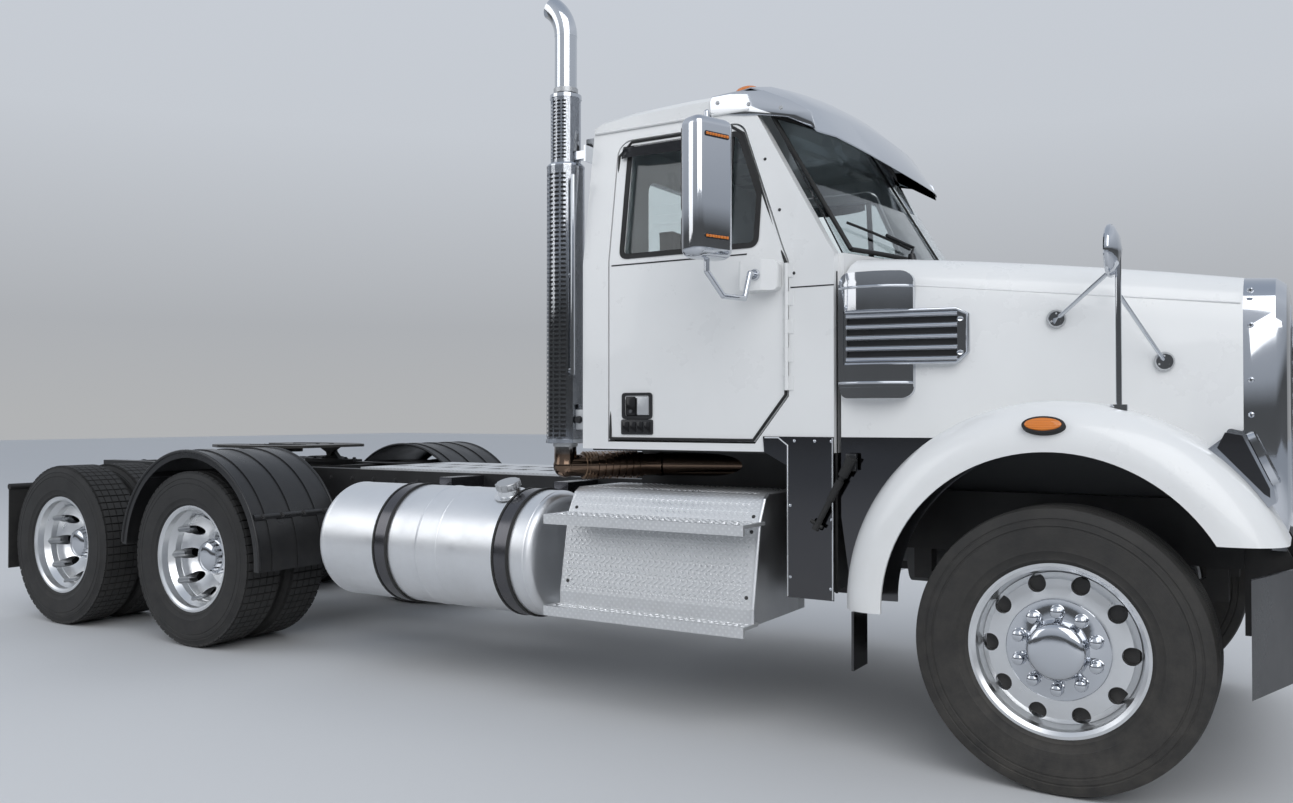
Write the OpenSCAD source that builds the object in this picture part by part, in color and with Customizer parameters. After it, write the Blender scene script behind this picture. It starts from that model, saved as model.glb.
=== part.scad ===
// Conventional day-cab tractor unit with a steered front axle and two twin-tyred drive axles.
// X runs forward, Y to the left and Z up. The ground is at Z = 0, the origin is under the middle.

/* [Chassis] */
// Front axle to the middle between the drive axles
wheelbase = 5674; // [5300:1:6200]
// Spacing of the two drive axles
tandem_spacing = 1383; // [1330:1:1450]
// Front axle to the face of the bumper
front_overhang = 780; // [775:1:830]
// Rear drive axle to the end of the frame rails
rear_overhang = 754.5; // [700:0.5:900]
// Width over the frame rails
frame_w = 864; // [840:1:880]
// Height of the top of the frame rails
frame_top_z = 1060; // [1040:1:1080]
// Depth of a frame rail
rail_h = 270; // [250:1:290]
// Width of a rail's flange
rail_flange = 89; // [80:1:95]
// Thickness of a rail
rail_t = 10; // [8:0.5:13]

/* [Wheels] */
// Outside diameter of a tyre
tyre_d = 1065; // [1040:1:1075]
// Width of a tyre
tyre_w = 275; // [260:1:285]
// Diameter of a rim's flange
rim_d = 645; // [630:1:660]
// Width of a rim over its flanges
rim_w = 235; // [220:1:245]
// Middle of a steer tyre from the truck's middle
steer_tyre_y = 1030; // [1020:1:1045]
// Middle of an outer drive tyre from the truck's middle
drive_tyre_y = 1080; // [1070:1:1090]
// Spacing of twin tyres
dual_spacing = 330; // [320:1:340]
// Kingpin from the truck's middle
kingpin_y = 900; // [890:1:905]
// Circle of the wheel nuts
stud_pcd = 285.75; // [270:0.25:300]
// Number of wheel nuts
stud_count = 10; // [8:1:10]
// Circle of the hand holes
hand_hole_pcd = 500; // [480:1:510]
// Diameter of a hand hole
hand_hole_d = 66; // [50:1:72]
// Length of a steering arm
steer_arm = 220; // [200:1:230]

/* [Cab] */
// Width of the cab at the doors
cab_w = 2000; // [1980:1:2020]
// Width of the cab at the roof's edge
cab_roof_w = 1800; // [1760:1:1840]
// Front axle back to the cab's rear wall
cab_back_set = 2225; // [2215:1:2240]
// Height of the cab's underside
cab_floor_z = 1240; // [1225:1:1245]
// Height at which the sides start to lean in
belt_z = 2140; // [2120:1:2155]
// Height of the roof's edge
roof_edge_z = 2800; // [2785:1:2830]
// Rise of the roof over its edge
roof_rise = 125; // [110:1:150]
// Thickness of the cab's walls and doors
wall_t = 60; // [50:1:70]
// Forward bow of the windscreen and cowl
cowl_sag = 195; // [150:1:210]
// Backward lean of the windscreen over its height
screen_lean = 425; // [400:1:440]
// Front axle back to the door's rear edge
door_rear_set = 2070; // [2050:1:2090]
// Front axle back to the door's hinge line
hinge_set = 1140; // [1130:1:1150]
// Height of the door's lower edge
door_bottom_z = 1283; // [1276:1:1290]
// Height of the door's upper edge
door_top_z = 2735; // [2725:1:2745]
// Gap around a door
door_gap = 8; // [6:0.5:10]
// Thickness of the glass
glass_t = 8; // [5:0.5:10]

/* [Hood] */
// Front axle back to the hood's rear corner
hood_rear_set = 915; // [905:1:920]
// Front axle forward to the hood's front edge
hood_front_ahead = 590; // [580:1:600]
// Width of the hood at its front
hood_front_w = 1480; // [1440:1:1500]
// Height of the hood's rear edge
hood_rear_z = 2090; // [2080:1:2095]
// Height of the hood's front edge
hood_front_z = 1930; // [1910:1:1950]
// Thickness of the hood
hood_t = 15; // [10:0.5:20]
// Radius of the hood's shoulder
shoulder_r = 150; // [120:1:170]
// Rise of the hood's crown
hood_crown = 30; // [15:1:40]
// Depth of the grille's surround
surround_depth = 150; // [130:1:155]
// Height of the hood's hinge line
hood_hinge_z = 900; // [895:1:905]

/* [Fenders] */
// Width over the fenders
fender_w = 2400; // [2380:1:2420]
// Radius of the wheel arch
arch_r = 635; // [628:1:640]
// Height of the arch's centre
arch_z = 631; // [625:1:640]
// Front axle back to the arch's centre
arch_set = 18; // [10:1:22]
// Radius of the fender's crown
crown_r = 825; // [815:1:835]
// Radius of the fender's outer edge
fender_edge_r = 160; // [130:1:170]
// Thickness of a fender
fender_t = 12; // [8:0.5:15]

/* [Bumper] */
// Height of the bumper's top
bumper_top_z = 850; // [835:1:855]
// Height of the bumper's bottom
bumper_bottom_z = 450; // [430:1:480]
// Width of the bumper
bumper_w = 2420; // [2380:1:2440]
// Thickness of the bumper
bumper_t = 10; // [7:0.5:12]

/* [Tanks and steps] */
// Diameter of a fuel tank
tank_d = 630; // [610:1:640]
// Middle of a tank from the truck's middle
tank_y = 900; // [895:1:910]
// Height of a tank's axis
tank_z = 705; // [695:1:715]
// Front axle back to a tank's rear end
tank_rear_set = 3860; // [3800:1:3900]
// Front axle back to a tank's front end
tank_front_set = 2390; // [2360:1:2420]
// Width of a tank strap
strap_w = 90; // [70:1:100]
// Thickness of a tank strap
strap_t = 8; // [6:0.5:10]
// Front axle back to the step box's rear end
box_rear_set = 2270; // [2260:1:2280]
// Front axle back to the step box's front end
box_front_set = 1250; // [1240:1:1265]
// Height of the step box's top
box_top_z = 1050; // [1030:1:1060]
// Height of the step box's bottom
box_bottom_z = 490; // [470:1:500]
// Width over the step treads
step_w = 2480; // [2460:1:2490]
// Height of a step's tread plate
step_h = 45; // [35:1:50]

/* [Exhaust] */
// Front axle back to the stack
stack_set = 2373; // [2365:1:2385]
// Stack from the truck's middle
stack_y = 940; // [930:1:950]
// Diameter of the stack's pipe
pipe_d = 112; // [100:1:120]
// Diameter of the heat shield
shield_d = 190; // [180:1:200]
// Height of the shield's lower end
shield_bottom_z = 1263; // [1255:1:1275]
// Height of the shield's upper end
shield_top_z = 3003; // [2960:1:3020]
// Height of the step between the wide shield and its neck
silencer_top_z = 2650; // [2600:1:2700]
// Height of the stack's tip
stack_top_z = 3500; // [3470:1:3520]

/* [Fifth wheel] */
// Height of the fifth wheel's plate
fifth_top_z = 1195; // [1185:1:1210]
// Width of the plate
fifth_w = 920; // [880:1:940]
// Length of the plate
fifth_l = 900; // [860:1:940]
// Diameter of the kingpin's lock
lock_d = 51.4; // [51:0.1:52]

/* [Mirrors] */
// Outer face of a door mirror from the truck's middle
mirror_out_y = 1480; // [1460:1:1500]
// Width of a mirror's head
mirror_w = 210; // [190:1:220]
// Depth of a mirror's head
mirror_d = 130; // [110:1:140]
// Height of a mirror's head
mirror_h = 590; // [560:1:610]
// Height of a mirror's lower edge
mirror_z = 2050; // [2040:1:2065]
// Diameter of the mirror arms' tube
arm_d = 26; // [22:1:30]

/* [Hidden] */
$fn = 48;

// Clearances: cut overrun, running fits and rubber seats
overrun = 20;
fit_gap = 0.3;
arc_steps = 6;
fine_steps = 180;

// Places along the truck
overall_l = front_overhang + wheelbase + tandem_spacing / 2 + rear_overhang;
front_x = overall_l / 2;
axle_x = front_x - front_overhang;
tandem_x = axle_x - wheelbase;
drive_front_x = tandem_x + tandem_spacing / 2;
drive_rear_x = tandem_x - tandem_spacing / 2;
rear_x = -overall_l / 2;
axle_z = tyre_d / 2;
cab_back_x = axle_x - cab_back_set;
hinge_x = axle_x - hinge_set;
door_rear_x = axle_x - door_rear_set;
hood_rear_x = axle_x - hood_rear_set;
hood_front_x = axle_x + hood_front_ahead;
surround_x = hood_front_x + surround_depth;
arch_x = axle_x - arch_set;
cab_half = cab_w / 2;
roof_half = cab_roof_w / 2;
rail_y = frame_w / 2;
rail_bottom_z = frame_top_z - rail_h;
hood_rear_half = cab_half - hood_t;
hood_front_half = hood_front_w / 2;
fender_half = fender_w / 2;
side_reach = cab_w;

// Helpers: outlines and the planes they are drawn in
function unit(v) = v / norm(v);
function flip(points) = [for (i = [len(points) - 1 : -1 : 0]) points[i]];
function mirrored(points) = concat(points, [for (p = flip(points)) [-p[0], p[1]]]);
function arc(centre, r, from, to, steps = arc_steps) =
    [for (i = [0 : steps]) let (a = from + (to - from) * i / steps) centre + r * [cos(a), sin(a)]];
function corner(before, at, after, r) =
    let (u = unit(before - at), v = unit(after - at), half = acos(u * v) / 2,
         centre = at + unit(u + v) * r / sin(half), start = at + u * r / tan(half),
         end = at + v * r / tan(half), from = atan2(start[1] - centre[1], start[0] - centre[0]),
         turn = atan2(end[1] - centre[1], end[0] - centre[0]) - from,
         sweep = turn > 180 ? turn - 360 : turn < -180 ? turn + 360 : turn)
    arc(centre, r, from, from + sweep);
// Points are [x, y, corner radius]
function rounded(points) =
    let (n = len(points), flat = [for (p = points) [p[0], p[1]]])
    [for (i = [0 : n - 1])
        each points[i][2] == 0 ? [flat[i]]
            : corner(flat[(i + n - 1) % n], flat[i], flat[(i + 1) % n], points[i][2])];
function box_outline(low, high, r) =
    rounded([[low[0], low[1], r], [high[0], low[1], r], [high[0], high[1], r], [low[0], high[1], r]]);

// Outline in X and Z, spread over Y
module side_plate(low, high) {
    translate([0, high, 0]) rotate([90, 0, 0]) linear_extrude(high - low) children();
}
// Outline in Y and Z, spread over X
module cross_plate(low, high) {
    translate([low, 0, 0]) rotate([90, 0, 90]) linear_extrude(high - low) children();
}
// Outline in X and Y, spread over Z
module flat_plate(low, high) {
    translate([0, 0, low]) linear_extrude(high - low) children();
}
module block(low, high) {
    translate(low) cube(high - low);
}
module both_sides() {
    children();
    mirror([0, 1, 0]) children();
}
// Round bar between two points
module bar(from, to, d) {
    v = to - from;
    turn = atan2(v[1], v[0]);
    tilt = acos(v[2] / norm(v));
    translate(from) rotate([0, tilt, turn]) cylinder(d = d, h = norm(v));
}
// Bars joined by slightly larger balls along a route
ball_share = 1.08;
module tube(route, d) {
    for (i = [0 : len(route) - 2]) bar(route[i], route[i + 1], d);
    for (i = [1 : 1 : len(route) - 2]) translate(route[i]) sphere(d = d * ball_share);
}
// Revolved outline of [radius, distance outboard] about a wheel's axle, on the right side
module wheel_turn(x, z, from = 0, sweep = 360) {
    translate([x, 0, z]) rotate([90, 0, 0]) rotate([0, 0, from]) rotate_extrude(angle = sweep,
        $fn = fine_steps) children();
}
// Skin through rings of points, which turn left seen from the end where the row of rings stops
module loft(rings) {
    n = len(rings[0]);
    m = len(rings);
    points = [for (ring = rings) each ring];
    sides = [for (k = [0 : m - 2], i = [0 : n - 1])
        let (j = (i + 1) % n) [k * n + i, (k + 1) * n + i, (k + 1) * n + j, k * n + j]];
    caps = [[for (i = [0 : n - 1]) i], [for (i = [n - 1 : -1 : 0]) (m - 1) * n + i]];
    polyhedron(points = points, faces = concat(sides, caps), convexity = 10);
}

// Frame: two channel rails with cab feet, bumper arms and the hood's hinge
cross_w = 70;
cross_h = 120;
cross_shares = [0.01, 0.1, 0.27, 0.42, 0.56, 0.69, 0.995];
cross_top_z = frame_top_z - rail_t;
rail_front_x = axle_x + hood_front_ahead - hood_t;
hinge_ahead = 110;
hood_hinge_x = hood_front_x + hinge_ahead;
hinge_pin_d = 30;
hinge_plate_t = 14;
hinge_y = rail_y - rail_flange / 2;
hinge_pin_out = 40;
hinge_ring_r = 25;
foot_l = 90;
cab_feet_shares = [0.12, 0.85];

module frame_rails() {
    channel = [
        [rail_y - rail_flange, rail_bottom_z], [rail_y, rail_bottom_z], [rail_y, frame_top_z],
        [rail_y - rail_flange, frame_top_z], [rail_y - rail_flange, frame_top_z - rail_t],
        [rail_y - rail_t, frame_top_z - rail_t], [rail_y - rail_t, rail_bottom_z + rail_t],
        [rail_y - rail_flange, rail_bottom_z + rail_t]
    ];
    brow_z = hood_hinge_z + hinge_ring_r;
    color("#26272a") {
        both_sides() cross_plate(rear_x, rail_front_x) polygon(channel);
        both_sides() for (share = cab_feet_shares) {
            x = cab_back_x + share * (hood_rear_x - cab_back_x);
            block([x - foot_l / 2, rail_y - rail_flange, frame_top_z], [x + foot_l / 2, rail_y,
                cab_floor_z]);
        }
        both_sides() side_plate(hinge_y - hinge_plate_t / 2, hinge_y + hinge_plate_t / 2) polygon(concat(
            [[rail_front_x - rail_flange, rail_bottom_z], [rail_front_x, rail_bottom_z],
             [rail_front_x, bumper_bottom_z + cross_w], [front_x - bumper_t, bumper_bottom_z + cross_w],
             [front_x - bumper_t, rail_bottom_z - rail_t]],
            arc([hood_hinge_x, hood_hinge_z], hinge_ring_r, -45, 90),
            [[rail_front_x, brow_z], [rail_front_x, frame_top_z], [rail_front_x - rail_flange,
                frame_top_z]]));
        both_sides() bar([hood_hinge_x, hinge_y, hood_hinge_z],
                         [hood_hinge_x, hinge_y + hinge_plate_t / 2 + hinge_pin_out,
                             hood_hinge_z], hinge_pin_d);
    }
}

// Cross members between the rails' webs or the hinge plates, under the rails' top flanges
module cross_members() {
    span = rail_front_x - rear_x;
    color("#26272a") for (share = cross_shares) {
        x = rear_x + share * span;
        at_front = x + cross_w / 2 > rail_front_x - rail_flange;
        half = (at_front ? hinge_y - hinge_plate_t / 2 : rail_y - rail_t) - fit_gap;
        block([x - cross_w / 2, -half, cross_top_z - cross_h],
              [x + cross_w / 2, half, cross_top_z - fit_gap]);
    }
}

// Bumper: a folded plate with swept-back ends
bumper_sweep = 150;
bumper_bend_share = 0.62;
bumper_lip = 60;
tow_slot_w = 150;
tow_slot_h = 70;

function bumper_plan(inset) =
    let (half = bumper_w / 2 - inset, x = front_x - inset)
    rounded([[x - bumper_sweep, -half, 0], [x, -half * bumper_bend_share, bumper_sweep],
             [x, half * bumper_bend_share, bumper_sweep], [x - bumper_sweep, half, 0]]);
module bumper() {
    color("#c9ccd0") difference() {
        flat_plate(bumper_bottom_z, bumper_top_z) polygon(bumper_plan(0));
        flat_plate(bumper_bottom_z - overrun, bumper_top_z + overrun) polygon(concat(
            [[front_x - bumper_sweep - overrun, -bumper_w / 2]], bumper_plan(bumper_t),
            [[front_x - bumper_sweep - overrun, bumper_w / 2]]));
        both_sides() translate([front_x, rail_y + tow_slot_w, bumper_bottom_z + cross_w + tow_slot_h])
            cube([overrun + bumper_sweep, tow_slot_w, tow_slot_h], center = true);
    }
}

// Front axle: a dropped beam with a boss for each kingpin
beam_w = 90;
beam_h = 90;
beam_drop = 40;
boss_d = 110;
boss_h = 130;
kingpin_d = 50;

module front_axle() {
    top = axle_z - beam_drop;
    neck = kingpin_y - boss_d;
    half = [[0, top - beam_h], [neck - boss_d, top - beam_h], [kingpin_y, axle_z - boss_h / 3],
            [kingpin_y, axle_z + boss_h / 3], [neck, axle_z + boss_h / 3], [neck - boss_d, top], [0, top]];
    color("#1d1e20") difference() {
        union() {
            both_sides() cross_plate(axle_x - beam_w / 2, axle_x + beam_w / 2) polygon(half);
            both_sides() translate([axle_x, kingpin_y, axle_z - boss_h / 2]) cylinder(d = boss_d,
                h = boss_h);
        }
        both_sides() translate([axle_x, kingpin_y, axle_z - boss_h])
            cylinder(d = kingpin_d + 2 * fit_gap, h = 2 * boss_h);
    }
}

// Drive axles: a bowl with its pinion nose, tapering arms and spindles in the hubs
bowl_d = 420;
bowl_w = 200;
arm_tube_d = 150;
spindle_d = 90;
nose_d = 170;
nose_l = 330;
drive_mid_y = drive_tyre_y - dual_spacing / 2;
hub_in = 170;
hub_out = 130;
seat_w = 90;
seat_h = 20;

module drive_axle(x) {
    translate([x, 0, axle_z]) {
        rotate([90, 0, 0]) cylinder(d = bowl_d, h = bowl_w, center = true);
        rotate([0, 90, 0]) cylinder(d = nose_d, h = nose_l);
        rotate([90, 0, 0]) cylinder(d = arm_tube_d, h = 2 * (drive_mid_y - hub_in) - 2 * seat_h,
            center = true);
        rotate([90, 0, 0]) cylinder(d = spindle_d, h = 2 * (drive_mid_y + hub_out / 2), center = true);
        both_sides() translate([0, hinge_y, arm_tube_d / 2 - seat_h / 2])
            cube([2 * seat_w, seat_w, seat_h * 2], center = true);
    }
}
module drive_axles() {
    color("#1d1e20") for (x = [drive_front_x, drive_rear_x]) drive_axle(x);
}

// Suspension: leaf springs in front, trailing arms with air springs behind
leaf_w = 80;
leaf_t = 45;
leaf_front_ahead = 520;
leaf_rear_set = 760;
leaf_rise = 190;
hanger_l = 80;
trail_ahead = 430;
trail_back = 400;
trail_t = 60;
bag_d = 250;

module leaf_spring() {
    base_z = axle_z - beam_drop;
    lower = [for (i = [-8 : 8]) let (s = i / 8, x = s < 0 ? s * leaf_rear_set : s * leaf_front_ahead)
        [axle_x + x, base_z + leaf_rise * s * s]];
    upper = [for (p = flip(lower)) p + [0, leaf_t]];
    side_plate(hinge_y - leaf_w / 2, hinge_y + leaf_w / 2) polygon(concat(lower, upper));
    for (x = [axle_x + leaf_front_ahead, axle_x - leaf_rear_set + hanger_l])
        block([x - hanger_l, hinge_y - leaf_w / 2, base_z + leaf_rise * 0.85], [x, hinge_y + leaf_w / 2,
            rail_bottom_z]);
}
module trailing_arm(x) {
    arm_z = axle_z + arm_tube_d / 2 + seat_h / 2;
    block([x - trail_back, hinge_y - leaf_w / 2, arm_z], [x + trail_ahead, hinge_y + leaf_w / 2,
        arm_z + trail_t]);
    block([x + trail_ahead - hanger_l, hinge_y - leaf_w / 2, axle_z], [x + trail_ahead,
        hinge_y + leaf_w / 2, rail_bottom_z]);
    translate([x - trail_back + bag_d / 2, hinge_y, arm_z + trail_t])
        cylinder(d = bag_d, h = rail_bottom_z - arm_z - trail_t);
}
module suspension() {
    color("#1b1c1e") both_sides() {
        leaf_spring();
        for (x = [drive_front_x, drive_rear_x]) trailing_arm(x);
    }
}

// Engine and gearbox as one plain mass, with its mounts and drive shafts
engine_ahead = 300;
engine_back = 850;
engine_half = 320;
engine_top_z = 1700;
engine_bottom_z = 600;
gearbox_d = 420;
gearbox_l = 850;
gearbox_drop = 90;
shaft_d = 100;
mount_l = 120;

module powertrain() {
    front = axle_x + engine_ahead;
    back = axle_x - engine_back;
    gear_z = frame_top_z - rail_h / 2 - gearbox_drop / 2;
    mid_z = frame_top_z - rail_h / 2;
    color("#3a3d40") {
        difference() {
            cross_plate(back, front) polygon(mirrored(rounded([
                [0, engine_bottom_z, 0], [engine_half * 0.7, engine_bottom_z, engine_half / 4],
                [engine_half, mid_z, engine_half / 4], [engine_half, engine_top_z, engine_half / 3],
                [0, engine_top_z, 0]])));
            block([axle_x - beam_w, -engine_half, engine_bottom_z - overrun],
                  [axle_x + beam_w, engine_half, engine_bottom_z + beam_h / 2]);
        }
        bar([back - fit_gap, 0, gear_z], [back - gearbox_l, 0, gear_z], gearbox_d);
        both_sides() for (x = [front - mount_l, back + mount_l])
            block([x - mount_l / 2, engine_half / 2, mid_z - mount_l / 2], [x + mount_l / 2,
                rail_y - rail_t, mid_z + mount_l / 2]);
        difference() {
            bar([back - gearbox_l, 0, gear_z], [drive_front_x + nose_l, 0, axle_z], shaft_d);
            block([drive_front_x, -shaft_d, axle_z - shaft_d],
                  [drive_front_x + nose_l + fit_gap, shaft_d, axle_z + shaft_d]);
        }
        bar([drive_front_x - bowl_d / 2, 0, axle_z], [drive_rear_x + nose_l, 0, axle_z], shaft_d);
    }
}

// Radiator: a finned core in a frame behind the grille
radiator_half = 400;
radiator_t = 90;
radiator_top_z = 1760;
radiator_back = 130;
radiator_rib = 45;

module radiator() {
    x = axle_x + hood_front_ahead - radiator_back - radiator_t;
    low = rail_bottom_z + rail_t;
    color("#2a2c2f") difference() {
        union() {
            block([x, -radiator_half, frame_top_z], [x + radiator_t, radiator_half, radiator_top_z]);
            block([x, rail_t - rail_y, low], [x + radiator_t, rail_y - rail_t, frame_top_z - rail_t]);
            block([x, rail_flange - rail_y + fit_gap, low],
                [x + radiator_t, rail_y - rail_flange - fit_gap, frame_top_z]);
        }
        block([x + radiator_t - radiator_rib, radiator_rib - radiator_half, frame_top_z + radiator_rib],
              [x + radiator_t + overrun, radiator_half - radiator_rib, radiator_top_z - radiator_rib]);
    }
}

// Fuel tanks: round shells with dished ends and a filler
tank_end = 45;
filler_d = 105;
filler_h = 50;
filler_share = 0.81;
tank_rib = 4;

module fuel_tank() {
    r = tank_d / 2;
    l = tank_rear_set - tank_front_set;
    translate([axle_x - tank_rear_set, tank_y, tank_z]) {
        rotate([0, 90, 0]) rotate_extrude() polygon(concat(
            [[0, 0], [r * 0.55, tank_end * 0.15]], arc([r - tank_end, tank_end], tank_end, -70, 0),
            [[r, l / 2 - 2 * tank_rib], [r + tank_rib, l / 2], [r, l / 2 + 2 * tank_rib]],
            arc([r - tank_end, l - tank_end], tank_end, 0, 70), [[r * 0.55, l - tank_end * 0.15], [0, l]]));
        translate([l * filler_share, 0, 0]) rotate([-20, 0, 0]) cylinder(d = filler_d, h = r + filler_h);
    }
}
module fuel_tanks() {
    color("#b9bcc0") both_sides() fuel_tank();
}

// Straps round the tanks, each with its bracket on the frame
strap_shares = [0.33, 0.88];
bracket_t = 30;

module tank_straps() {
    l = tank_rear_set - tank_front_set;
    color("#1a1b1d") both_sides() for (share = strap_shares) {
        x = axle_x - tank_rear_set + share * l;
        difference() {
            union() {
                bar([x - strap_w / 2, tank_y, tank_z], [x + strap_w / 2, tank_y, tank_z],
                    tank_d + 2 * strap_t);
                block([x - strap_w / 2, rail_y, rail_bottom_z], [x + strap_w / 2, tank_y,
                    frame_top_z - rail_t]);
                block([x - strap_w / 2, rail_y, tank_z - tank_d / 2 - strap_t],
                      [x + strap_w / 2, rail_y + bracket_t, frame_top_z - rail_t]);
                block([x - strap_w / 2, rail_y, tank_z - tank_d / 2 - strap_t],
                      [x + strap_w / 2, tank_y, tank_z - tank_d / 2 + bracket_t]);
            }
            bar([x - strap_w, tank_y, tank_z], [x + strap_w, tank_y, tank_z], tank_d + 2 * fit_gap);
            block([x - strap_w, tank_y - tank_d * 0.3, frame_top_z - rail_h / 2], [x + strap_w, tank_y,
                frame_top_z]);
        }
    }
}

// Step boxes: a sloped box with two treads, hung from the frame
box_out_y = 1050;
box_slope = 70;
box_in_y = 560;
tread_overhang = 14;
upper_tread_z = 935;
tread_hole_d = 14;
tread_hole_count = 16;
box_arm_w = 60;
box_lid_r = 25;

module step_tread(z, inner_y) {
    rear = axle_x - box_rear_set - tread_overhang;
    front = axle_x - box_front_set + tread_overhang;
    outer_y = step_w / 2;
    pitch = (front - rear) / (tread_hole_count + 1);
    difference() {
        cross_plate(rear, front) polygon([
            [inner_y, z - step_h / 3], [inner_y, z], [outer_y, z], [outer_y, z - step_h],
            [outer_y - step_h / 3, z - step_h], [outer_y - step_h / 3, z - step_h / 3]]);
        for (i = [1 : tread_hole_count]) translate([rear + i * pitch, outer_y - step_h * 1.4, z - step_h])
            cylinder(d = tread_hole_d, h = 2 * step_h);
    }
}
module step_box() {
    rear = axle_x - box_rear_set;
    front = axle_x - box_front_set;
    lower_y = box_out_y + box_slope;
    cross_plate(rear, front) polygon(rounded([
        [box_in_y, box_bottom_z, 0], [lower_y, box_bottom_z, 0], [lower_y, box_bottom_z + box_slope,
            box_lid_r],
        [box_out_y, upper_tread_z, box_lid_r], [box_out_y - box_slope, box_top_z, box_slope],
        [box_in_y, box_top_z, box_lid_r]]));
    step_tread(upper_tread_z, box_out_y - box_lid_r);
    step_tread(box_bottom_z + step_h / 3, lower_y - box_lid_r);
    for (x = [rear + box_arm_w, front - 2 * box_arm_w])
        block([x, rail_y, rail_bottom_z + rail_t], [x + box_arm_w, box_in_y + box_lid_r,
            frame_top_z - rail_h / 2]);
}
module step_boxes() {
    color("#c4c7ca") both_sides() step_box();
}

// Exhaust: engine pipe under the floor, flexible piece, elbow, silencer and turned-back tip
silencer_d = 150;
silencer_gap = 20;
pipe_z = frame_top_z + (cab_floor_z - frame_top_z) / 2;
pipe_in_y = 560;
stack_x = axle_x - stack_set;
tip_r = 200;
tip_turn = 55;
tip_share = 1.02;
flex_rings = 7;
flex_d = 130;
clamp_h = 40;
clamp_shares = [0.1, 0.93];

module exhaust_stack() {
    foot_z = shield_bottom_z - clamp_h;
    bend = [stack_x, -stack_y, pipe_z];
    inner = [axle_x - engine_back, pipe_d - engine_half, pipe_z];
    side = [cab_back_x + box_arm_w * 3, -pipe_in_y, pipe_z];
    flex = side - bend;
    color("#8f9296") {
        tube([inner, inner - [silencer_d, 0, 0], side, bend,
              [stack_x, -stack_y, shield_bottom_z]], pipe_d);
        for (i = [1 : flex_rings]) {
            at = bend + flex * (0.25 + 0.5 * i / flex_rings);
            bar(at, at + unit(flex) * (flex_d / 6), flex_d);
        }
        bar([stack_x, -stack_y, shield_bottom_z], [stack_x, -stack_y, silencer_top_z - silencer_gap],
            silencer_d);
        bar([stack_x, -stack_y, silencer_top_z - silencer_gap - pipe_d], [stack_x, -stack_y,
            stack_top_z - tip_r + overrun / 4], pipe_d);
        translate([stack_x - tip_r, -stack_y, stack_top_z - tip_r]) rotate([90, 0, 0])
            rotate_extrude(angle = tip_turn) translate([tip_r, 0]) circle(d = pipe_d * tip_share);
        for (share = clamp_shares) {
            z = shield_bottom_z + share * (roof_edge_z - shield_bottom_z);
            block([stack_x, -stack_y - clamp_h / 2, z - clamp_h / 2],
                  [cab_back_x, -stack_y + clamp_h / 2, z + clamp_h / 2]);
            block([cab_back_x - clamp_h / 4, -stack_y - clamp_h, z - clamp_h], [cab_back_x,
                -stack_y + clamp_h, z + clamp_h]);
        }
    }
}

// Heat shield: a slotted shell round the silencer, with a narrower neck round the pipe above it
shield_t = 3;
shield_from = 125;
shield_sweep = 270;
neck_d = 152;
slot_rows = 40;
slot_turns = [200, 222, 244, 266, 288];
slot_h_share = 0.4;
slot_w = 20;

module shield_turn(r, width, low, high) {
    rotate([0, 0, shield_from]) rotate_extrude(angle = shield_sweep) translate([r - width, low])
        square([width, high - low]);
}
module heat_shield() {
    r = shield_d / 2;
    neck_r = neck_d / 2;
    low_l = silencer_top_z - shield_bottom_z;
    l = shield_top_z - shield_bottom_z;
    pitch = l / slot_rows;
    color("#c9ccd0") translate([stack_x, -stack_y, shield_bottom_z]) difference() {
        union() {
            shield_turn(r, shield_t, 0, low_l);
            shield_turn(r, r - neck_r + shield_t, low_l - shield_t, low_l);
            shield_turn(neck_r, shield_t, low_l - shield_t, l);
            for (share = [0.03, 0.5, 0.97])
                shield_turn(r, r - silencer_d / 2 - fit_gap, share * low_l - shield_t,
                    share * low_l + shield_t);
            shield_turn(neck_r, neck_r - pipe_d / 2 - fit_gap, l - silencer_d - shield_t,
                l - silencer_d + shield_t);
        }
        for (row = [0 : slot_rows - 1], turn = slot_turns) {
            z = (row + 0.5) * pitch;
            rotate([0, 0, turn]) translate([z < low_l ? r : neck_r, 0, z])
                cube([r / 4, slot_w, pitch * slot_h_share], center = true);
        }
        for (share = clamp_shares) {
            z = share * (roof_edge_z - shield_bottom_z);
            block([0, -clamp_h / 2 - fit_gap, z - clamp_h / 2 - fit_gap],
                  [shield_d, clamp_h / 2 + fit_gap, z + clamp_h / 2 + fit_gap]);
        }
    }
}

// Rear fenders: half-round ribbed covers over the front drive wheels, on bars from the frame
guard_gap = 115;
guard_t = 8;
guard_half_out = 1222;
guard_in_y = 600;
guard_from = -3;
guard_sweep = 178;
guard_lip = 35;
guard_rib = 7;
guard_rib_shares = [0.2, 0.5, 0.8];
guard_bar_d = 42;
guard_bar_turn = 25;

module rear_fender() {
    r = tyre_d / 2 + guard_gap;
    w = guard_half_out - guard_in_y;
    rib_w = w / 9;
    wheel_turn(drive_front_x, axle_z, guard_from, guard_sweep) {
        translate([r, guard_in_y]) square([guard_t, w]);
        translate([r - guard_lip, guard_half_out - guard_t]) square([guard_lip + guard_t, guard_t]);
        for (share = guard_rib_shares) translate([r,
            guard_in_y + share * w - rib_w / 2]) square([guard_t + guard_rib, rib_w]);
    }
    for (turn = [guard_bar_turn, 180 - 2 * guard_bar_turn])
        bar([drive_front_x + (r + guard_t / 2) * cos(turn), -guard_half_out + guard_t,
            axle_z + (r + guard_t / 2) * sin(turn)],
            [drive_front_x + (r + guard_t / 2) * cos(turn), -rail_y,
                axle_z + (r + guard_t / 2) * sin(turn)], guard_bar_d);
}
module rear_fenders() {
    color("#17181a") both_sides() rear_fender();
}

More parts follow.
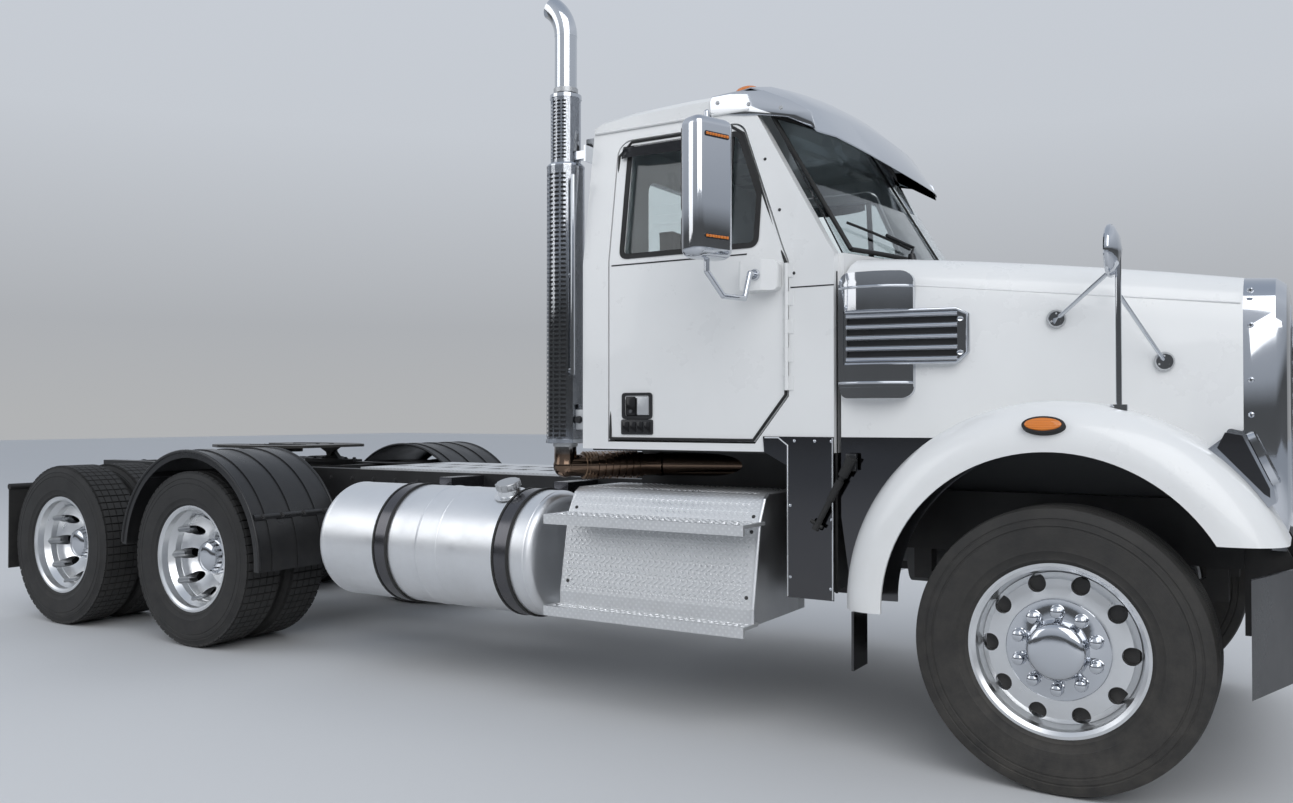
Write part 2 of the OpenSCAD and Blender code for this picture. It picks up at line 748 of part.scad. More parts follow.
// Mud flaps behind the rear drive wheels, each hung from a bar on the frame
flap_back = 640;
flap_t = 12;
flap_top_z = 900;
flap_bottom_z = 330;
flap_in_y = 610;
flap_out_y = 1200;

module mud_flaps() {
    x = drive_rear_x - flap_back;
    color("#141516") both_sides() {
        block([x - flap_t / 2, flap_in_y, flap_bottom_z], [x + flap_t / 2, flap_out_y, flap_top_z]);
        bar([x, rail_y, flap_top_z], [x, flap_out_y, flap_top_z], guard_bar_d);
    }
}

// Tail lamps: round lamps on the last cross member
lamp_d = 110;
lamp_t = 30;
lamp_shares = [0.62, 0.28];

module tail_lamps() {
    mid_z = cross_top_z - cross_h / 2;
    x = rear_x + cross_shares[0] * (rail_front_x - rear_x) - cross_w / 2;
    color("#9c1c1a") for (side = [-1, 1], share = lamp_shares)
        translate([x - lamp_t, side * share * rail_y, mid_z]) rotate([0, 90, 0])
            rotate_extrude() polygon(concat([[0, 0]], arc([lamp_d / 2 - lamp_t / 2, lamp_t / 2],
                lamp_t / 2, -90, 0),
                [[lamp_d / 2, lamp_t], [0, lamp_t]]));
}

// Deck plate on the rails behind the cab
deck_rear_gap = 640;
deck_front_gap = 330;
deck_t = 14;
deck_slots = 9;

module deck_plate() {
    rear = drive_front_x + deck_rear_gap;
    front = cab_back_x - deck_front_gap;
    pitch = (front - rear) / deck_slots;
    color("#c9cbce") difference() {
        block([rear, -rail_y, frame_top_z], [front, rail_y, frame_top_z + deck_t]);
        for (i = [0 : deck_slots - 1], side = [-1, 1]) translate([rear + (i + 0.5) * pitch,
            side * rail_y / 3, frame_top_z])
            cube([pitch / 2, rail_y / 3, 4 * deck_t], center = true);
    }
}

// Fifth wheel: a rocking plate with a ramped throat and a kingpin lock, on two pivot brackets
fifth_x = tandem_x + tandem_spacing * 0.13;
fifth_t = 18;
pivot_d = 50;
pivot_wall = 2;
pivot_z = frame_top_z + (fifth_top_z - frame_top_z) * 0.5;
pivot_bracket_t = 40;
pivot_bracket_y = rail_y - rail_flange / 2;
fifth_base_t = 16;
fifth_base_l = 520;
throat_share = 0.36;
jaw_r = 75;
fifth_ear_t = 25;

module fifth_wheel_base() {
    color("#1e1f21") both_sides() {
        block([fifth_x - fifth_base_l / 2, rail_y - rail_flange, frame_top_z],
              [fifth_x + fifth_base_l / 2, rail_y, frame_top_z + fifth_base_t]);
        side_plate(pivot_bracket_y - pivot_bracket_t / 2,
            pivot_bracket_y + pivot_bracket_t / 2) polygon(concat(
            [[fifth_x - 2 * pivot_d, frame_top_z], [fifth_x + 2 * pivot_d, frame_top_z]],
            arc([fifth_x, pivot_z], pivot_d / 2 + pivot_wall, 0, 180)));
        bar([fifth_x, pivot_bracket_y, pivot_z],
            [fifth_x, pivot_bracket_y - pivot_bracket_t / 2 - fifth_ear_t - fit_gap * 3,
                pivot_z], pivot_d / 2);
    }
}
module fifth_wheel_plate() {
    half_w = fifth_w / 2;
    half_l = fifth_l / 2;
    throat = half_w * throat_share;
    ear_y = pivot_bracket_y - pivot_bracket_t / 2 - fit_gap;
    color("#2b2c2f") difference() {
        union() {
            flat_plate(fifth_top_z - fifth_t, fifth_top_z) difference() {
                polygon(rounded([
                    [fifth_x + half_l, half_w * 0.6, jaw_r], [fifth_x + half_l * 0.45, half_w, jaw_r],
                    [fifth_x - half_l * 0.5, half_w, jaw_r], [fifth_x - half_l, half_w * 0.75, jaw_r],
                    [fifth_x - half_l, -half_w * 0.75, jaw_r], [fifth_x - half_l * 0.5, -half_w, jaw_r],
                    [fifth_x + half_l * 0.45, -half_w, jaw_r], [fifth_x + half_l, -half_w * 0.6, jaw_r]]));
                polygon([[fifth_x - half_l - overrun, throat], [fifth_x - jaw_r, lock_d * 0.6],
                         [fifth_x - jaw_r, -lock_d * 0.6], [fifth_x - half_l - overrun, -throat]]);
            }
            translate([fifth_x, 0, fifth_top_z - 3 * fifth_t]) cylinder(r = jaw_r,
                h = 3 * fifth_t - fit_gap);
            both_sides() side_plate(ear_y - fifth_ear_t, ear_y) polygon(concat(
                [[fifth_x - 3 * pivot_d, fifth_top_z - fifth_t / 2]],
                arc([fifth_x, pivot_z], pivot_d * 0.6, 180, 360),
                [[fifth_x + 3 * pivot_d, fifth_top_z - fifth_t / 2]]));
        }
        translate([fifth_x, 0, frame_top_z]) cylinder(d = lock_d, h = fifth_top_z);
        both_sides() bar([fifth_x, ear_y + overrun, pivot_z], [fifth_x, ear_y - fifth_ear_t - overrun,
            pivot_z], pivot_d / 2 + 2 * fit_gap);
    }
}

// Cab walls: upright to the belt, then leaning in to the roof
function wall_y(z, inset) = (z < belt_z ? cab_half
    : cab_half - (cab_half - roof_half) * (z - belt_z) / (roof_edge_z - belt_z)) - inset;
function wall_section(outer, inner) = [
    [wall_y(cab_floor_z, outer), cab_floor_z], [wall_y(belt_z, outer), belt_z],
    [wall_y(roof_edge_z, outer), roof_edge_z], [wall_y(roof_edge_z, inner), roof_edge_z],
    [wall_y(belt_z, inner), belt_z], [wall_y(cab_floor_z, inner), cab_floor_z]];
// Front edge of the cab at a distance from the middle, bowed forward
function nose_x(y) = hood_rear_x + cowl_sag * (1 - pow(y / cab_half, 2));
screen_set = 12;
screen_rise = 10;
screen_z = hood_rear_z + screen_rise;
function screen_x(y, z) = nose_x(y) - screen_set - screen_lean * (z - screen_z) / (roof_edge_z - screen_z);
pillar_set = 10;

// Door outline in X and Z, grown or shrunk by an inset; window outline inside it
door_bevel = 160;
door_bevel_h = 205;
door_pillar_z = 2075;
door_top_set = 1405;
door_corner_r = 70;
function door_outline(inset) = rounded([
    [hinge_x - door_bevel - inset / 2, door_bottom_z + inset, 0],
    [hinge_x - inset, door_bottom_z + door_bevel_h + inset / 2, 0],
    [hinge_x - inset, door_pillar_z, 0],
    [axle_x - door_top_set - inset, door_top_z - inset, door_corner_r - inset],
    [door_rear_x + inset, door_top_z - inset, door_corner_r - inset],
    [door_rear_x + inset, door_bottom_z + inset, 0]]);
window_front_set = 1292;
window_pillar_z = 2390;
window_low_z = 2160;
window_high_z = 2690;
window_rear_set = 2002;
window_r = 35;
function window_outline(inset) = rounded([
    [axle_x - window_front_set - inset, window_low_z + inset, window_r - inset],
    [axle_x - window_front_set - inset, window_pillar_z, 0],
    [axle_x - door_top_set - 1.5 * inset, window_high_z - inset, window_r - inset],
    [axle_x - window_rear_set + inset, window_high_z - inset, window_r - inset],
    [axle_x - window_rear_set + inset, window_low_z + inset, window_r - inset]]);

// Cab floor with sills under the doors
module cab_floor() {
    inner = cab_half - wall_t;
    color("#dfe1e2") block([cab_back_x + wall_t, -inner, cab_floor_z], [hood_rear_x - wall_t, inner,
        cab_floor_z + wall_t]);
}

// Hinge knuckles on the door's front edge, shared out between the cab and the door
hinge_d = 18;
hinge_low_z = 1510;
hinge_high_z = 2065;
hinge_count = 9;
hinge_axis_y = cab_half + hinge_d / 2 + fit_gap;
module hinge_knuckles(first) {
    pitch = (hinge_high_z - hinge_low_z) / hinge_count;
    for (i = [first : 2 : hinge_count - 1])
        translate([hinge_x, hinge_axis_y, hinge_low_z + i * pitch + fit_gap / 2]) cylinder(d = hinge_d,
            h = pitch - fit_gap);
}
hinge_leaf = 22;
hinge_leaf_t = 3;

// Cab sides: rear pillar, door header, windscreen pillar and cowl side in one frame
module cab_side() {
    top_x = screen_x(cab_half, roof_edge_z) - pillar_set + screen_set;
    difference() {
        intersection() {
            cross_plate(cab_back_x - overrun, hood_front_x) polygon(wall_section(0, wall_t));
            side_plate(0, side_reach) polygon([
                [cab_back_x, cab_floor_z], [hood_rear_x - pillar_set, cab_floor_z],
                [hood_rear_x - pillar_set, screen_z], [top_x, roof_edge_z], [cab_back_x, roof_edge_z]]);
        }
        side_plate(0, side_reach) polygon(door_outline(-door_gap));
    }
    hinge_knuckles(0);
    pitch = (hinge_high_z - hinge_low_z) / hinge_count;
    for (i = [0 : 2 : hinge_count - 1]) block([hinge_x, cab_half, hinge_low_z + i * pitch + fit_gap / 2],
        [hinge_x + door_gap + hinge_leaf, cab_half + hinge_leaf_t,
            hinge_low_z + (i + 1) * pitch - fit_gap / 2]);
}
module cab_sides() {
    color("#eceded") both_sides() cab_side();
}

// Rear wall with its window
back_window_half = 480;
back_window_low_z = 2160;
back_window_high_z = 2640;
back_window_r = 70;
module cab_rear_wall() {
    outline = [for (z = [cab_floor_z, belt_z, roof_edge_z]) [wall_y(z, wall_t), z]];
    color("#e6e7e8") difference() {
        cross_plate(cab_back_x, cab_back_x + wall_t) polygon(mirrored(outline));
        cross_plate(cab_back_x - overrun, cab_back_x + wall_t + overrun)
            polygon(box_outline([-back_window_half, back_window_low_z], [back_window_half,
                back_window_high_z], back_window_r));
    }
}

// Roof: a crowned cap whose front edge follows the windscreen
roof_edge_h = 55;
roof_stations = 16;
roof_end_share = 0.98;
function roof_top(share) = roof_edge_z + roof_edge_h
    + (roof_rise - roof_edge_h) * sqrt(cos(90 * share * roof_end_share));
function roof_ring(share) =
    let (y = roof_half * sin(90 * share), rise = roof_top(share) - roof_edge_z,
         front = screen_x(y, roof_edge_z), back = cab_back_x, l = front - back, top = roof_edge_z + rise)
    [for (p = [[back, roof_edge_z], [back, top - rise * 0.65], [back + l * 0.05, top - rise * 0.35],
               [back + l * 0.25, top - rise * 0.12], [back + l * 0.6, top], [back + l * 0.82,
                   top - rise * 0.02],
               [back + l * 0.96, top - rise * 0.25], [front, top - rise * 0.6], [front, roof_edge_z]])
        [p[0], y, p[1]]];
module roof_solid() {
    loft([for (i = [0 : roof_stations]) roof_ring(2 * i / roof_stations - 1)]);
}
module cab_roof() {
    color("#eceded") roof_solid();
}

// Cowl: fire wall and the bowed shelf under the windscreen
shelf_h = 140;
cowl_steps = 12;
module cowl() {
    inner = cab_half - wall_t;
    wall_x = hood_rear_x - pillar_set;
    bow = [for (i = [0 : cowl_steps]) let (y = inner * (2 * i / cowl_steps - 1)) [nose_x(y) - pillar_set,
        y]];
    color("#dfe1e2") {
        block([wall_x - wall_t + pillar_set, -inner, cab_floor_z], [wall_x, inner, screen_z - shelf_h / 2]);
        flat_plate(screen_z - shelf_h, screen_z)
            polygon(concat([[wall_x - wall_t, inner], [wall_x - wall_t, -inner]], bow));
    }
}

// Windscreen and rear window
screen_stations = 16;
function screen_ring(share, low, high) =
    let (low_y = (wall_y(low, wall_t) - fit_gap) * share, high_y = (wall_y(high, wall_t) - fit_gap) * share,
         low_x = screen_x(low_y, low), high_x = screen_x(high_y, high))
    [[low_x - glass_t, low_y, low], [high_x - glass_t, high_y, high], [high_x, high_y, high], [low_x,
        low_y, low]];
module cab_glass() {
    color("#20282c") {
        loft([for (i = [0 : screen_stations])
            screen_ring(2 * i / screen_stations - 1, screen_z + fit_gap, roof_edge_z - fit_gap)]);
        cross_plate(cab_back_x + wall_t / 2 - glass_t / 2, cab_back_x + wall_t / 2 + glass_t / 2)
            polygon(box_outline([fit_gap - back_window_half, back_window_low_z + fit_gap],
                                [back_window_half - fit_gap, back_window_high_z - fit_gap], back_window_r));
    }
}

// Sun visor: a bowed brim along the roof's front edge
visor_out = 270;
visor_back = 130;
visor_drop = 345;
visor_end_drop = 230;
visor_t = 6;
visor_lift = 4;
visor_stations = 14;
visor_shares = [[-1, 0], [-0.4, 0.05], [0.1, -0.1], [0.6, -0.45], [1, -1]];
visor_leg_shares = [-0.8, -0.27, 0.27, 0.8];
visor_leg_t = 4;
function visor_line(y) =
    let (edge_x = screen_x(y, roof_edge_z), top = roof_top(asin(y / roof_half) / 90) + visor_lift + visor_t,
         drop = visor_drop + (visor_end_drop - visor_drop) * pow(y / roof_half, 2))
    [for (p = visor_shares) [edge_x + p[0] * (p[0] < 0 ? visor_back : visor_out), top + p[1] * drop]];
function visor_ring(share) =
    let (y = (roof_half - visor_lift) * share, upper = visor_line(y))
    [for (p = concat([for (q = upper) q - [0, visor_t]], flip(upper))) [p[0], y, p[1]]];
module sun_visor() {
    color("#c9ccd0") {
        loft(flip([for (i = [0 : visor_stations]) visor_ring(2 * i / visor_stations - 1)]));
        for (share = visor_leg_shares) {
            y = roof_half * share;
            line = visor_line(y);
            root_x = screen_x(y, roof_edge_z) + fit_gap;
            side_plate(y - visor_leg_t / 2, y + visor_leg_t / 2) polygon([
                [root_x, roof_edge_z + visor_t], [root_x, line[2][1] - visor_t / 2],
                line[3] - [0, visor_t / 2], [line[3][0], line[3][1] - 2 * visor_t]]);
        }
    }
}

// Roof lamps: domed lenses on round bases behind the visor
roof_lamp_d = 90;
roof_lamp_h = 62;
roof_lamp_back = 290;
roof_lamp_shares = [-0.66, -0.3, 0, 0.3, 0.66];
module roof_lamps() {
    r = roof_lamp_d / 2;
    color("#d9781e") difference() {
        for (share = roof_lamp_shares) {
            y = share * roof_half;
            inner_y = max(abs(y) - r, 0);
            z = roof_top(asin(inner_y / roof_half) / 90);
            translate([screen_x(y, roof_edge_z) - roof_lamp_back, y, z]) rotate_extrude() polygon(concat(
                [[0, -overrun], [r, -overrun], [r, roof_lamp_h * 0.25]],
                arc([r * 0.1, roof_lamp_h * 0.4], r * 0.72, 0, 60), [[0, roof_lamp_h]]));
        }
        roof_solid();
    }
}

// Cab skirts: flat panels below the cowl, lapped over the cab's side
skirt_t = 6;
skirt_bottom_z = 612;
skirt_top_z = 1308;
skirt_tail = 115;
module cab_skirts() {
    front = hood_rear_x - pillar_set;
    tail_x = hinge_x - skirt_tail;
    color("#0e0f10") both_sides() side_plate(cab_half, cab_half + skirt_t) polygon([
        [front, skirt_bottom_z], [front, skirt_top_z], [tail_x, skirt_top_z],
        [tail_x + skirt_t, cab_floor_z], [hinge_x, cab_floor_z - skirt_tail / 2], [hinge_x,
            skirt_bottom_z]]);
}

// Seats: cushion and back on a pedestal
seat_half = 250;
seat_y = 450;
seat_back_set = 2060;
seat_l = 520;
seat_top = 480;
seat_back_h = 1050;
cushion_t = 140;
cushion_r = 50;
pedestal_inset = 70;
module seats() {
    floor_z = cab_floor_z + wall_t;
    back = axle_x - seat_back_set;
    lean = cushion_t * 0.6;
    color("#35373a") both_sides() {
        side_plate(seat_y - seat_half, seat_y + seat_half) polygon(rounded([
            [back + lean, floor_z + seat_top - cushion_t, cushion_r], [back + lean + seat_l,
                floor_z + seat_top - cushion_t, cushion_r],
            [back + lean + seat_l, floor_z + seat_top, cushion_r], [back + lean + cushion_t,
                floor_z + seat_top, 0],
            [back + cushion_t, floor_z + seat_back_h, cushion_r], [back, floor_z + seat_back_h,
                cushion_r]]));
        side_plate(seat_y - seat_half + pedestal_inset, seat_y + seat_half - pedestal_inset) polygon([
            [back + cushion_t, floor_z], [back + seat_l, floor_z],
            [back + seat_l, floor_z + seat_top - cushion_t], [back + cushion_t,
                floor_z + seat_top - cushion_t]]);
    }
}

// Dashboard across the cowl, with the steering column's stub
dash_l = 380;
dash_low_z = 1640;
dash_r = 60;
wheel_hub_z = 1960;
wheel_set = 1420;
wheel_tilt = 35;
column_d = 50;
column_l = 240;
module dashboard() {
    front = hood_rear_x - pillar_set - wall_t + pillar_set;
    inner = cab_half - wall_t - door_gap;
    top = screen_z - shelf_h;
    color("#2b2d30") {
        side_plate(-inner, inner) polygon(rounded([
            [front, dash_low_z, 0], [front - dash_l * 0.7, dash_low_z, dash_r],
            [front - dash_l, top - dash_r * 2, dash_r], [front - dash_l * 0.8, top, dash_r / 2], [front,
                top, 0]]));
        translate([axle_x - wheel_set, seat_y, wheel_hub_z]) rotate([0, -wheel_tilt, 0])
            translate([0, 0, -column_l]) cylinder(d = column_d, h = column_l - fit_gap);
    }
}

// Steering wheel: rim, hub and three spokes
wheel_rim_d = 450;
wheel_tube_d = 32;
module steering_wheel() {
    color("#1c1d1f") translate([axle_x - wheel_set, seat_y, wheel_hub_z]) rotate([0, -wheel_tilt, 0]) {
        rotate_extrude() translate([wheel_rim_d / 2, wheel_tube_d]) circle(d = wheel_tube_d);
        cylinder(d = column_d * 2, h = wheel_tube_d);
        for (turn = [0, 110, 250]) rotate([0, 0, turn])
            bar([column_d / 2, 0, wheel_tube_d / 2], [wheel_rim_d / 2, 0, wheel_tube_d],
                wheel_tube_d * 0.7);
    }
}

// Hood: a crowned shell with round shoulders, narrower in front
hood_gap = 10;
shoulder_lean = 12;
hood_stations = 6;
hood_low_z = 955;
function hood_half(x) = hood_rear_half
    + (hood_front_half - hood_rear_half) * (x - hood_rear_x) / (hood_front_x - hood_rear_x);
function hood_top(x) = let (s = (x - hood_rear_x) / (hood_front_x - hood_rear_x))
    hood_rear_z + (hood_front_z - hood_rear_z) * s + hood_crown / 2 * 4 * s * (1 - s);
// Half of a section, from the lower edge up and over to the middle
function hood_side(x, inset, reach) =
    let (half = hood_half(x) - inset, top = hood_top(x) - inset, r = shoulder_r - inset,
         mid = half - shoulder_lean - r)
    concat([[half, hood_low_z - reach], [half, top - 1.3 * r]], arc([mid, top - r], r, 5, 85),
           [[mid / 2, top + hood_crown * 0.75], [0, top + hood_crown]]);
module hood_solid(inset, reach) {
    l = hood_front_x - hood_rear_x + 2 * reach;
    loft([for (i = [0 : hood_stations]) let (x = hood_rear_x - reach + l * i / hood_stations)
        [for (p = mirrored_end(hood_side(x, inset, reach))) [x, p[0], p[1]]]]);
}
// Mirrors an outline whose last point lies on the middle
function mirrored_end(points) = concat(points, [for (i = [len(points) - 2 : -1 : 0]) [-points[i][0],
    points[i][1]]]);
module hood_shell() {
    rear_cut = [for (i = [0 : cowl_steps])
        let (y = cab_half * (2 * i / cowl_steps - 1)) [nose_x(y) + hood_gap, y]];
    color("#f0f1f1") difference() {
        hood_solid(0, 0);
        hood_solid(hood_t, overrun);
        flat_plate(hood_low_z - overrun, hood_rear_z + shoulder_r) polygon(concat(rear_cut,
            [[hood_rear_x - overrun, cab_half + overrun], [hood_rear_x - overrun, -cab_half - overrun]]));
        translate([arch_x, 0, arch_z]) rotate([90, 0, 0]) cylinder(r = crown_r - fender_t, h = fender_w,
            center = true, $fn = fine_steps);
        block([hood_rear_x - overrun, -fender_half, hood_low_z - overrun], [arch_x, fender_half,
            skirt_top_z]);
    }
}

// Plan of the hood and the grille's surround, which the fenders and panels close against
module hood_plan(inset) {
    polygon(mirrored_plan([[hood_rear_x - overrun, hood_half(hood_rear_x - overrun) - inset],
        [hood_front_x, hood_front_half - inset], [surround_x + overrun, hood_front_half - inset]]));
}
function mirrored_plan(points) = concat(points, [for (p = flip(points)) [p[0], -p[1]]]);

// Fenders: a rounded arch turned about the wheel opening
fender_from = 12;
fender_to = 181.6;
fender_in_y = 650;
fender_low_z = 955;
module fender() {
    edge = [crown_r - fender_edge_r, fender_half - fender_edge_r];
    inner_r = fender_edge_r - fender_t;
    profile = concat([[crown_r - fender_t, fender_in_y], [crown_r, fender_in_y]], arc(edge, fender_edge_r,
        0, 90),
        [[arch_r, fender_half], [arch_r, fender_half - fender_t]], arc(edge, inner_r, 90, 0));
    difference() {
        wheel_turn(arch_x, arch_z, fender_from, fender_to - fender_from) polygon(profile);
        flat_plate(0, hood_rear_z) hood_plan(0);
        block([axle_x, -2 * fender_half, 0], [surround_x + fender_half, 0, fender_low_z]);
    }
}
module fenders() {
    color("#f0f1f1") both_sides() fender();
}

// Grille surround: a bright frame that closes the hood's front, with the hinge lugs
surround_low_z = 930;
surround_corner_r = 60;
surround_rows = [[0, 0], [0.7, 0.004], [0.93, 0.02], [1, 0.05]];
aperture_half = 585;
aperture_low_z = 1040;
aperture_high_z = 1810;
aperture_r = 90;
lug_w = 30;
function surround_ring(row) =
    let (inset = row[1] * hood_front_w, x = hood_front_x + row[0] * surround_depth,
         half = hood_front_half - inset, top = hood_front_z - inset, r = shoulder_r,
         low = surround_low_z + inset,
         side = concat([[half - surround_corner_r, low]], arc([half - surround_corner_r,
             low + surround_corner_r], surround_corner_r, -60, 0),
             [[half, top - 1.3 * r]], arc([half - shoulder_lean - r, top - r], r, 5, 85),
             [[(half - shoulder_lean - r) / 2, top + hood_crown * 0.75]]))
    [for (p = concat(side, [[0, top + hood_crown]], [for (q = flip(side)) [-q[0], q[1]]])) [x, p[0], p[1]]];
module grille_surround() {
    lug_y = hinge_y + hinge_plate_t / 2 + hinge_pin_out / 2;
    color("#c9ccd0") difference() {
        union() {
            loft([for (row = surround_rows) surround_ring(row)]);
            both_sides() block([hood_hinge_x - hinge_pin_d, lug_y - lug_w / 2, hood_hinge_z - hinge_pin_d],
                               [hood_hinge_x + hinge_pin_d / 2 + hinge_pin_d / 4, lug_y + lug_w / 2,
                                   surround_low_z + surround_corner_r]);
        }
        cross_plate(hood_front_x - overrun, surround_x + overrun)
            polygon(box_outline([-aperture_half, aperture_low_z], [aperture_half, aperture_high_z],
                aperture_r));
        both_sides() bar([hood_hinge_x, lug_y - lug_w, hood_hinge_z], [hood_hinge_x, lug_y + lug_w,
            hood_hinge_z],
                         hinge_pin_d + 2 * fit_gap);
    }
}

// Grille: crossed bars that fill the surround's opening
grille_t = 30;
grille_rows = 9;
grille_columns = 12;
grille_bar = 16;
grille_wire = 8;
grille_rim = 25;
module grille() {
    x = hood_front_x + surround_depth * 0.45;
    low = [fit_gap - aperture_half, aperture_low_z + fit_gap];
    high = [aperture_half - fit_gap, aperture_high_z - fit_gap];
    color("#2c2e31") {
        cross_plate(x, x + grille_t) difference() {
            polygon(box_outline(low, high, aperture_r));
            polygon(box_outline(low + [grille_rim, grille_rim], high - [grille_rim, grille_rim],
                aperture_r - grille_rim));
        }
        for (i = [1 : grille_rows]) {
            z = low[1] + (high[1] - low[1]) * i / (grille_rows + 1);
            block([x, low[0] + grille_rim / 2, z - grille_bar / 2],
                [x + grille_t, high[0] - grille_rim / 2, z + grille_bar / 2]);
        }
        for (i = [1 : grille_columns]) {
            y = low[0] + (high[0] - low[0]) * i / (grille_columns + 1);
            block([x, y - grille_wire / 2, low[1] + grille_rim / 2], [x + grille_t / 2,
                y + grille_wire / 2, high[1] - grille_rim / 2]);
        }
    }
}

// Headlamps: curved pods on the fenders' fronts, with marker lamps on the fenders' crests
pod_from = 33;
pod_sweep = 20;
pod_t = 120;
pod_shares = [[0, 0.27], [0.14, 0.42], [0.8, 1], [1, 0.74]];
pod_w = 250;
pod_in_y = hood_half(arch_x + crown_r * cos(pod_from + pod_sweep)) + fit_gap;
pod_out_y = pod_in_y + pod_w;
pod_r = 14;
function pod_point(share, rise) = let (a = pod_from + share * pod_sweep)
    [arch_x, arch_z] + (crown_r + rise) * [cos(a), sin(a)];
marker_w = 120;
marker_h = 56;
marker_t = 26;
marker_turn = 91;
marker_edge_turn = 23;
module headlamps() {
    edge_y = fender_half - fender_edge_r;
    edge_r = crown_r - fender_edge_r;
    reach = fender_edge_r - fender_t / 2;
    color("#d5d8db") both_sides() {
        difference() {
            side_plate(pod_in_y, pod_out_y) polygon(concat(rounded([for (s = pod_shares)
                concat(pod_point(s[0], s[1] * pod_t), [s[0] * pod_r])]),
                [pod_point(1, -pod_t / 2), pod_point(0, -pod_t / 2)]));
            translate([arch_x, 0, arch_z]) rotate([90, 0, 0]) cylinder(r = crown_r + fit_gap, h = fender_w,
                center = true, $fn = fine_steps);
        }
        difference() {
            translate([arch_x, 0, arch_z]) rotate([0, 90 - marker_turn, 0])
                translate([0, -edge_y - reach * cos(marker_edge_turn),
                           edge_r + reach * sin(marker_edge_turn)])
                    rotate([90 - marker_edge_turn, 0, 0]) linear_extrude(marker_t)
                        polygon(box_outline([-marker_w / 2, -marker_h / 2], [marker_w / 2, marker_h / 2],
                            marker_h * 0.49));
            fender();
        }
    }
}

// Side intakes: a tall bulged cover with stepped caps and a louvred tail on each side of the hood
intake_rear_set = 900;
intake_front_set = 592;
intake_low_z = 1472;
intake_high_z = 2000;
intake_t = 62;
intake_bulge = 70;
intake_edge = 14;
intake_cap = 46;
intake_cap_set = 8;
intake_r = 45;
louvre_tip_set = 376;
louvre_low_z = 1612;
louvre_high_z = 1840;
louvre_t = 34;
louvre_taper = 45;
slot_count = 4;
slot_share = 0.52;
slot_rear_set = 862;
slot_front_set = 420;
function bulge_plan(from, to, lift) =
    let (a = [from, hood_half(from) + lift], b = [to, hood_half(to) + lift], l = norm(b - a) / 2,
         out = unit([a[1] - b[1], b[0] - a[0]]), turn = atan2(out[1], out[0]),
         r = (l * l + intake_bulge * intake_bulge) / (2 * intake_bulge), half = asin(l / r))
    concat(arc((a + b) / 2 - out * (r - intake_bulge), r, turn - half, turn + half),
        [a - [0, intake_t], b - [0, intake_t]]);
module intake_cover(rear, front) {
    intersection() {
        union() {
            flat_plate(intake_low_z, intake_high_z) polygon(bulge_plan(rear - overrun, front + overrun,
                intake_edge - intake_cap_set));
            flat_plate(intake_low_z + intake_cap, intake_high_z - intake_cap) polygon(bulge_plan(
                rear - overrun, front + overrun, intake_edge));
        }
        side_plate(0, side_reach) polygon(box_outline([rear, intake_low_z], [front, intake_high_z],
            intake_r));
    }
}
module louvre_tail(rear, tip) {
    intersection() {
        flat_plate(louvre_low_z, louvre_high_z) polygon([
            [rear, hood_half(rear) - intake_t], [tip, hood_half(tip) - intake_t],
            [tip, hood_half(tip) + louvre_t / 2], [tip - louvre_taper, hood_half(tip) + louvre_t],
            [rear, hood_half(rear) + louvre_t]]);
        side_plate(0, side_reach) polygon(rounded([
            [rear, louvre_low_z, 0], [tip - louvre_taper, louvre_low_z, louvre_taper / 2],
            [tip, louvre_low_z + louvre_taper, louvre_taper / 2],
            [tip, louvre_high_z - louvre_taper / 2, louvre_taper / 4],
            [tip - louvre_taper, louvre_high_z, louvre_taper / 2], [rear, louvre_high_z, 0]]));
    }
}
module side_intake() {
    tall_rear = axle_x - intake_rear_set;
    tall_front = axle_x - intake_front_set;
    tip = axle_x - louvre_tip_set;
    slot_rear = axle_x - slot_rear_set;
    pitch = (louvre_high_z - louvre_low_z - louvre_taper) / slot_count;
    difference() {
        union() {
            intake_cover(tall_rear, tall_front);
            louvre_tail(slot_rear + louvre_taper, tip);
        }
        flat_plate(0, roof_edge_z) hood_plan(0);
        difference() {
            block([slot_rear - louvre_taper / 4, 0, louvre_low_z], [tip + overrun, side_reach,
                louvre_high_z]);
            flat_plate(0, roof_edge_z) hood_plan(-louvre_t);
        }
        for (i = [0 : slot_count - 1]) {
            z = louvre_low_z + louvre_taper / 2 + (i + 0.5) * pitch;
            difference() {
                block([slot_rear, 0, z - pitch * slot_share / 2], [axle_x - slot_front_set, side_reach,
                    z + pitch * slot_share / 2]);
                flat_plate(0, roof_edge_z) hood_plan(-louvre_t / 4);
            }
        }
    }
}
module side_intakes() {
    color("#c9ccd0") both_sides() side_intake();
}

// Hood mirrors: a post on the fender, two stays to the hood and a round head
post_ahead = 201;
post_y = 1030;
post_d = 22;
post_top_z = 2010;
stay_d = 16;
foot_d = 62;
foot_t = 14;
head_d = 200;
head_t = 50;
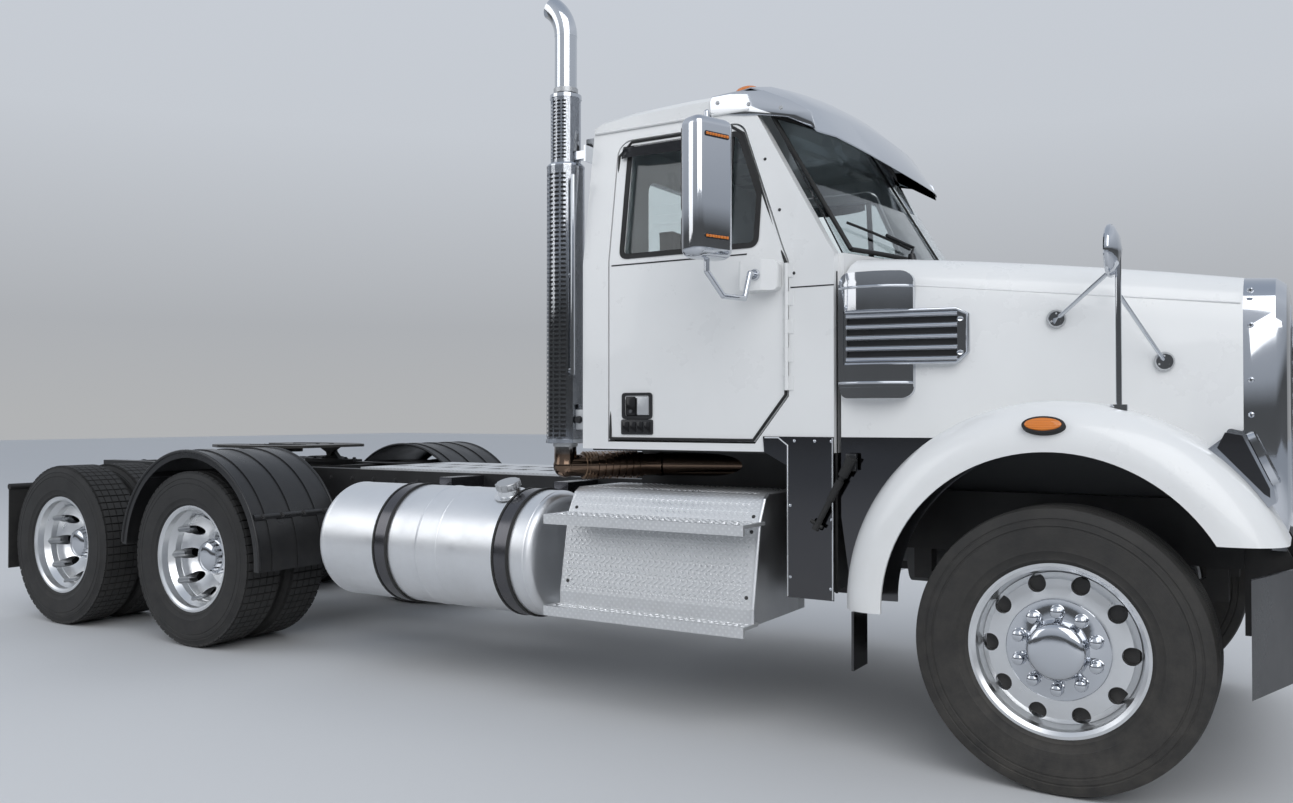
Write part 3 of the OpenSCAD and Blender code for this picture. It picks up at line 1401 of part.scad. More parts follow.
// Stay columns: height on the post, foot ahead of the axle, height of the foot
stays = [[1960, -50, 1782], [1850, 330, 1606]];
module hood_mirror() {
    x = axle_x + post_ahead;
    difference() {
        union() {
            bar([x, post_y, arch_z + crown_r / 2], [x, post_y, post_top_z], post_d);
            bar([x, post_y, arch_z + crown_r / 2], [x, post_y, arch_z + sqrt(pow(crown_r,
                2) - pow(x - arch_x, 2)) + foot_t], foot_d);
            for (stay = stays) {
                foot_x = axle_x + stay[1];
                foot_y = hood_half(foot_x);
                bar([x, post_y, stay[0]], [foot_x, foot_y, stay[2]], stay_d);
                bar([foot_x, foot_y - foot_t, stay[2]], [foot_x, foot_y + foot_t, stay[2]], foot_d);
            }
            translate([x, post_y, post_top_z]) rotate([0, 90, 0]) rotate_extrude() polygon(concat(
                [[0, -head_t * 0.7], [head_d * 0.47, -head_t * 0.6], [head_d / 2, -head_t * 0.5]],
                [[head_d * 0.44, -head_t * 0.2], [head_d * 0.28, head_t * 0.1], [0, head_t * 0.3]]));
        }
        translate([arch_x, 0, arch_z]) rotate([-90, 0, 0]) cylinder(r = crown_r + fit_gap, h = fender_w,
            $fn = fine_steps);
        flat_plate(0, roof_edge_z) hood_plan(-fit_gap);
    }
}
module hood_mirrors() {
    color("#c9ccd0") both_sides() hood_mirror();
}

// Splash panels behind the wheel, inside the hood's side, with a flap under the fender's tail
panel_t = 8;
panel_low_z = 622;
panel_lean = 45;
panel_lap = 25;
panel_gap = 20;
rubber_t = 10;
rubber_seat_share = 0.28;
rubber_h = 240;
rubber_in = 170;
module splash_panels() {
    rear = hood_rear_x + hood_gap;
    tail_z = arch_z + (crown_r - fender_edge_r) * sin(fender_to);
    tail_x = arch_x - crown_r + fender_t + fender_edge_r / 3;
    color("#101112") both_sides() {
        difference() {
            intersection() {
                flat_plate(panel_low_z, skirt_top_z + panel_lap) difference() {
                    hood_plan(hood_t);
                    hood_plan(hood_t + panel_t);
                }
                side_plate(0, side_reach) polygon([
                    [rear + panel_lean, panel_low_z], [arch_x, panel_low_z], [arch_x,
                        skirt_top_z + panel_lap],
                    [rear, skirt_top_z + panel_lap], [rear, arch_z + (skirt_top_z - arch_z) / 2]]);
            }
            translate([arch_x, 0, arch_z]) rotate([90, 0, 0]) cylinder(r = arch_r + panel_gap,
                h = fender_w, center = true, $fn = fine_steps);
            translate([axle_x, 0, axle_z]) rotate([90, 0, 0]) cylinder(r = arch_r + panel_gap,
                h = fender_w, center = true, $fn = fine_steps);
        }
        side_plate(fender_half - rubber_in, fender_half - fender_t) polygon([
            [tail_x, tail_z - rubber_h], [tail_x + rubber_t, tail_z - rubber_h],
            [tail_x + rubber_t, tail_z - rubber_t * rubber_seat_share],
            [tail_x, tail_z - rubber_t * rubber_seat_share]]);
    }
}

// Doors: flush skins with a window, a recessed handle plate and a mirror bracket
handle_w = 130;
handle_h = 125;
handle_rear_gap = 90;
handle_low_gap = 75;
handle_depth = 14;
bracket_l = 175;
bracket_z = 1945;
bracket_h = 135;
bracket_out = 90;
bracket_gap = 25;
module door() {
    pitch = (hinge_high_z - hinge_low_z) / hinge_count;
    handle = [door_rear_x + handle_rear_gap, door_bottom_z + handle_low_gap];
    difference() {
        intersection() {
            cross_plate(cab_back_x, hood_rear_x) polygon(wall_section(0, wall_t));
            side_plate(0, side_reach) polygon(door_outline(0));
        }
        side_plate(0, side_reach) polygon(window_outline(0));
        side_plate(cab_half - handle_depth, side_reach)
            polygon(box_outline(handle, handle + [handle_w, handle_h], handle_depth));
    }
    hinge_knuckles(1);
    for (i = [1 : 2 : hinge_count - 1]) block([hinge_x - hinge_leaf, cab_half,
        hinge_low_z + i * pitch + fit_gap / 2],
        [hinge_x, cab_half + hinge_leaf_t, hinge_low_z + (i + 1) * pitch - fit_gap / 2]);
    intersection() {
        side_plate(cab_half, cab_half + bracket_out)
            polygon(box_outline([hinge_x - bracket_gap - bracket_l, bracket_z], [hinge_x - bracket_gap,
                bracket_z + bracket_h], bracket_gap));
        flat_plate(bracket_z, bracket_z + bracket_h) polygon(rounded([
            [hinge_x - bracket_gap - bracket_l, cab_half, 0], [hinge_x - bracket_gap, cab_half, 0],
            [hinge_x - bracket_gap, cab_half + bracket_out / 2, bracket_gap],
            [hinge_x - bracket_gap - bracket_l / 3, cab_half + bracket_out, bracket_gap],
            [hinge_x - bracket_gap - bracket_l, cab_half + bracket_out, bracket_gap]]));
    }
}
module door_left() {
    color("#eceded") door();
}
module door_right() {
    color("#eceded") mirror([0, 1, 0]) door();
}
module door_glass() {
    color("#20282c") intersection() {
        cross_plate(cab_back_x, hood_rear_x) polygon(wall_section(wall_t / 2 - glass_t / 2,
            wall_t / 2 + glass_t / 2));
        side_plate(0, side_reach) polygon(window_outline(fit_gap));
    }
}
module door_glass_left() {
    door_glass();
}
module door_glass_right() {
    mirror([0, 1, 0]) door_glass();
}

// Door mirrors: a tall rounded head on a bent tube from the door's bracket to its upper frame
mirror_set = 1335;
mirror_r = 50;
arm_low_z = 1900;
arm_end_z = 2712;
arm_end_set = 1500;
module door_mirror() {
    x = axle_x - mirror_set;
    y = mirror_out_y - mirror_w / 2;
    bracket_face = cab_half + bracket_out + fit_gap;
    color("#c9ccd0") {
        intersection() {
            flat_plate(mirror_z, mirror_z + mirror_h) polygon(rounded([
                [x - mirror_d / 2, mirror_out_y - mirror_w, mirror_r / 4], [x + mirror_d / 2,
                    mirror_out_y - mirror_w, mirror_r],
                [x + mirror_d / 2, mirror_out_y, mirror_r], [x - mirror_d / 2, mirror_out_y,
                    mirror_r / 4]]));
            cross_plate(x - mirror_d, x + mirror_d) polygon(box_outline([mirror_out_y - mirror_w,
                mirror_z], [mirror_out_y, mirror_z + mirror_h], mirror_r));
            side_plate(0, mirror_out_y) polygon(rounded([
                [x - mirror_d / 2, mirror_z, mirror_r / 4], [x + mirror_d / 2, mirror_z, mirror_r],
                [x + mirror_d / 2, mirror_z + mirror_h, mirror_r], [x - mirror_d / 2, mirror_z + mirror_h,
                    mirror_r / 4]]));
        }
        tube([[x, y, mirror_z + mirror_r], [x, y, mirror_z - mirror_r], [x + mirror_r, y - mirror_r,
            arm_low_z],
              [hinge_x - bracket_gap - bracket_l / 2, bracket_face + 2 * mirror_r, arm_low_z],
              [hinge_x - bracket_gap - bracket_l / 2, bracket_face + mirror_r, bracket_z + bracket_h / 2],
              [hinge_x - bracket_gap - bracket_l / 2, bracket_face,
                  bracket_z + bracket_h / 2]], arm_d);
        difference() {
            tube([[x, y, mirror_z + mirror_h - mirror_r], [x, y, mirror_z + mirror_h + mirror_r / 2],
                  [axle_x - arm_end_set, wall_y(arm_end_z, -mirror_r), arm_end_z], [axle_x - arm_end_set,
                      wall_y(arm_end_z, mirror_r), arm_end_z]], arm_d);
            cross_plate(cab_back_x, hood_rear_x) polygon(concat(
                [for (z = [cab_floor_z, belt_z, roof_edge_z]) [wall_y(z, -fit_gap), z]], [[0, roof_edge_z],
                    [0, cab_floor_z]]));
        }
    }
}
module mirror_left() {
    door_mirror();
}
module mirror_right() {
    mirror([0, 1, 0]) door_mirror();
}

// Steering knuckles: a yoke round the axle's boss, kingpin, stub axle, steering arm and back plate
yoke_t = 34;
yoke_gap = 3;
yoke_w = 100;
yoke_out = 62;
web_t = 26;
stub_d = 70;
eye_d = 60;
ball_d = 24;
plate_d = 384;
plate_t = 6;
module knuckle() {
    top = boss_h / 2 + yoke_gap;
    web_y = kingpin_y + yoke_out;
    color("#232426") difference() {
        union() {
            translate([axle_x, kingpin_y, axle_z - top - yoke_t]) cylinder(d = kingpin_d,
                h = 2 * (top + yoke_t));
            for (z = [axle_z - top - yoke_t, axle_z + top]) {
                translate([axle_x, kingpin_y, z]) cylinder(d = yoke_w, h = yoke_t);
                block([axle_x - yoke_w / 2, kingpin_y, z], [axle_x + yoke_w / 2, web_y + web_t,
                    z + yoke_t]);
            }
            block([axle_x - yoke_w / 2, web_y, axle_z - top - yoke_t], [axle_x + yoke_w / 2, web_y + web_t,
                axle_z + top + yoke_t]);
            bar([axle_x, web_y, axle_z], [axle_x, steer_tyre_y + steer_hub_out - web_t, axle_z], stub_d);
            bar([axle_x, web_y + web_t - plate_t, axle_z], [axle_x, web_y + web_t, axle_z], plate_d);
            block([axle_x - steer_arm, kingpin_y - eye_d / 3, axle_z - top - yoke_t], [axle_x,
                kingpin_y + eye_d / 3, axle_z - top]);
            translate([axle_x - steer_arm, kingpin_y, axle_z - top - yoke_t]) cylinder(d = eye_d,
                h = yoke_t);
        }
        translate([axle_x - steer_arm, kingpin_y, axle_z - 2 * boss_h]) cylinder(d = ball_d + 2 * fit_gap,
            h = 2 * boss_h);
    }
}
module knuckle_left() {
    knuckle();
}
module knuckle_right() {
    mirror([0, 1, 0]) knuckle();
}

// Tie rod between the steering arms, with a pin up into each eye
rod_d = 44;
rod_end_d = 56;
module tie_rod() {
    arm_bottom = axle_z - boss_h / 2 - yoke_gap - yoke_t;
    rod_z = arm_bottom - fit_gap - rod_end_d / 2;
    color("#232426") {
        bar([axle_x - steer_arm, -kingpin_y, rod_z], [axle_x - steer_arm, kingpin_y, rod_z], rod_d);
        both_sides() {
            translate([axle_x - steer_arm, kingpin_y, rod_z - rod_end_d / 2]) cylinder(d = rod_end_d,
                h = rod_end_d);
            translate([axle_x - steer_arm, kingpin_y, rod_z]) cylinder(d = ball_d,
                h = rod_end_d / 2 + yoke_t);
        }
    }
}

// Wheels: outlines of [radius, distance outboard from the wheel's middle]
rim_t = 11;
seat_in = 14;
drop = 24;
bead_taper = 6;
function rim_outline(mid) =
    let (r = rim_d / 2, h = rim_w / 2, s = r - seat_in, w = s - drop)
    concat(
        [for (p = [[r, h], [r, h - rim_t], [s, h - rim_t - bead_taper], [s, h * 0.5], [w, h * 0.25], [w,
            -h * 0.25], [s, -h * 0.5],
                   [s, -h + rim_t + bead_taper], [r, -h + rim_t], [r, -h]]) p + [0, mid]],
        [for (p = [[r - rim_t, -h], [s - rim_t, -h + rim_t], [s - rim_t, -h * 0.5 - rim_t / 2], [w - rim_t,
            -h * 0.25],
                   [w - rim_t, h * 0.25], [s - rim_t, h * 0.5 + rim_t / 2], [s - rim_t,
                       h - rim_t], [r - rim_t, h]]) p + [0, mid]]);
barrel_r = rim_d / 2 - seat_in - drop - rim_t / 2;
disc_t = 22;
drum_d = 430;
drum_t = 16;
hub_d = 190;
nut_d = 42;
nut_h = 40;
cap_d = 170;
cap_h = 62;
steer_hub_out = 95;
steer_face = 78;
steer_drum_l = 100;

module nut_ring(face) {
    for (i = [0 : stud_count - 1]) rotate([0, 0, 360 * (i + 0.5) / stud_count])
        translate([stud_pcd / 2, 0, face - overrun / 4]) cylinder(d1 = nut_d, d2 = nut_d * 0.75, h = nut_h);
}
module hand_holes(low, high) {
    for (i = [0 : stud_count - 1]) rotate([0, 0, 360 * i / stud_count])
        translate([hand_hole_pcd / 2, 0, low]) cylinder(d = hand_hole_d, h = high - low);
}
// Steer wheel on its own axis, outboard along +Z
module steer_wheel() {
    bore = stub_d / 2 + fit_gap;
    back = steer_face - disc_t;
    color("#c6c9cc") difference() {
        union() {
            rotate_extrude() polygon(rim_outline(0));
            rotate_extrude() polygon([[bore, back - hub_out / 2], [hub_d / 2, back - hub_out / 2],
                [hub_d / 2, back],
                [barrel_r * 0.9, back - rim_t / 2], [barrel_r + rim_t / 4, back - disc_t * 1.5],
                [barrel_r + rim_t / 4, back - disc_t * 0.4], [barrel_r * 0.93, steer_face - rim_t / 2],
                [barrel_r * 0.8, steer_face], [bore, steer_face]]);
            rotate_extrude() polygon([[drum_d / 2 - drum_t, back - rim_t], [drum_d / 2, back - rim_t],
                [drum_d / 2, back - steer_drum_l],
                [drum_d / 2 - drum_t, back - steer_drum_l]]);
            rotate_extrude() polygon([[hub_d / 2 - drum_t, back - rim_t - drum_t], [drum_d / 2 - rim_t,
                back - rim_t - drum_t],
                [drum_d / 2 - rim_t, back], [hub_d / 2 - drum_t, back]]);
            rotate_extrude() polygon(concat([[bore, steer_face - rim_t], [stud_pcd / 2 + nut_d,
                steer_face - rim_t],
                [stud_pcd / 2 + nut_d, steer_face + rim_t], [cap_d / 2 + rim_t, steer_face + rim_t * 1.5]],
                arc([cap_d / 2 - rim_t, steer_face + cap_h - rim_t], rim_t, 10, 80),
                [[0, steer_face + cap_h + rim_t / 2], [0, steer_hub_out - rim_t], [bore,
                    steer_hub_out - rim_t]]));
            nut_ring(steer_face + rim_t);
        }
        hand_holes(0, steer_face * 2);
    }
}
// Twin drive wheels back to back, outboard along +Z, measured from between them
flange_d = 200;
flange_l = 120;
module drive_wheel() {
    bore = spindle_d / 2 + fit_gap;
    lean = dual_spacing / 2 - rim_t;
    color("#c6c9cc") difference() {
        union() {
            for (mid = [-dual_spacing / 2, dual_spacing / 2]) rotate_extrude() polygon(rim_outline(mid));
            for (side = [0, 1]) mirror([0, 0, side]) rotate_extrude() polygon([[bore, 0], [bore, disc_t],
                [hand_hole_pcd / 2 - hand_hole_d * 0.8, disc_t],
                [barrel_r * 0.93, lean * 0.7], [barrel_r * 0.97, lean], [barrel_r + rim_t / 4,
                    lean], [barrel_r + rim_t / 4, lean * 0.45],
                [hand_hole_pcd / 2 - hand_hole_d * 0.5, 0]]);
            rotate_extrude() polygon([[bore, -hub_in + seat_h], [hub_d / 2, -hub_in + seat_h], [hub_d / 2,
                0], [bore, 0]]);
            rotate_extrude() polygon([[drum_d / 2 - drum_t, -disc_t], [drum_d / 2, -disc_t], [drum_d / 2,
                -hub_in], [drum_d / 2 - drum_t, -hub_in]]);
            rotate_extrude() polygon([[hub_d / 2 - drum_t, -disc_t - drum_t], [drum_d / 2 - rim_t,
                -disc_t - drum_t],
                [drum_d / 2 - rim_t, -disc_t / 2], [hub_d / 2 - drum_t, -disc_t / 2]]);
            rotate_extrude() polygon(concat([[bore, 0], [flange_d / 2, 0], [flange_d / 2,
                disc_t + flange_l / 2], [cap_d / 2, disc_t + flange_l * 0.55]],
                arc([cap_d / 2 - 2 * rim_t, disc_t + flange_l], 2 * rim_t, 0, 80), [[0,
                    disc_t + flange_l + 2.4 * rim_t],
                [0, hub_out / 2 + rim_t], [bore, hub_out / 2 + rim_t]]));
            nut_ring(disc_t);
        }
        hand_holes(-dual_spacing, dual_spacing);
    }
}
// Tyre on its own axis: tread with grooves, round shoulders and bulged walls
groove_w = 12;
groove_deep = 14;
groove_shares = [-0.3, -0.1, 0.1, 0.3];
tread_share = 0.4;
module tyre(mid) {
    r = tyre_d / 2;
    h = tyre_w / 2;
    bead = rim_d / 2 + fit_gap;
    seat = bead - seat_in;
    low = rim_w / 2 - rim_t - fit_gap;
    right = concat([[seat, low - bead_taper], [bead, low], [bead, low + rim_t], [bead + tyre_w * 0.12,
        h * 0.95], [bead + tyre_w * 0.3, h]],
        [for (a = arc([0, 0], tyre_w * 0.12, 0, 80, 5)) [r - tyre_w * 0.14 + a[1],
            h - tyre_w * 0.13 + a[0]]]);
    color("#1b1b1c") difference() {
        rotate_extrude() polygon([for (p = concat([for (q = right) q], [for (q = flip(right)) [q[0],
            -q[1]]])) p + [0, mid]]);
        for (share = groove_shares) translate([0, 0, mid + share * tyre_w - groove_w / 2]) rotate_extrude()
            translate([r - groove_deep, 0]) square([groove_deep + overrun, groove_w]);
    }
}
module on_axle(x, y, side) {
    translate([x, side * y, axle_z]) rotate([side < 0 ? 90 : -90, 0, 0]) children();
}
module drive_tyres() {
    for (mid = [-dual_spacing / 2, dual_spacing / 2]) tyre(mid);
}
module steer_wheel_right() {
    on_axle(axle_x, steer_tyre_y, -1) steer_wheel();
}
module steer_wheel_left() {
    on_axle(axle_x, steer_tyre_y, 1) steer_wheel();
}
module steer_tyre_right() {
    on_axle(axle_x, steer_tyre_y, -1) tyre(0);
}
module steer_tyre_left() {
    on_axle(axle_x, steer_tyre_y, 1) tyre(0);
}
module drive_wheel_front_right() {
    on_axle(drive_front_x, drive_mid_y, -1) drive_wheel();
}
module drive_wheel_front_left() {
    on_axle(drive_front_x, drive_mid_y, 1) drive_wheel();
}
module drive_wheel_rear_right() {
    on_axle(drive_rear_x, drive_mid_y, -1) drive_wheel();
}
module drive_wheel_rear_left() {
    on_axle(drive_rear_x, drive_mid_y, 1) drive_wheel();
}
module drive_tyre_front_right() {
    on_axle(drive_front_x, drive_mid_y, -1) drive_tyres();
}
module drive_tyre_front_left() {
    on_axle(drive_front_x, drive_mid_y, 1) drive_tyres();
}
module drive_tyre_rear_right() {
    on_axle(drive_rear_x, drive_mid_y, -1) drive_tyres();
}
module drive_tyre_rear_left() {
    on_axle(drive_rear_x, drive_mid_y, 1) drive_tyres();
}

frame_rails();
cross_members();
bumper();
front_axle();
drive_axles();
suspension();
powertrain();
radiator();
fuel_tanks();
tank_straps();
step_boxes();
exhaust_stack();
heat_shield();
rear_fenders();
mud_flaps();
tail_lamps();
deck_plate();
fifth_wheel_base();
fifth_wheel_plate();
cab_floor();
cab_sides();
cab_rear_wall();
cab_roof();
cowl();
cab_glass();
sun_visor();
roof_lamps();
cab_skirts();
seats();
dashboard();
steering_wheel();
hood_shell();
fenders();
grille_surround();
grille();
headlamps();
side_intakes();
hood_mirrors();
splash_panels();
door_right();
door_left();
door_glass_right();
door_glass_left();
mirror_right();
mirror_left();
knuckle_right();
knuckle_left();
tie_rod();
steer_wheel_right();
steer_wheel_left();
steer_tyre_right();
steer_tyre_left();
drive_wheel_front_right();
drive_wheel_front_left();
drive_wheel_rear_right();
drive_wheel_rear_left();
drive_tyre_front_right();
drive_tyre_front_left();
drive_tyre_rear_right();
drive_tyre_rear_left();
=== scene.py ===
"""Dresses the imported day-cab tractor unit: a finish on every solid, and the fittings that the solids leave out."""

from __future__ import annotations

import logging
from dataclasses import dataclass, field
from enum import Enum
from math import atan2, cos, degrees, pi, radians, sin, tau
from typing import Any, Iterable, Sequence

import bmesh
import bpy
from mathutils import Matrix, Vector

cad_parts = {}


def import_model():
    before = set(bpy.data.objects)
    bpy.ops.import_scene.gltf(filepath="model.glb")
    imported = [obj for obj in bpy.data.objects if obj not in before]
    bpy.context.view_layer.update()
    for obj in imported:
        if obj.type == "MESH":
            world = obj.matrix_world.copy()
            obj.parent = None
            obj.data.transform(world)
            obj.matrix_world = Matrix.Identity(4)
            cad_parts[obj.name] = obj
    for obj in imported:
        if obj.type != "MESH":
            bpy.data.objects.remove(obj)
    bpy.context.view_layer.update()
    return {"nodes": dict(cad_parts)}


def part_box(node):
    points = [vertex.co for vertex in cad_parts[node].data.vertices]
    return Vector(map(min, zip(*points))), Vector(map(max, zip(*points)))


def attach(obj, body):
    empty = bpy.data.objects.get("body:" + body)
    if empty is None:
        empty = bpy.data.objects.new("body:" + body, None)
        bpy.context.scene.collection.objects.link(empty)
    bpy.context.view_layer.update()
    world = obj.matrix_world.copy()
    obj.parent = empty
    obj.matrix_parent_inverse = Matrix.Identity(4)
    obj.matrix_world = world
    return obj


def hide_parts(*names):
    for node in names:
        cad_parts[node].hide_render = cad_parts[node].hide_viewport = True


LOG = logging.getLogger("tractor_unit")
Colour = tuple[float, float, float]
Point = tuple[float, float, float]
Flat = tuple[float, float]

AXLE_X = 3.17
AXLE_Z = 0.5325
STEER_Y = 1.03
DRIVE_X = {"front": -1.8125, "rear": -3.1955}
DRIVE_Y = 0.915
SIDES = {"right": -1.0, "left": 1.0}
SIGNS = tuple(SIDES.values())
AHEAD = (1.0, 0, 0)
BACK = (-1.0, 0, 0)
UP = (0, 0, 1.0)


class Pattern(Enum):
    """The surface pattern that a finish carries besides its plain grain."""

    PLAIN = "plain"
    TREAD_PLATE = "tread plate"
    BRUSHED = "brushed along the truck"
    RINGS = "rings about an axle"
    FINS = "upright fins"
    WEAVE = "woven cloth"
    FACETS = "moulded lens"


@dataclass(frozen=True)
class Net:
    """A node tree, with short ways to add to it."""

    tree: bpy.types.NodeTree

    def add(self, kind: str, sockets: dict[Any, Any] | None = None, **settings: Any) -> bpy.types.Node:
        """Adds a node and fills its sockets.

        Args:
            kind: Blender's name for the node, less ShaderNode.
            sockets: input name or number to a value, or to an output socket that is linked to it.
            settings: the node's own properties.

        Returns:
            The new node.
        """
        made = self.tree.nodes.new(kind if "Node" in kind else f"ShaderNode{kind}")
        for key, value in settings.items():
            setattr(made, key, value)
        self.fill(made, sockets or {})
        return made

    def fill(self, node: bpy.types.Node, sockets: dict[Any, Any]) -> None:
        """Sets a node's inputs, and links those for which an output socket is given."""
        for key, value in sockets.items():
            if isinstance(value, bpy.types.NodeSocket):
                self.tree.links.new(value, node.inputs[key])
            else:
                node.inputs[key].default_value = value

    def math(self, operation: str, *values: Any, clamp: bool = False) -> bpy.types.NodeSocket:
        """Adds a Math node and returns its result."""
        return self.add("Math", dict(enumerate(values)), operation=operation, use_clamp=clamp).outputs[0]

    def place(self) -> bpy.types.NodeSocket:
        """Gives a point's own place on the object."""
        return self.add("TexCoord").outputs["Object"]


class SurfaceGroups:
    """The effects that several finishes share, each a shader node group that is built once."""

    def __init__(self) -> None:
        """Builds the groups."""
        self.weather = self._weather()
        self.tread_plate = self._tread_plate()
        self.rings = self._rings()

    @staticmethod
    def _group(name: str, inputs: dict[str, float], outputs: Sequence[str]) -> tuple[Any, Any, Any]:
        """Makes an empty group with value inputs and outputs, and gives it with its input and output nodes."""
        tree = bpy.data.node_groups.new(name, "ShaderNodeTree")
        for key, value in inputs.items():
            socket = tree.interface.new_socket(name=key, in_out="INPUT", socket_type="NodeSocketFloat")
            socket.default_value = value
        for key in outputs:
            tree.interface.new_socket(name=key, in_out="OUTPUT", socket_type="NodeSocketFloat")
        return Net(tree), tree.nodes.new("NodeGroupInput"), tree.nodes.new("NodeGroupOutput")

    def _weather(self) -> bpy.types.NodeTree:
        """Gives the group for fine grain, broad smears and road dust that gathers low down."""
        net, given, out = self._group("weather", {"Grain Scale": 400.0, "Dust Height": 1.2, "Dust": 0.3},
                ("Grain", "Smear", "Dust"))
        place = net.place()
        grain = net.add("TexNoise", {"Vector": place, "Scale": given.outputs["Grain Scale"], "Detail": 3.0})
        smear = net.add("TexNoise", {"Vector": place, "Scale": 3.1, "Detail": 6.0, "Roughness": 0.62})
        patch = net.add("TexNoise", {"Vector": place, "Scale": 9.0, "Detail": 8.0, "Roughness": 0.7})
        height = net.add("SeparateXYZ", {0: place}).outputs["Z"]
        fall = net.math("SUBTRACT", 1.0, net.math("DIVIDE", height, given.outputs["Dust Height"]), clamp=True)
        spots = net.math("MULTIPLY", net.math("SUBTRACT", patch.outputs[0], 0.28), 2.4, clamp=True)
        dust = net.math("MULTIPLY", net.math("MULTIPLY", fall, spots), given.outputs["Dust"], clamp=True)
        net.fill(out, {"Grain": grain.outputs[0], "Smear": smear.outputs[0], "Dust": dust})
        return net.tree

    def _tread_plate(self) -> bpy.types.NodeTree:
        """Gives the group for raised bars that lie crosswise by turns, on flat and upright faces alike."""
        net, given, out = self._group("tread_plate", {"Pitch": 0.03}, ("Height",))
        place = net.add("SeparateXYZ", {0: net.place()})
        across = net.math("SUBTRACT", net.math("ABSOLUTE", place.outputs["Y"]), place.outputs["Z"])
        first = net.math("DIVIDE", net.math("ADD", place.outputs["X"], across), given.outputs["Pitch"])
        second = net.math("DIVIDE", net.math("SUBTRACT", place.outputs["X"], across), given.outputs["Pitch"])
        heights = []
        for along, over, shift in ((first, second, 0), (second, first, 0.5)):
            run = net.math("PINGPONG", net.math("ADD", along, shift), 0.5)
            gap = net.math("PINGPONG", net.math("ADD", over, shift), 0.5)
            bar = net.math("SUBTRACT", 1.0, net.math("MULTIPLY", net.math("SUBTRACT", run, 0.04), 9.0), clamp=True)
            end = net.math("MULTIPLY", net.math("SUBTRACT", gap, 0.16), 8.0, clamp=True)
            heights.append(net.math("MULTIPLY", bar, end))
        net.fill(out, {"Height": net.math("MAXIMUM", *heights)})
        return net.tree

    def _rings(self) -> bpy.types.NodeTree:
        """Gives the group for fine rings about an axle that lies along Y."""
        net, given, out = self._group("axle_rings", {"Axle X": 0.0, "Axle Z": AXLE_Z, "Scale": 300.0},
                ("Ring", "Radius"))
        place = net.add("SeparateXYZ", {0: net.place()})
        off_x = net.math("SUBTRACT", place.outputs["X"], given.outputs["Axle X"])
        off_z = net.math("SUBTRACT", place.outputs["Z"], given.outputs["Axle Z"])
        far = net.math("SQRT", net.math("ADD", net.math("POWER", off_x, 2.0), net.math("POWER", off_z, 2.0)))
        spot = net.add("CombineXYZ", {"X": far, "Y": net.math("MULTIPLY", place.outputs["Y"], 0.4)})
        noise = net.add("TexNoise", {"Vector": spot.outputs[0], "Scale": given.outputs["Scale"], "Detail": 2.0})
        net.fill(out, {"Ring": noise.outputs[0], "Radius": far})
        return net.tree


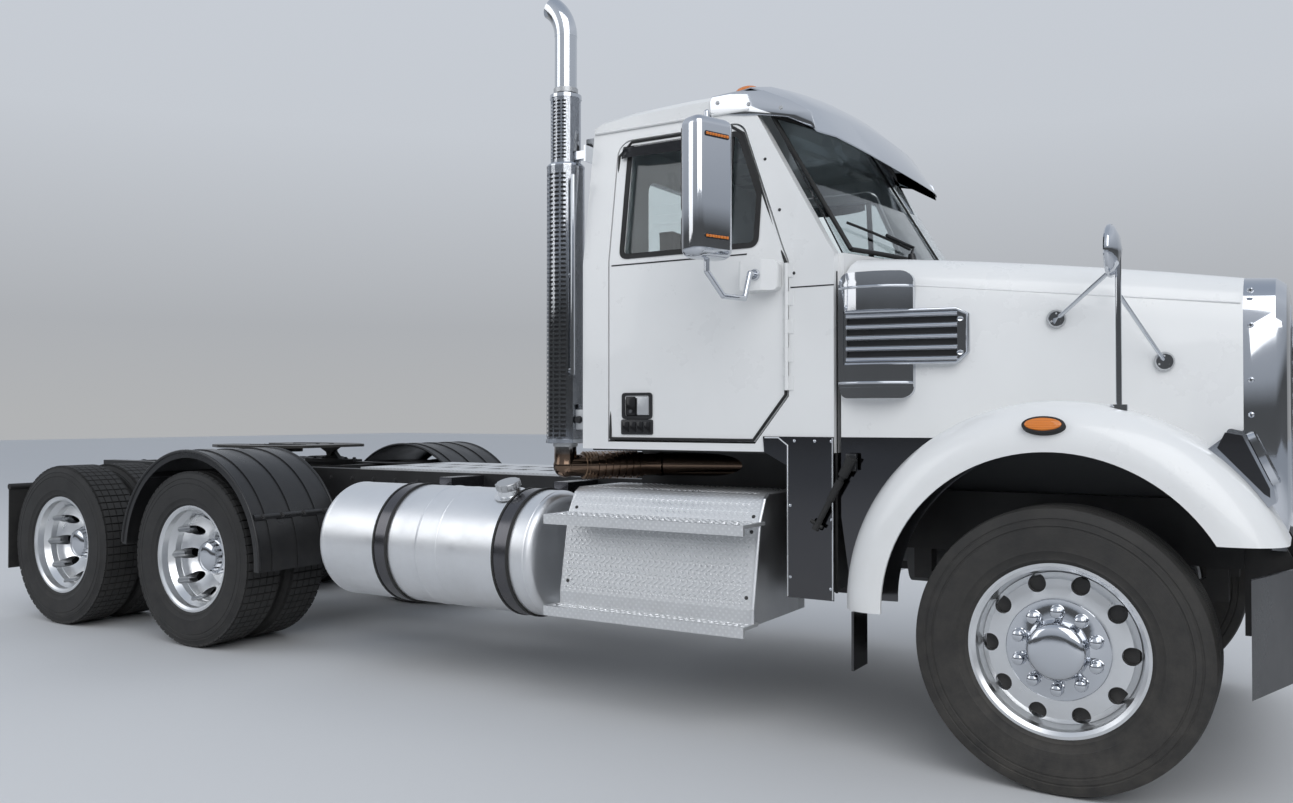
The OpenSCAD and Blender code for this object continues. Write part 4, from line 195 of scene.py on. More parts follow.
@dataclass(frozen=True)
class Finish:
    """One finish: its colours, gloss, grain and the dust it has taken."""

    name: str
    colour: Colour
    metallic: float = 0.0
    roughness: float = 0.4
    spread: float = 0.1
    grain: float = 0.02
    grain_scale: float = 400.0
    dust: float = 0.0
    dust_height: float = 1.2
    dust_colour: Colour = (0.3, 0.27, 0.23)
    tint: float = 0.06
    coat: float = 0.0
    transmission: float = 0.0
    ior: float = 1.5
    low_colour: Colour | None = None
    low_height: float = 0.0
    pattern: Pattern = Pattern.PLAIN
    axle: Flat = (0, AXLE_Z)

    def make(self, groups: SurfaceGroups) -> bpy.types.Material:
        """Builds the material.

        Args:
            groups: the shared effects.

        Returns:
            The new material.
        """
        material = bpy.data.materials.new(self.name)
        material.use_nodes = True
        net = Net(material.node_tree)
        shader = net.tree.nodes["Principled BSDF"]
        amounts = {"Grain Scale": self.grain_scale, "Dust Height": self.dust_height, "Dust": self.dust}
        weather = net.add("Group", amounts, node_tree=groups.weather)
        height, shade = self._pattern(net, groups, weather)
        tone = net.add("MapRange", {"Value": shade, "To Min": 1.0 - self.tint, "To Max": 1.0 + self.tint})
        base = net.add("VectorMath", {0: self.colour, "Scale": tone.outputs[0]}, operation="SCALE")
        clean = base.outputs[0] if self.low_colour is None else self._stained(net, base.outputs[0])
        worn = net.add("Mix", {0: weather.outputs["Dust"], 6: clean, 7: (*self.dust_colour, 1.0)}, data_type="RGBA")
        gloss = net.add("MapRange", {"Value": weather.outputs["Smear"], "From Min": 0.3, "From Max": 0.7,
                "To Min": max(self.roughness - self.spread, 0.01), "To Max": self.roughness + self.spread})
        dull = net.math("ADD", gloss.outputs[0], net.math("MULTIPLY", weather.outputs["Dust"], 0.45), clamp=True)
        bump = net.add("Bump", {"Height": height, "Strength": self.grain, "Distance": 0.004})
        net.fill(shader, {"Base Color": worn.outputs[2], "Roughness": dull, "Normal": bump.outputs[0],
                          "Metallic": self.metallic, "Coat Weight": self.coat, "Coat Roughness": 0.04,
                          "Transmission Weight": self.transmission, "IOR": self.ior})
        return material

    def _stained(self, net: Net, clean: bpy.types.NodeSocket) -> bpy.types.NodeSocket:
        """Gives the colour with another one below a height, as heat leaves on a pipe's foot."""
        place = net.place()
        height = net.add("SeparateXYZ", {0: place}).outputs["Z"]
        share = net.add("MapRange", {"Value": height, "From Min": self.low_height - 0.03,
                "From Max": self.low_height + 0.03})
        both = net.add("Mix", {0: share.outputs[0], 6: (*self.low_colour, 1.0), 7: clean}, data_type="RGBA")
        return both.outputs[2]

    def _pattern(self, net: Net, groups: SurfaceGroups, weather: bpy.types.Node) -> tuple[Any, Any]:
        """Picks what the bump and the shade follow.

        Args:
            net: the material's tree.
            groups: the shared effects.
            weather: the material's weather node.

        Returns:
            The height socket and the shade socket.
        """
        if self.pattern is Pattern.TREAD_PLATE:
            plate = net.add("Group", node_tree=groups.tread_plate)
            return plate.outputs["Height"], plate.outputs["Height"]
        if self.pattern is Pattern.RINGS:
            rings = net.add("Group", {"Axle X": self.axle[0], "Axle Z": self.axle[1]}, node_tree=groups.rings)
            return rings.outputs["Ring"], rings.outputs["Ring"]
        place = net.place()
        if self.pattern is Pattern.BRUSHED:
            squeezed = net.add("Mapping", {"Vector": place, "Scale": (260.0, 6.0, 6.0)})
            lines = net.add("TexNoise", {"Vector": squeezed.outputs[0], "Scale": 1.0, "Detail": 4.0})
            return lines.outputs[0], weather.outputs["Smear"]
        if self.pattern is Pattern.FINS:
            fins = net.add("TexWave", {"Vector": place, "Scale": 60.0}, bands_direction="Y")
            return fins.outputs["Fac"], fins.outputs["Fac"]
        if self.pattern is Pattern.WEAVE:
            cells = net.add("TexVoronoi", {"Vector": place, "Scale": 950.0})
            return cells.outputs["Distance"], weather.outputs["Smear"]
        if self.pattern is Pattern.FACETS:
            ribs = net.add("TexWave", {"Vector": place, "Scale": 45.0}, bands_direction="Z")
            return ribs.outputs["Fac"], ribs.outputs["Fac"]
        return weather.outputs["Grain"], weather.outputs["Smear"]


# Each row: name, colour, metallic, roughness, its spread, strength of the grain, then what differs from the usual.
FINISHES = (
    Finish("white_paint", (0.8, 0.805, 0.8), 0, 0.3, 0.06, 0.02, grain_scale=900, dust=0.25, dust_height=1.5,
           dust_colour=(0.55, 0.52, 0.46), tint=0.025, coat=0.5),
    Finish("chrome", (0.6, 0.62, 0.655), 1.0, 0.06, 0.035, 0.004, grain_scale=300, dust=0.1, tint=0.04),
    Finish("stack_chrome", (0.64, 0.66, 0.69), 1.0, 0.1, 0.04, 0.006, grain_scale=300, dust=0.1, tint=0.04,
           low_colour=(0.16, 0.11, 0.08), low_height=1.235),
    Finish("polished_aluminium", (0.8, 0.81, 0.82), 1.0, 0.28, 0.03, 0.006, grain_scale=700, dust=0.2, dust_height=0.9,
           dust_colour=(0.42, 0.39, 0.34)),
    Finish("tank_aluminium", (0.82, 0.83, 0.845), 1.0, 0.4, 0.1, 0.1, dust=0.25, dust_colour=(0.5, 0.48, 0.44),
           pattern=Pattern.BRUSHED),
    Finish("tread_plate", (0.74, 0.75, 0.76), 0.7, 0.4, 0.1, 0.25, dust=0.25, dust_colour=(0.46, 0.44, 0.4),
           pattern=Pattern.TREAD_PLATE),
    Finish("tread_bars", (0.8, 0.81, 0.82), 0.85, 0.3, 0.08, 0.05, dust=0.15, dust_colour=(0.5, 0.48, 0.45)),
    Finish("satin_black", (0.014, 0.0145, 0.016), 0, 0.3, 0.06, 0.01, dust=0.08),
    Finish("strap_steel", (0.1, 0.1, 0.11), 0.9, 0.2, 0.08, 0.01, dust=0.25),
    Finish("frame_black", (0.016, 0.016, 0.017), 0, 0.42, 0.12, 0.06, dust=0.16),
    Finish("cast_black", (0.022, 0.022, 0.023), 0, 0.6, 0.12, 0.2, grain_scale=260, dust=0.2),
    Finish("engine_grey", (0.12, 0.125, 0.13), 0, 0.55, 0.1, 0.2, grain_scale=240, dust=0.4),
    Finish("greased_steel", (0.05, 0.048, 0.045), 0.6, 0.35, 0.15, 0.12, dust=0.2, dust_height=2.0),
    Finish("black_rubber", (0.012, 0.012, 0.012), 0, 0.66, 0.1, 0.08, grain_scale=600, dust=0.12),
    Finish("black_plastic", (0.013, 0.0135, 0.015), 0, 0.34, 0.1, 0.06, grain_scale=900, dust=0.1),
    Finish("dark_gloss", (0.02, 0.02, 0.021), 0.5, 0.14, 0.06, 0.006, dust=0.25),
    Finish("dark_polish", (0.085, 0.085, 0.09), 1.0, 0.1, 0.04, 0.004, dust=0.2, dust_height=0.9),
    Finish("smoked_acrylic", (0.015, 0.015, 0.017), 0, 0.08, 0.03, 0.02, coat=0.3),
    Finish("dark_glass", (0.6, 0.65, 0.66), 0, 0, 0, 0, transmission=1.0, ior=1.45, tint=0.0),
    Finish("clear_lens", (0.9, 0.92, 0.94), 0, 0.03, 0.01, 0.02, transmission=1.0, ior=1.4, tint=0.0),
    Finish("amber_lens", (0.7, 0.2, 0.02), 0, 0.18, 0.1, 0.3, coat=0.6, pattern=Pattern.FACETS, tint=0.12),
    Finish("red_lens", (0.5, 0.03, 0.025), 0, 0.18, 0.1, 0.3, coat=0.6, pattern=Pattern.FACETS, tint=0.12),
    Finish("mirror_glass", (0.85, 0.87, 0.88), 1.0, 0.02, 0.01, 0, tint=0.0),
    Finish("seat_cloth", (0.04, 0.042, 0.047), 0, 0.9, 0.1, 0.05, pattern=Pattern.WEAVE, tint=0.1),
    Finish("dash_plastic", (0.07, 0.072, 0.076), 0, 0.6, 0.1, 0.3, grain_scale=700),
    Finish("radiator_core", (0.05, 0.052, 0.055), 0.5, 0.5, 0.1, 0.5, pattern=Pattern.FINS, tint=0.3),
    Finish("bronze_pipe", (0.26, 0.17, 0.11), 0.9, 0.42, 0.14, 0.15, tint=0.25),
    Finish("galvanised", (0.52, 0.53, 0.54), 0.8, 0.42, 0.1, 0.1, grain_scale=120, dust=0.2, tint=0.12),
    Finish("tyre_steer", (0.019, 0.0185, 0.018), 0, 0.72, 0.1, 0.25, dust=0.36, dust_height=1.5,
           dust_colour=(0.16, 0.145, 0.125), pattern=Pattern.RINGS, axle=(AXLE_X, AXLE_Z), tint=0.3),
    *(Finish(f"tyre_drive_{axle}", (0.018, 0.018, 0.018), roughness=0.72, grain=0.25, dust=0.22, dust_height=1.4,
             dust_colour=(0.13, 0.12, 0.11), pattern=Pattern.RINGS, axle=(along, AXLE_Z), tint=0.3) for axle,
             along in DRIVE_X.items()),
)


def sided(*names: str) -> tuple[str, ...]:
    """Gives each name with the endings of both sides."""
    return tuple(f"{name}_{side}" for name in names for side in SIDES)


NODE_FINISHES = {
    # cab_floor is frame black as painted shade where the cab's underside lies in shadow.
    "frame_black": ("frame_rails", "cross_members", "cab_floor"),
    "cast_black": ("front_axle", "drive_axles", "suspension", "fifth_wheel_base", "tie_rod", *sided("knuckle")),
    "greased_steel": ("fifth_wheel_plate",),
    "engine_grey": ("powertrain",),
    "radiator_core": ("radiator",),
    "tank_aluminium": ("fuel_tanks",),
    "black_rubber": ("mud_flaps",),
    "strap_steel": ("tank_straps",),
    "tread_plate": ("step_boxes", "deck_plate"),
    "stack_chrome": ("exhaust_stack",),
    "satin_black": ("bumper",),
    "chrome": ("heat_shield", "sun_visor", "grille_surround", "grille", "headlamps", "side_intakes",
               "hood_mirrors", *sided("mirror")),
    "black_plastic": ("rear_fenders", "steering_wheel"),
    "red_lens": ("tail_lamps",),
    "amber_lens": ("roof_lamps",),
    "dark_polish": ("cab_skirts", "splash_panels"),
    "dark_glass": ("cab_glass", *sided("door_glass")),
    "seat_cloth": ("seats",),
    "dash_plastic": ("dashboard",),
    "white_paint": ("cab_sides", "cab_rear_wall", "cab_roof", "cowl", "hood_shell", "fenders", *sided("door")),
    "polished_aluminium": sided("steer_wheel", "drive_wheel_front", "drive_wheel_rear"),
    "tyre_steer": sided("steer_tyre"),
    "tyre_drive_front": sided("drive_tyre_front"),
    "tyre_drive_rear": sided("drive_tyre_rear"),
}

SLOTS = {name: name for name in ("white_paint", "chrome", "polished_aluminium", "tread_plate", "frame_black",
        "cast_black", "engine_grey", "greased_steel", "black_rubber", "black_plastic", "dark_gloss", "dark_glass",
        "amber_lens", "red_lens", "seat_cloth", "dash_plastic")}
SLOTS |= {"stack_chrome": "chrome", "satin_black": "chrome", "tank_aluminium": "polished_aluminium",
          "tread_bars": "tread_plate", "dark_polish": "dark_gloss", "strap_steel": "black_rubber", "tyre_steer": "tyre",
          "tyre_drive_front": "tyre", "tyre_drive_rear": "tyre"}


class Solids:
    """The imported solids, which keep their shapes and get their finishes here."""

    def __init__(self, nodes: dict[str, bpy.types.Object], materials: dict[str, bpy.types.Material]) -> None:
        """Keeps the solids and the finishes at hand."""
        self.nodes = nodes
        self.materials = materials

    def dress(self) -> None:
        """Gives every solid its finish and soft shading across its small facets."""
        soften = self._soften_group()
        for finish, names in NODE_FINISHES.items():
            for name in names:
                solid = self.nodes[name]
                for index in range(len(solid.data.materials)):
                    solid.data.materials[index] = self.materials[finish]
                if not solid.data.materials:
                    solid.data.materials.append(self.materials[finish])
                solid.modifiers.new("soft_shading", "NODES").node_group = soften
        LOG.info("dressed %d solids", len(self.nodes))

    @staticmethod
    def _soften_group() -> bpy.types.NodeTree:
        """Gives the group that joins a solid's loose triangles and shades it smooth up to a sharp edge."""
        sharp = radians(32)
        tree = bpy.data.node_groups.new("soft_shading", "GeometryNodeTree")
        for way in ("INPUT", "OUTPUT"):
            tree.interface.new_socket(name="Geometry", in_out=way, socket_type="NodeSocketGeometry")
        given, out = tree.nodes.new("NodeGroupInput"), tree.nodes.new("NodeGroupOutput")
        net = Net(tree)
        joined = net.add("GeometryNodeMergeByDistance", {"Geometry": given.outputs[0], "Distance": 0.00002})
        angle = tree.nodes.new("GeometryNodeInputMeshEdgeAngle")
        under = net.add("FunctionNodeCompare", {0: angle.outputs[0], 1: sharp}, operation="LESS_THAN")
        faces = net.add("GeometryNodeSetShadeSmooth", {"Geometry": joined.outputs[0]}, domain="FACE")
        edges = net.add("GeometryNodeSetShadeSmooth", {"Geometry": faces.outputs[0], "Shade Smooth": under.outputs[0]},
                domain="EDGE")
        net.fill(out, {0: edges.outputs[0]})
        return net.tree


@dataclass(frozen=True)
class Studio:
    """Camera, floor and light."""

    lens: float = 30.0
    place: Point = (3.965, -5.325, 1.398)
    yaw: float = 31.55
    pitch: float = 0.77
    floor_size: float = 120.0

    def build(self) -> None:
        """Makes the camera, the pale floor and the soft light."""
        scene = bpy.context.scene
        scene.view_settings.view_transform = "Standard"
        camera = bpy.data.objects.new("camera", bpy.data.cameras.new("camera"))
        camera.data.lens = self.lens
        camera.data.sensor_width = 36.0
        camera.data.clip_end = 400.0
        yaw, pitch = radians(self.yaw), radians(self.pitch)
        ahead = Vector((-sin(yaw) * cos(pitch), cos(yaw) * cos(pitch), sin(pitch)))
        camera.location = self.place
        camera.rotation_mode = "QUATERNION"
        camera.rotation_quaternion = ahead.to_track_quat("-Z", "Y")
        scene.collection.objects.link(camera)
        scene.camera = camera
        self._floor(scene)
        self._world(scene)
        self._lamp("key_light", (9.0, -9.0, 10.0), 12.0, 960.0, (0, 0, 1.0))
        self._lamp("fill_light", (-9.0, -10.0, 7.0), 8.0, 260.0, (-1.0, 0, 1.0))
        self._lamp("back_light", (-2.0, 10.0, 9.0), 13.0, 340.0, (0, 0, 1.2), in_mirrors=False)

    def _floor(self, scene: bpy.types.Scene) -> None:
        """Lays the floor."""
        mesh = bmesh.new()
        bmesh.ops.create_grid(mesh, x_segments=1, y_segments=1, size=self.floor_size / 2)
        data = bpy.data.meshes.new("floor")
        mesh.to_mesh(data)
        mesh.free()
        floor = bpy.data.objects.new("floor", data)
        scene.collection.objects.link(floor)
        material = bpy.data.materials.new("floor")
        material.use_nodes = True
        shader = material.node_tree.nodes["Principled BSDF"]
        shader.inputs["Base Color"].default_value = (0.62, 0.625, 0.63, 1.0)
        shader.inputs["Roughness"].default_value = 0.7
        data.materials.append(material)

    def _world(self, scene: bpy.types.Scene) -> None:
        """Lights the scene from a pale sky, with a dark low band all round except behind the truck."""
        world = bpy.data.worlds.new("studio")
        world.use_nodes = True
        scene.world = world
        net = Net(world.node_tree)
        background = net.tree.nodes["Background"]
        place = net.add("TexCoord").outputs["Generated"]
        height = net.add("SeparateXYZ", {0: place}).outputs["Z"]
        yaw = radians(self.yaw)
        ahead = net.add("VectorMath", {0: place, 1: (-sin(yaw), cos(yaw), 0)}, operation="DOT_PRODUCT")
        behind = net.add("MapRange", {"Value": ahead.outputs["Value"], "From Min": 0.3, "From Max": 0.75})
        pale = self._sky(net, height, ((0, (0.55, 0.56, 0.57)), (0.08, (0.52, 0.54, 0.57)), (0.25, (0.7, 0.74, 0.8)),
                (0.5, (0.74, 0.79, 0.87)), (1.0, (0.52, 0.59, 0.7))))
        dark = self._sky(net, height, ((0, (0.14, 0.145, 0.15)), (0.1, (0.11, 0.115, 0.12)), (0.16, (0.5, 0.54, 0.6)),
                (0.5, (0.8, 0.85, 0.93)), (1.0, (0.52, 0.59, 0.7))))
        both = net.add("Mix", {0: behind.outputs[0], 6: dark, 7: pale}, data_type="RGBA")
        net.fill(background, {0: both.outputs[2], 1: 0.8})

    @staticmethod
    def _sky(net: Net, height: bpy.types.NodeSocket, stops: Sequence[tuple[float, Colour]]) -> bpy.types.NodeSocket:
        """Gives the sky's colour by height, from stops that run from the horizon upwards."""
        ramp = net.add("ValToRGB", {0: height})
        for index, (spot, colour) in enumerate(stops):
            stop = ramp.color_ramp.elements[index] if index < 2 else ramp.color_ramp.elements.new(spot)
            stop.position = spot
            stop.color = (*colour, 1.0)
        return ramp.outputs[0]

    @staticmethod
    def _lamp(name: str, place: Point, size: float, watts: float, target: Point, in_mirrors: bool = True) -> None:
        """Hangs a large soft lamp that faces a point."""
        lamp = bpy.data.objects.new(name, bpy.data.lights.new(name, "AREA"))
        lamp.data.size = size
        lamp.data.energy = watts
        lamp.visible_glossy = in_mirrors
        lamp.location = place
        lamp.rotation_mode = "QUATERNION"
        lamp.rotation_quaternion = (Vector(target) - Vector(place)).to_track_quat("-Z", "Y")
        bpy.context.scene.collection.objects.link(lamp)


@dataclass(eq=False)
class Draft:
    """A piece in the making: its name, finish, body, the angle in degrees over which edges stay sharp, and its mesh.

    Shapes are added to the mesh in the shared frame until the workshop closes the draft.
    """

    name: str
    finish: str
    body: str = "chassis"
    sharp: float = 34.0
    replaces: str | None = None
    mesh: bmesh.types.BMesh = field(default_factory=bmesh.new)

    def _round(self, edges: Iterable[bmesh.types.BMEdge], width: float, segments: int = 2) -> None:
        """Rounds edges off."""
        bmesh.ops.bevel(self.mesh, geom=list(edges), offset=width, offset_type="OFFSET", segments=segments, profile=0.5,
                affect="EDGES", material=-1, clamp_overlap=True)

    def cube(self, place: Matrix, bevel: float = 0.0, segments: int = 2) -> None:
        """Adds a cube with sides of one metre, moved and stretched by a matrix, with its edges rounded off if asked."""
        made = bmesh.ops.create_cube(self.mesh, size=1.0, matrix=place)
        if bevel > 0:
            self._round(dict.fromkeys(edge for vert in made["verts"] for edge in vert.link_edges), bevel, segments)

    def block(self, corner: Point, opposite: Point, bevel: float = 0.0, segments: int = 2) -> None:
        """Adds a box between two opposite corners, with its edges rounded off by the bevel's width."""
        first, last = Vector(corner), Vector(opposite)
        size = [abs(length) for length in last - first]
        self.cube(Matrix.Translation((first + last) / 2) @ Matrix.Diagonal((*size, 1.0)), bevel, segments)

    def cone(self, start: Point, end: Point, first: float, last: float | None = None, steps: int = 20) -> None:
        """Adds a round bar between two points, or a cone if the last radius differs from the first."""
        low, high = Vector(start), Vector(end)
        way = high - low
        place = Matrix.Translation((low + high) / 2) @ way.to_track_quat("Z", "Y").to_matrix().to_4x4()
        bmesh.ops.create_cone(self.mesh, cap_ends=True, cap_tris=False, segments=steps, radius1=first,
                radius2=first if last is None else last, depth=way.length, matrix=place)

    def ball(self, centre: Point, radii: Point, steps: int = 16) -> None:
        """Adds a ball that is stretched to three radii."""
        place = Matrix.Translation(centre) @ Matrix.Diagonal((*radii, 1.0))
        bmesh.ops.create_uvsphere(self.mesh, u_segments=steps, v_segments=max(steps // 2, 6), radius=1.0, matrix=place)

    def lathe(self, profile: Sequence[Flat], centre: Point, way: Point, steps: int = 48,
              closed: bool = False) -> list[bmesh.types.BMFace]:
        """Turns a profile about an axis.

        Args:
            profile: pairs of radius and distance along the axis.
            centre: where the distance is zero.
            way: direction of the axis.
            steps: corners round it.
            closed: True if the profile's end joins its start.

        Returns:
            The new faces.
        """
        mesh = self.mesh
        axis = Vector(way).normalized()
        out = axis.orthogonal().normalized()
        known = set(mesh.faces)
        verts = [mesh.verts.new(Vector(centre) + out * radius + axis * far) for radius, far in profile]
        edges = [mesh.edges.new(pair) for pair in zip(verts, verts[1:])]
        if closed:
            edges.append(mesh.edges.new((verts[-1], verts[0])))
        bmesh.ops.spin(mesh, geom=verts + edges, cent=centre, axis=axis, angle=tau, steps=steps, use_merge=True)
        fresh = dict.fromkeys(vert for face in mesh.faces if face not in known for vert in face.verts)
        bmesh.ops.remove_doubles(mesh, verts=list(fresh), dist=1e-5)
        return [face for face in mesh.faces if face not in known]

    def hoop(self, inner: float, outer: float, ends: Flat, centre: Point, way: Point, steps: int = 48,
             slope: float = 0.0) -> None:
        """Adds a ring between two radii and two ends along an axis; a slope shortens its outer face at each end."""
        near, far = ends
        profile = [(inner, near), (outer, near + slope), (outer, far - slope), (inner, far)]
        self.lathe(profile, centre, way, steps, closed=True)

    def _deepen(self, faces: Sequence[bmesh.types.BMFace], depth: Vector) -> list[bmesh.types.BMVert]:
        """Gives faces a straight depth and returns the far side's corners."""
        grown = bmesh.ops.extrude_face_region(self.mesh, geom=faces)["geom"]
        far = [item for item in grown if isinstance(item, bmesh.types.BMVert)]
        bmesh.ops.translate(self.mesh, verts=far, vec=depth)
        return far

    def panel(self, outline: Sequence[Point], depth: Vector, bevel: float = 0.0) -> None:
        """Adds a plate with a straight depth from its outline, and with the far face's rim rounded off by the bevel."""
        far = self._deepen([self.mesh.faces.new([self.mesh.verts.new(point) for point in outline])], depth)
        if bevel > 0:
            touching = dict.fromkeys(edge for vert in far for edge in vert.link_edges)
            self._round([edge for edge in touching if all(vert in far for vert in edge.verts)], bevel)

    def band(self, outer: Sequence[Point], inner: Sequence[Point], depth: Vector) -> None:
        """Adds a flat ring with a straight depth between two outlines that have the same number of corners."""
        loops = []
        for outline in (outer, inner):
            verts = [self.mesh.verts.new(point) for point in outline]
            loops.extend(self.mesh.edges.new(pair) for pair in zip(verts, verts[1:] + verts[:1]))
        self._deepen(bmesh.ops.bridge_loops(self.mesh, edges=loops)["faces"], depth)

    def bolt(self, spot: Point, way: Point, radius: float, height: float) -> None:
        """Adds a six-sided bolt head on a washer, at a spot on a surface and in the way that leads off it."""
        foot, out = Vector(spot), Vector(way).normalized()
        self.cone(foot - out * 0.002, foot + out * height * 0.25, radius * 1.45, steps=16)
        self.cone(foot, foot + out * height, radius, radius * 0.94, steps=6)

    def button(self, spot: Point, way: Point, radius: float, height: float) -> None:
        """Adds a round rivet or screw head, with the same values as a bolt."""
        foot, out = Vector(spot), Vector(way).normalized()
        self.cone(foot - out * 0.002, foot + out * height * 0.55, radius, radius * 0.86, steps=12)
        self.cone(foot + out * height * 0.55, foot + out * height, radius * 0.86, radius * 0.4, steps=12)

    def absorb(self, other: bmesh.types.BMesh) -> None:
        """Takes in a mesh that was made apart, which is used up."""
        data = bpy.data.meshes.new("apart")
        other.to_mesh(data)
        other.free()
        self.mesh.from_mesh(data)
        bpy.data.meshes.remove(data)


@dataclass
class Workshop:
    """Opens drafts, closes them into named pieces and hands each to the body that it moves with."""

    materials: dict[str, bpy.types.Material]
    count: int = 0
    waiting: list[Draft] = field(default_factory=list)

    def draft(self, name: str, finish: str, *details: Any, **options: Any) -> Draft:
        """Opens a draft from the values of its fields, which close() will turn into a piece."""
        self.waiting.append(Draft(name, finish, *details, **options))
        return self.waiting[-1]

    def drafts(self, body: str, **finishes: str) -> list[Draft]:
        """Opens drafts that move with one body, given as piece names and finishes."""
        return [self.draft(name, finish, body) for name, finish in finishes.items()]

    def close(self) -> None:
        """Turns every draft that is still open into its piece."""
        while self.waiting:
            self.piece(self.waiting[0])

    def piece(self, draft: Draft) -> bpy.types.Object:
        """Closes one draft and returns its piece."""
        self.waiting.remove(draft)
        bmesh.ops.recalc_face_normals(draft.mesh, faces=draft.mesh.faces)
        data = bpy.data.meshes.new(draft.name)
        draft.mesh.to_mesh(data)
        draft.mesh.free()
        made = self._join(draft.name, data, draft.finish, draft.body, draft.sharp)
        if draft.replaces:
            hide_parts(draft.replaces)
        return made

    def tube(self, name: str, paths: Sequence[Sequence[Point]], radius: float, finish: str, body: str = "chassis",
             smooth: bool = False, steps: int = 3) -> None:
        """Makes a piece of round tubes along paths.

        Args:
            name: the piece's name.
            paths: each tube's points.
            radius: of the tubes.
            finish: name of their finish.
            body: the body that they move with.
            smooth: True if the tubes bend softly through their points.
            steps: quarter steps round a tube.
        """
        curve = bpy.data.curves.new(name, "CURVE")
        curve.dimensions = "3D"
        curve.bevel_depth = radius
        curve.bevel_resolution = steps
        curve.use_fill_caps = True
        curve.resolution_u = 5
        for path in paths:
            spline = curve.splines.new("NURBS" if smooth else "POLY")
            spline.points.add(len(path) - 1)
            for point, place in zip(spline.points, path):
                point.co = (*place, 1.0)
            if smooth:
                spline.order_u = min(4, len(path))
                spline.use_endpoint_u = True
        bent = bpy.data.objects.new(f"{name}_path", curve)
        data = bpy.data.meshes.new_from_object(bent)
        data.name = name
        bpy.data.objects.remove(bent)
        bpy.data.curves.remove(curve)
        data.materials.clear()
        self._join(name, data, finish, body, 40.0)

    def _join(self, name: str, data: bpy.types.Mesh, finish: str, body: str, sharp: float) -> bpy.types.Object:
        """Gives a mesh its shading, finish and body."""
        data.shade_smooth()
        data.set_sharp_from_angle(angle=radians(sharp))
        data.materials.append(self.materials[finish])
        made = bpy.data.objects.new(name, data)
        bpy.context.scene.collection.objects.link(made)
        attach(made, body)
        self.count += 1
        return made


def rounded(low: Flat, high: Flat, radius: float, steps: int = 5) -> list[Flat]:
    """Gives the corners, in order, of a rectangle whose corners are rounded off in so many steps."""
    centres = ((high[0] - radius, high[1] - radius, 0), (low[0] + radius, high[1] - radius, 90),
               (low[0] + radius, low[1] + radius, 180), (high[0] - radius, low[1] + radius, 270))
    points = []
    for x, y, start in centres:
        for step in range(steps + 1):
            angle = radians(start + 90 * step / steps)
            points.append((x + radius * cos(angle), y + radius * sin(angle)))
    return points


def wall_y(height: float) -> float:
    """Gives the cab wall's distance from the middle at a height."""
    return 1.0 - 0.1 * max(height - 2.14, 0) / 0.66


def screen_x(across: float, height: float) -> float:
    """Gives the windscreen's place along the truck."""
    return 2.243 + 0.195 * (1.0 - across * across) - 0.425 * (height - 2.1) / 0.7


def hood_half(along: float) -> float:
    """Gives the hood's half width at a place along the truck."""
    return 0.985 - 0.245 * (along - 2.255) / 1.505


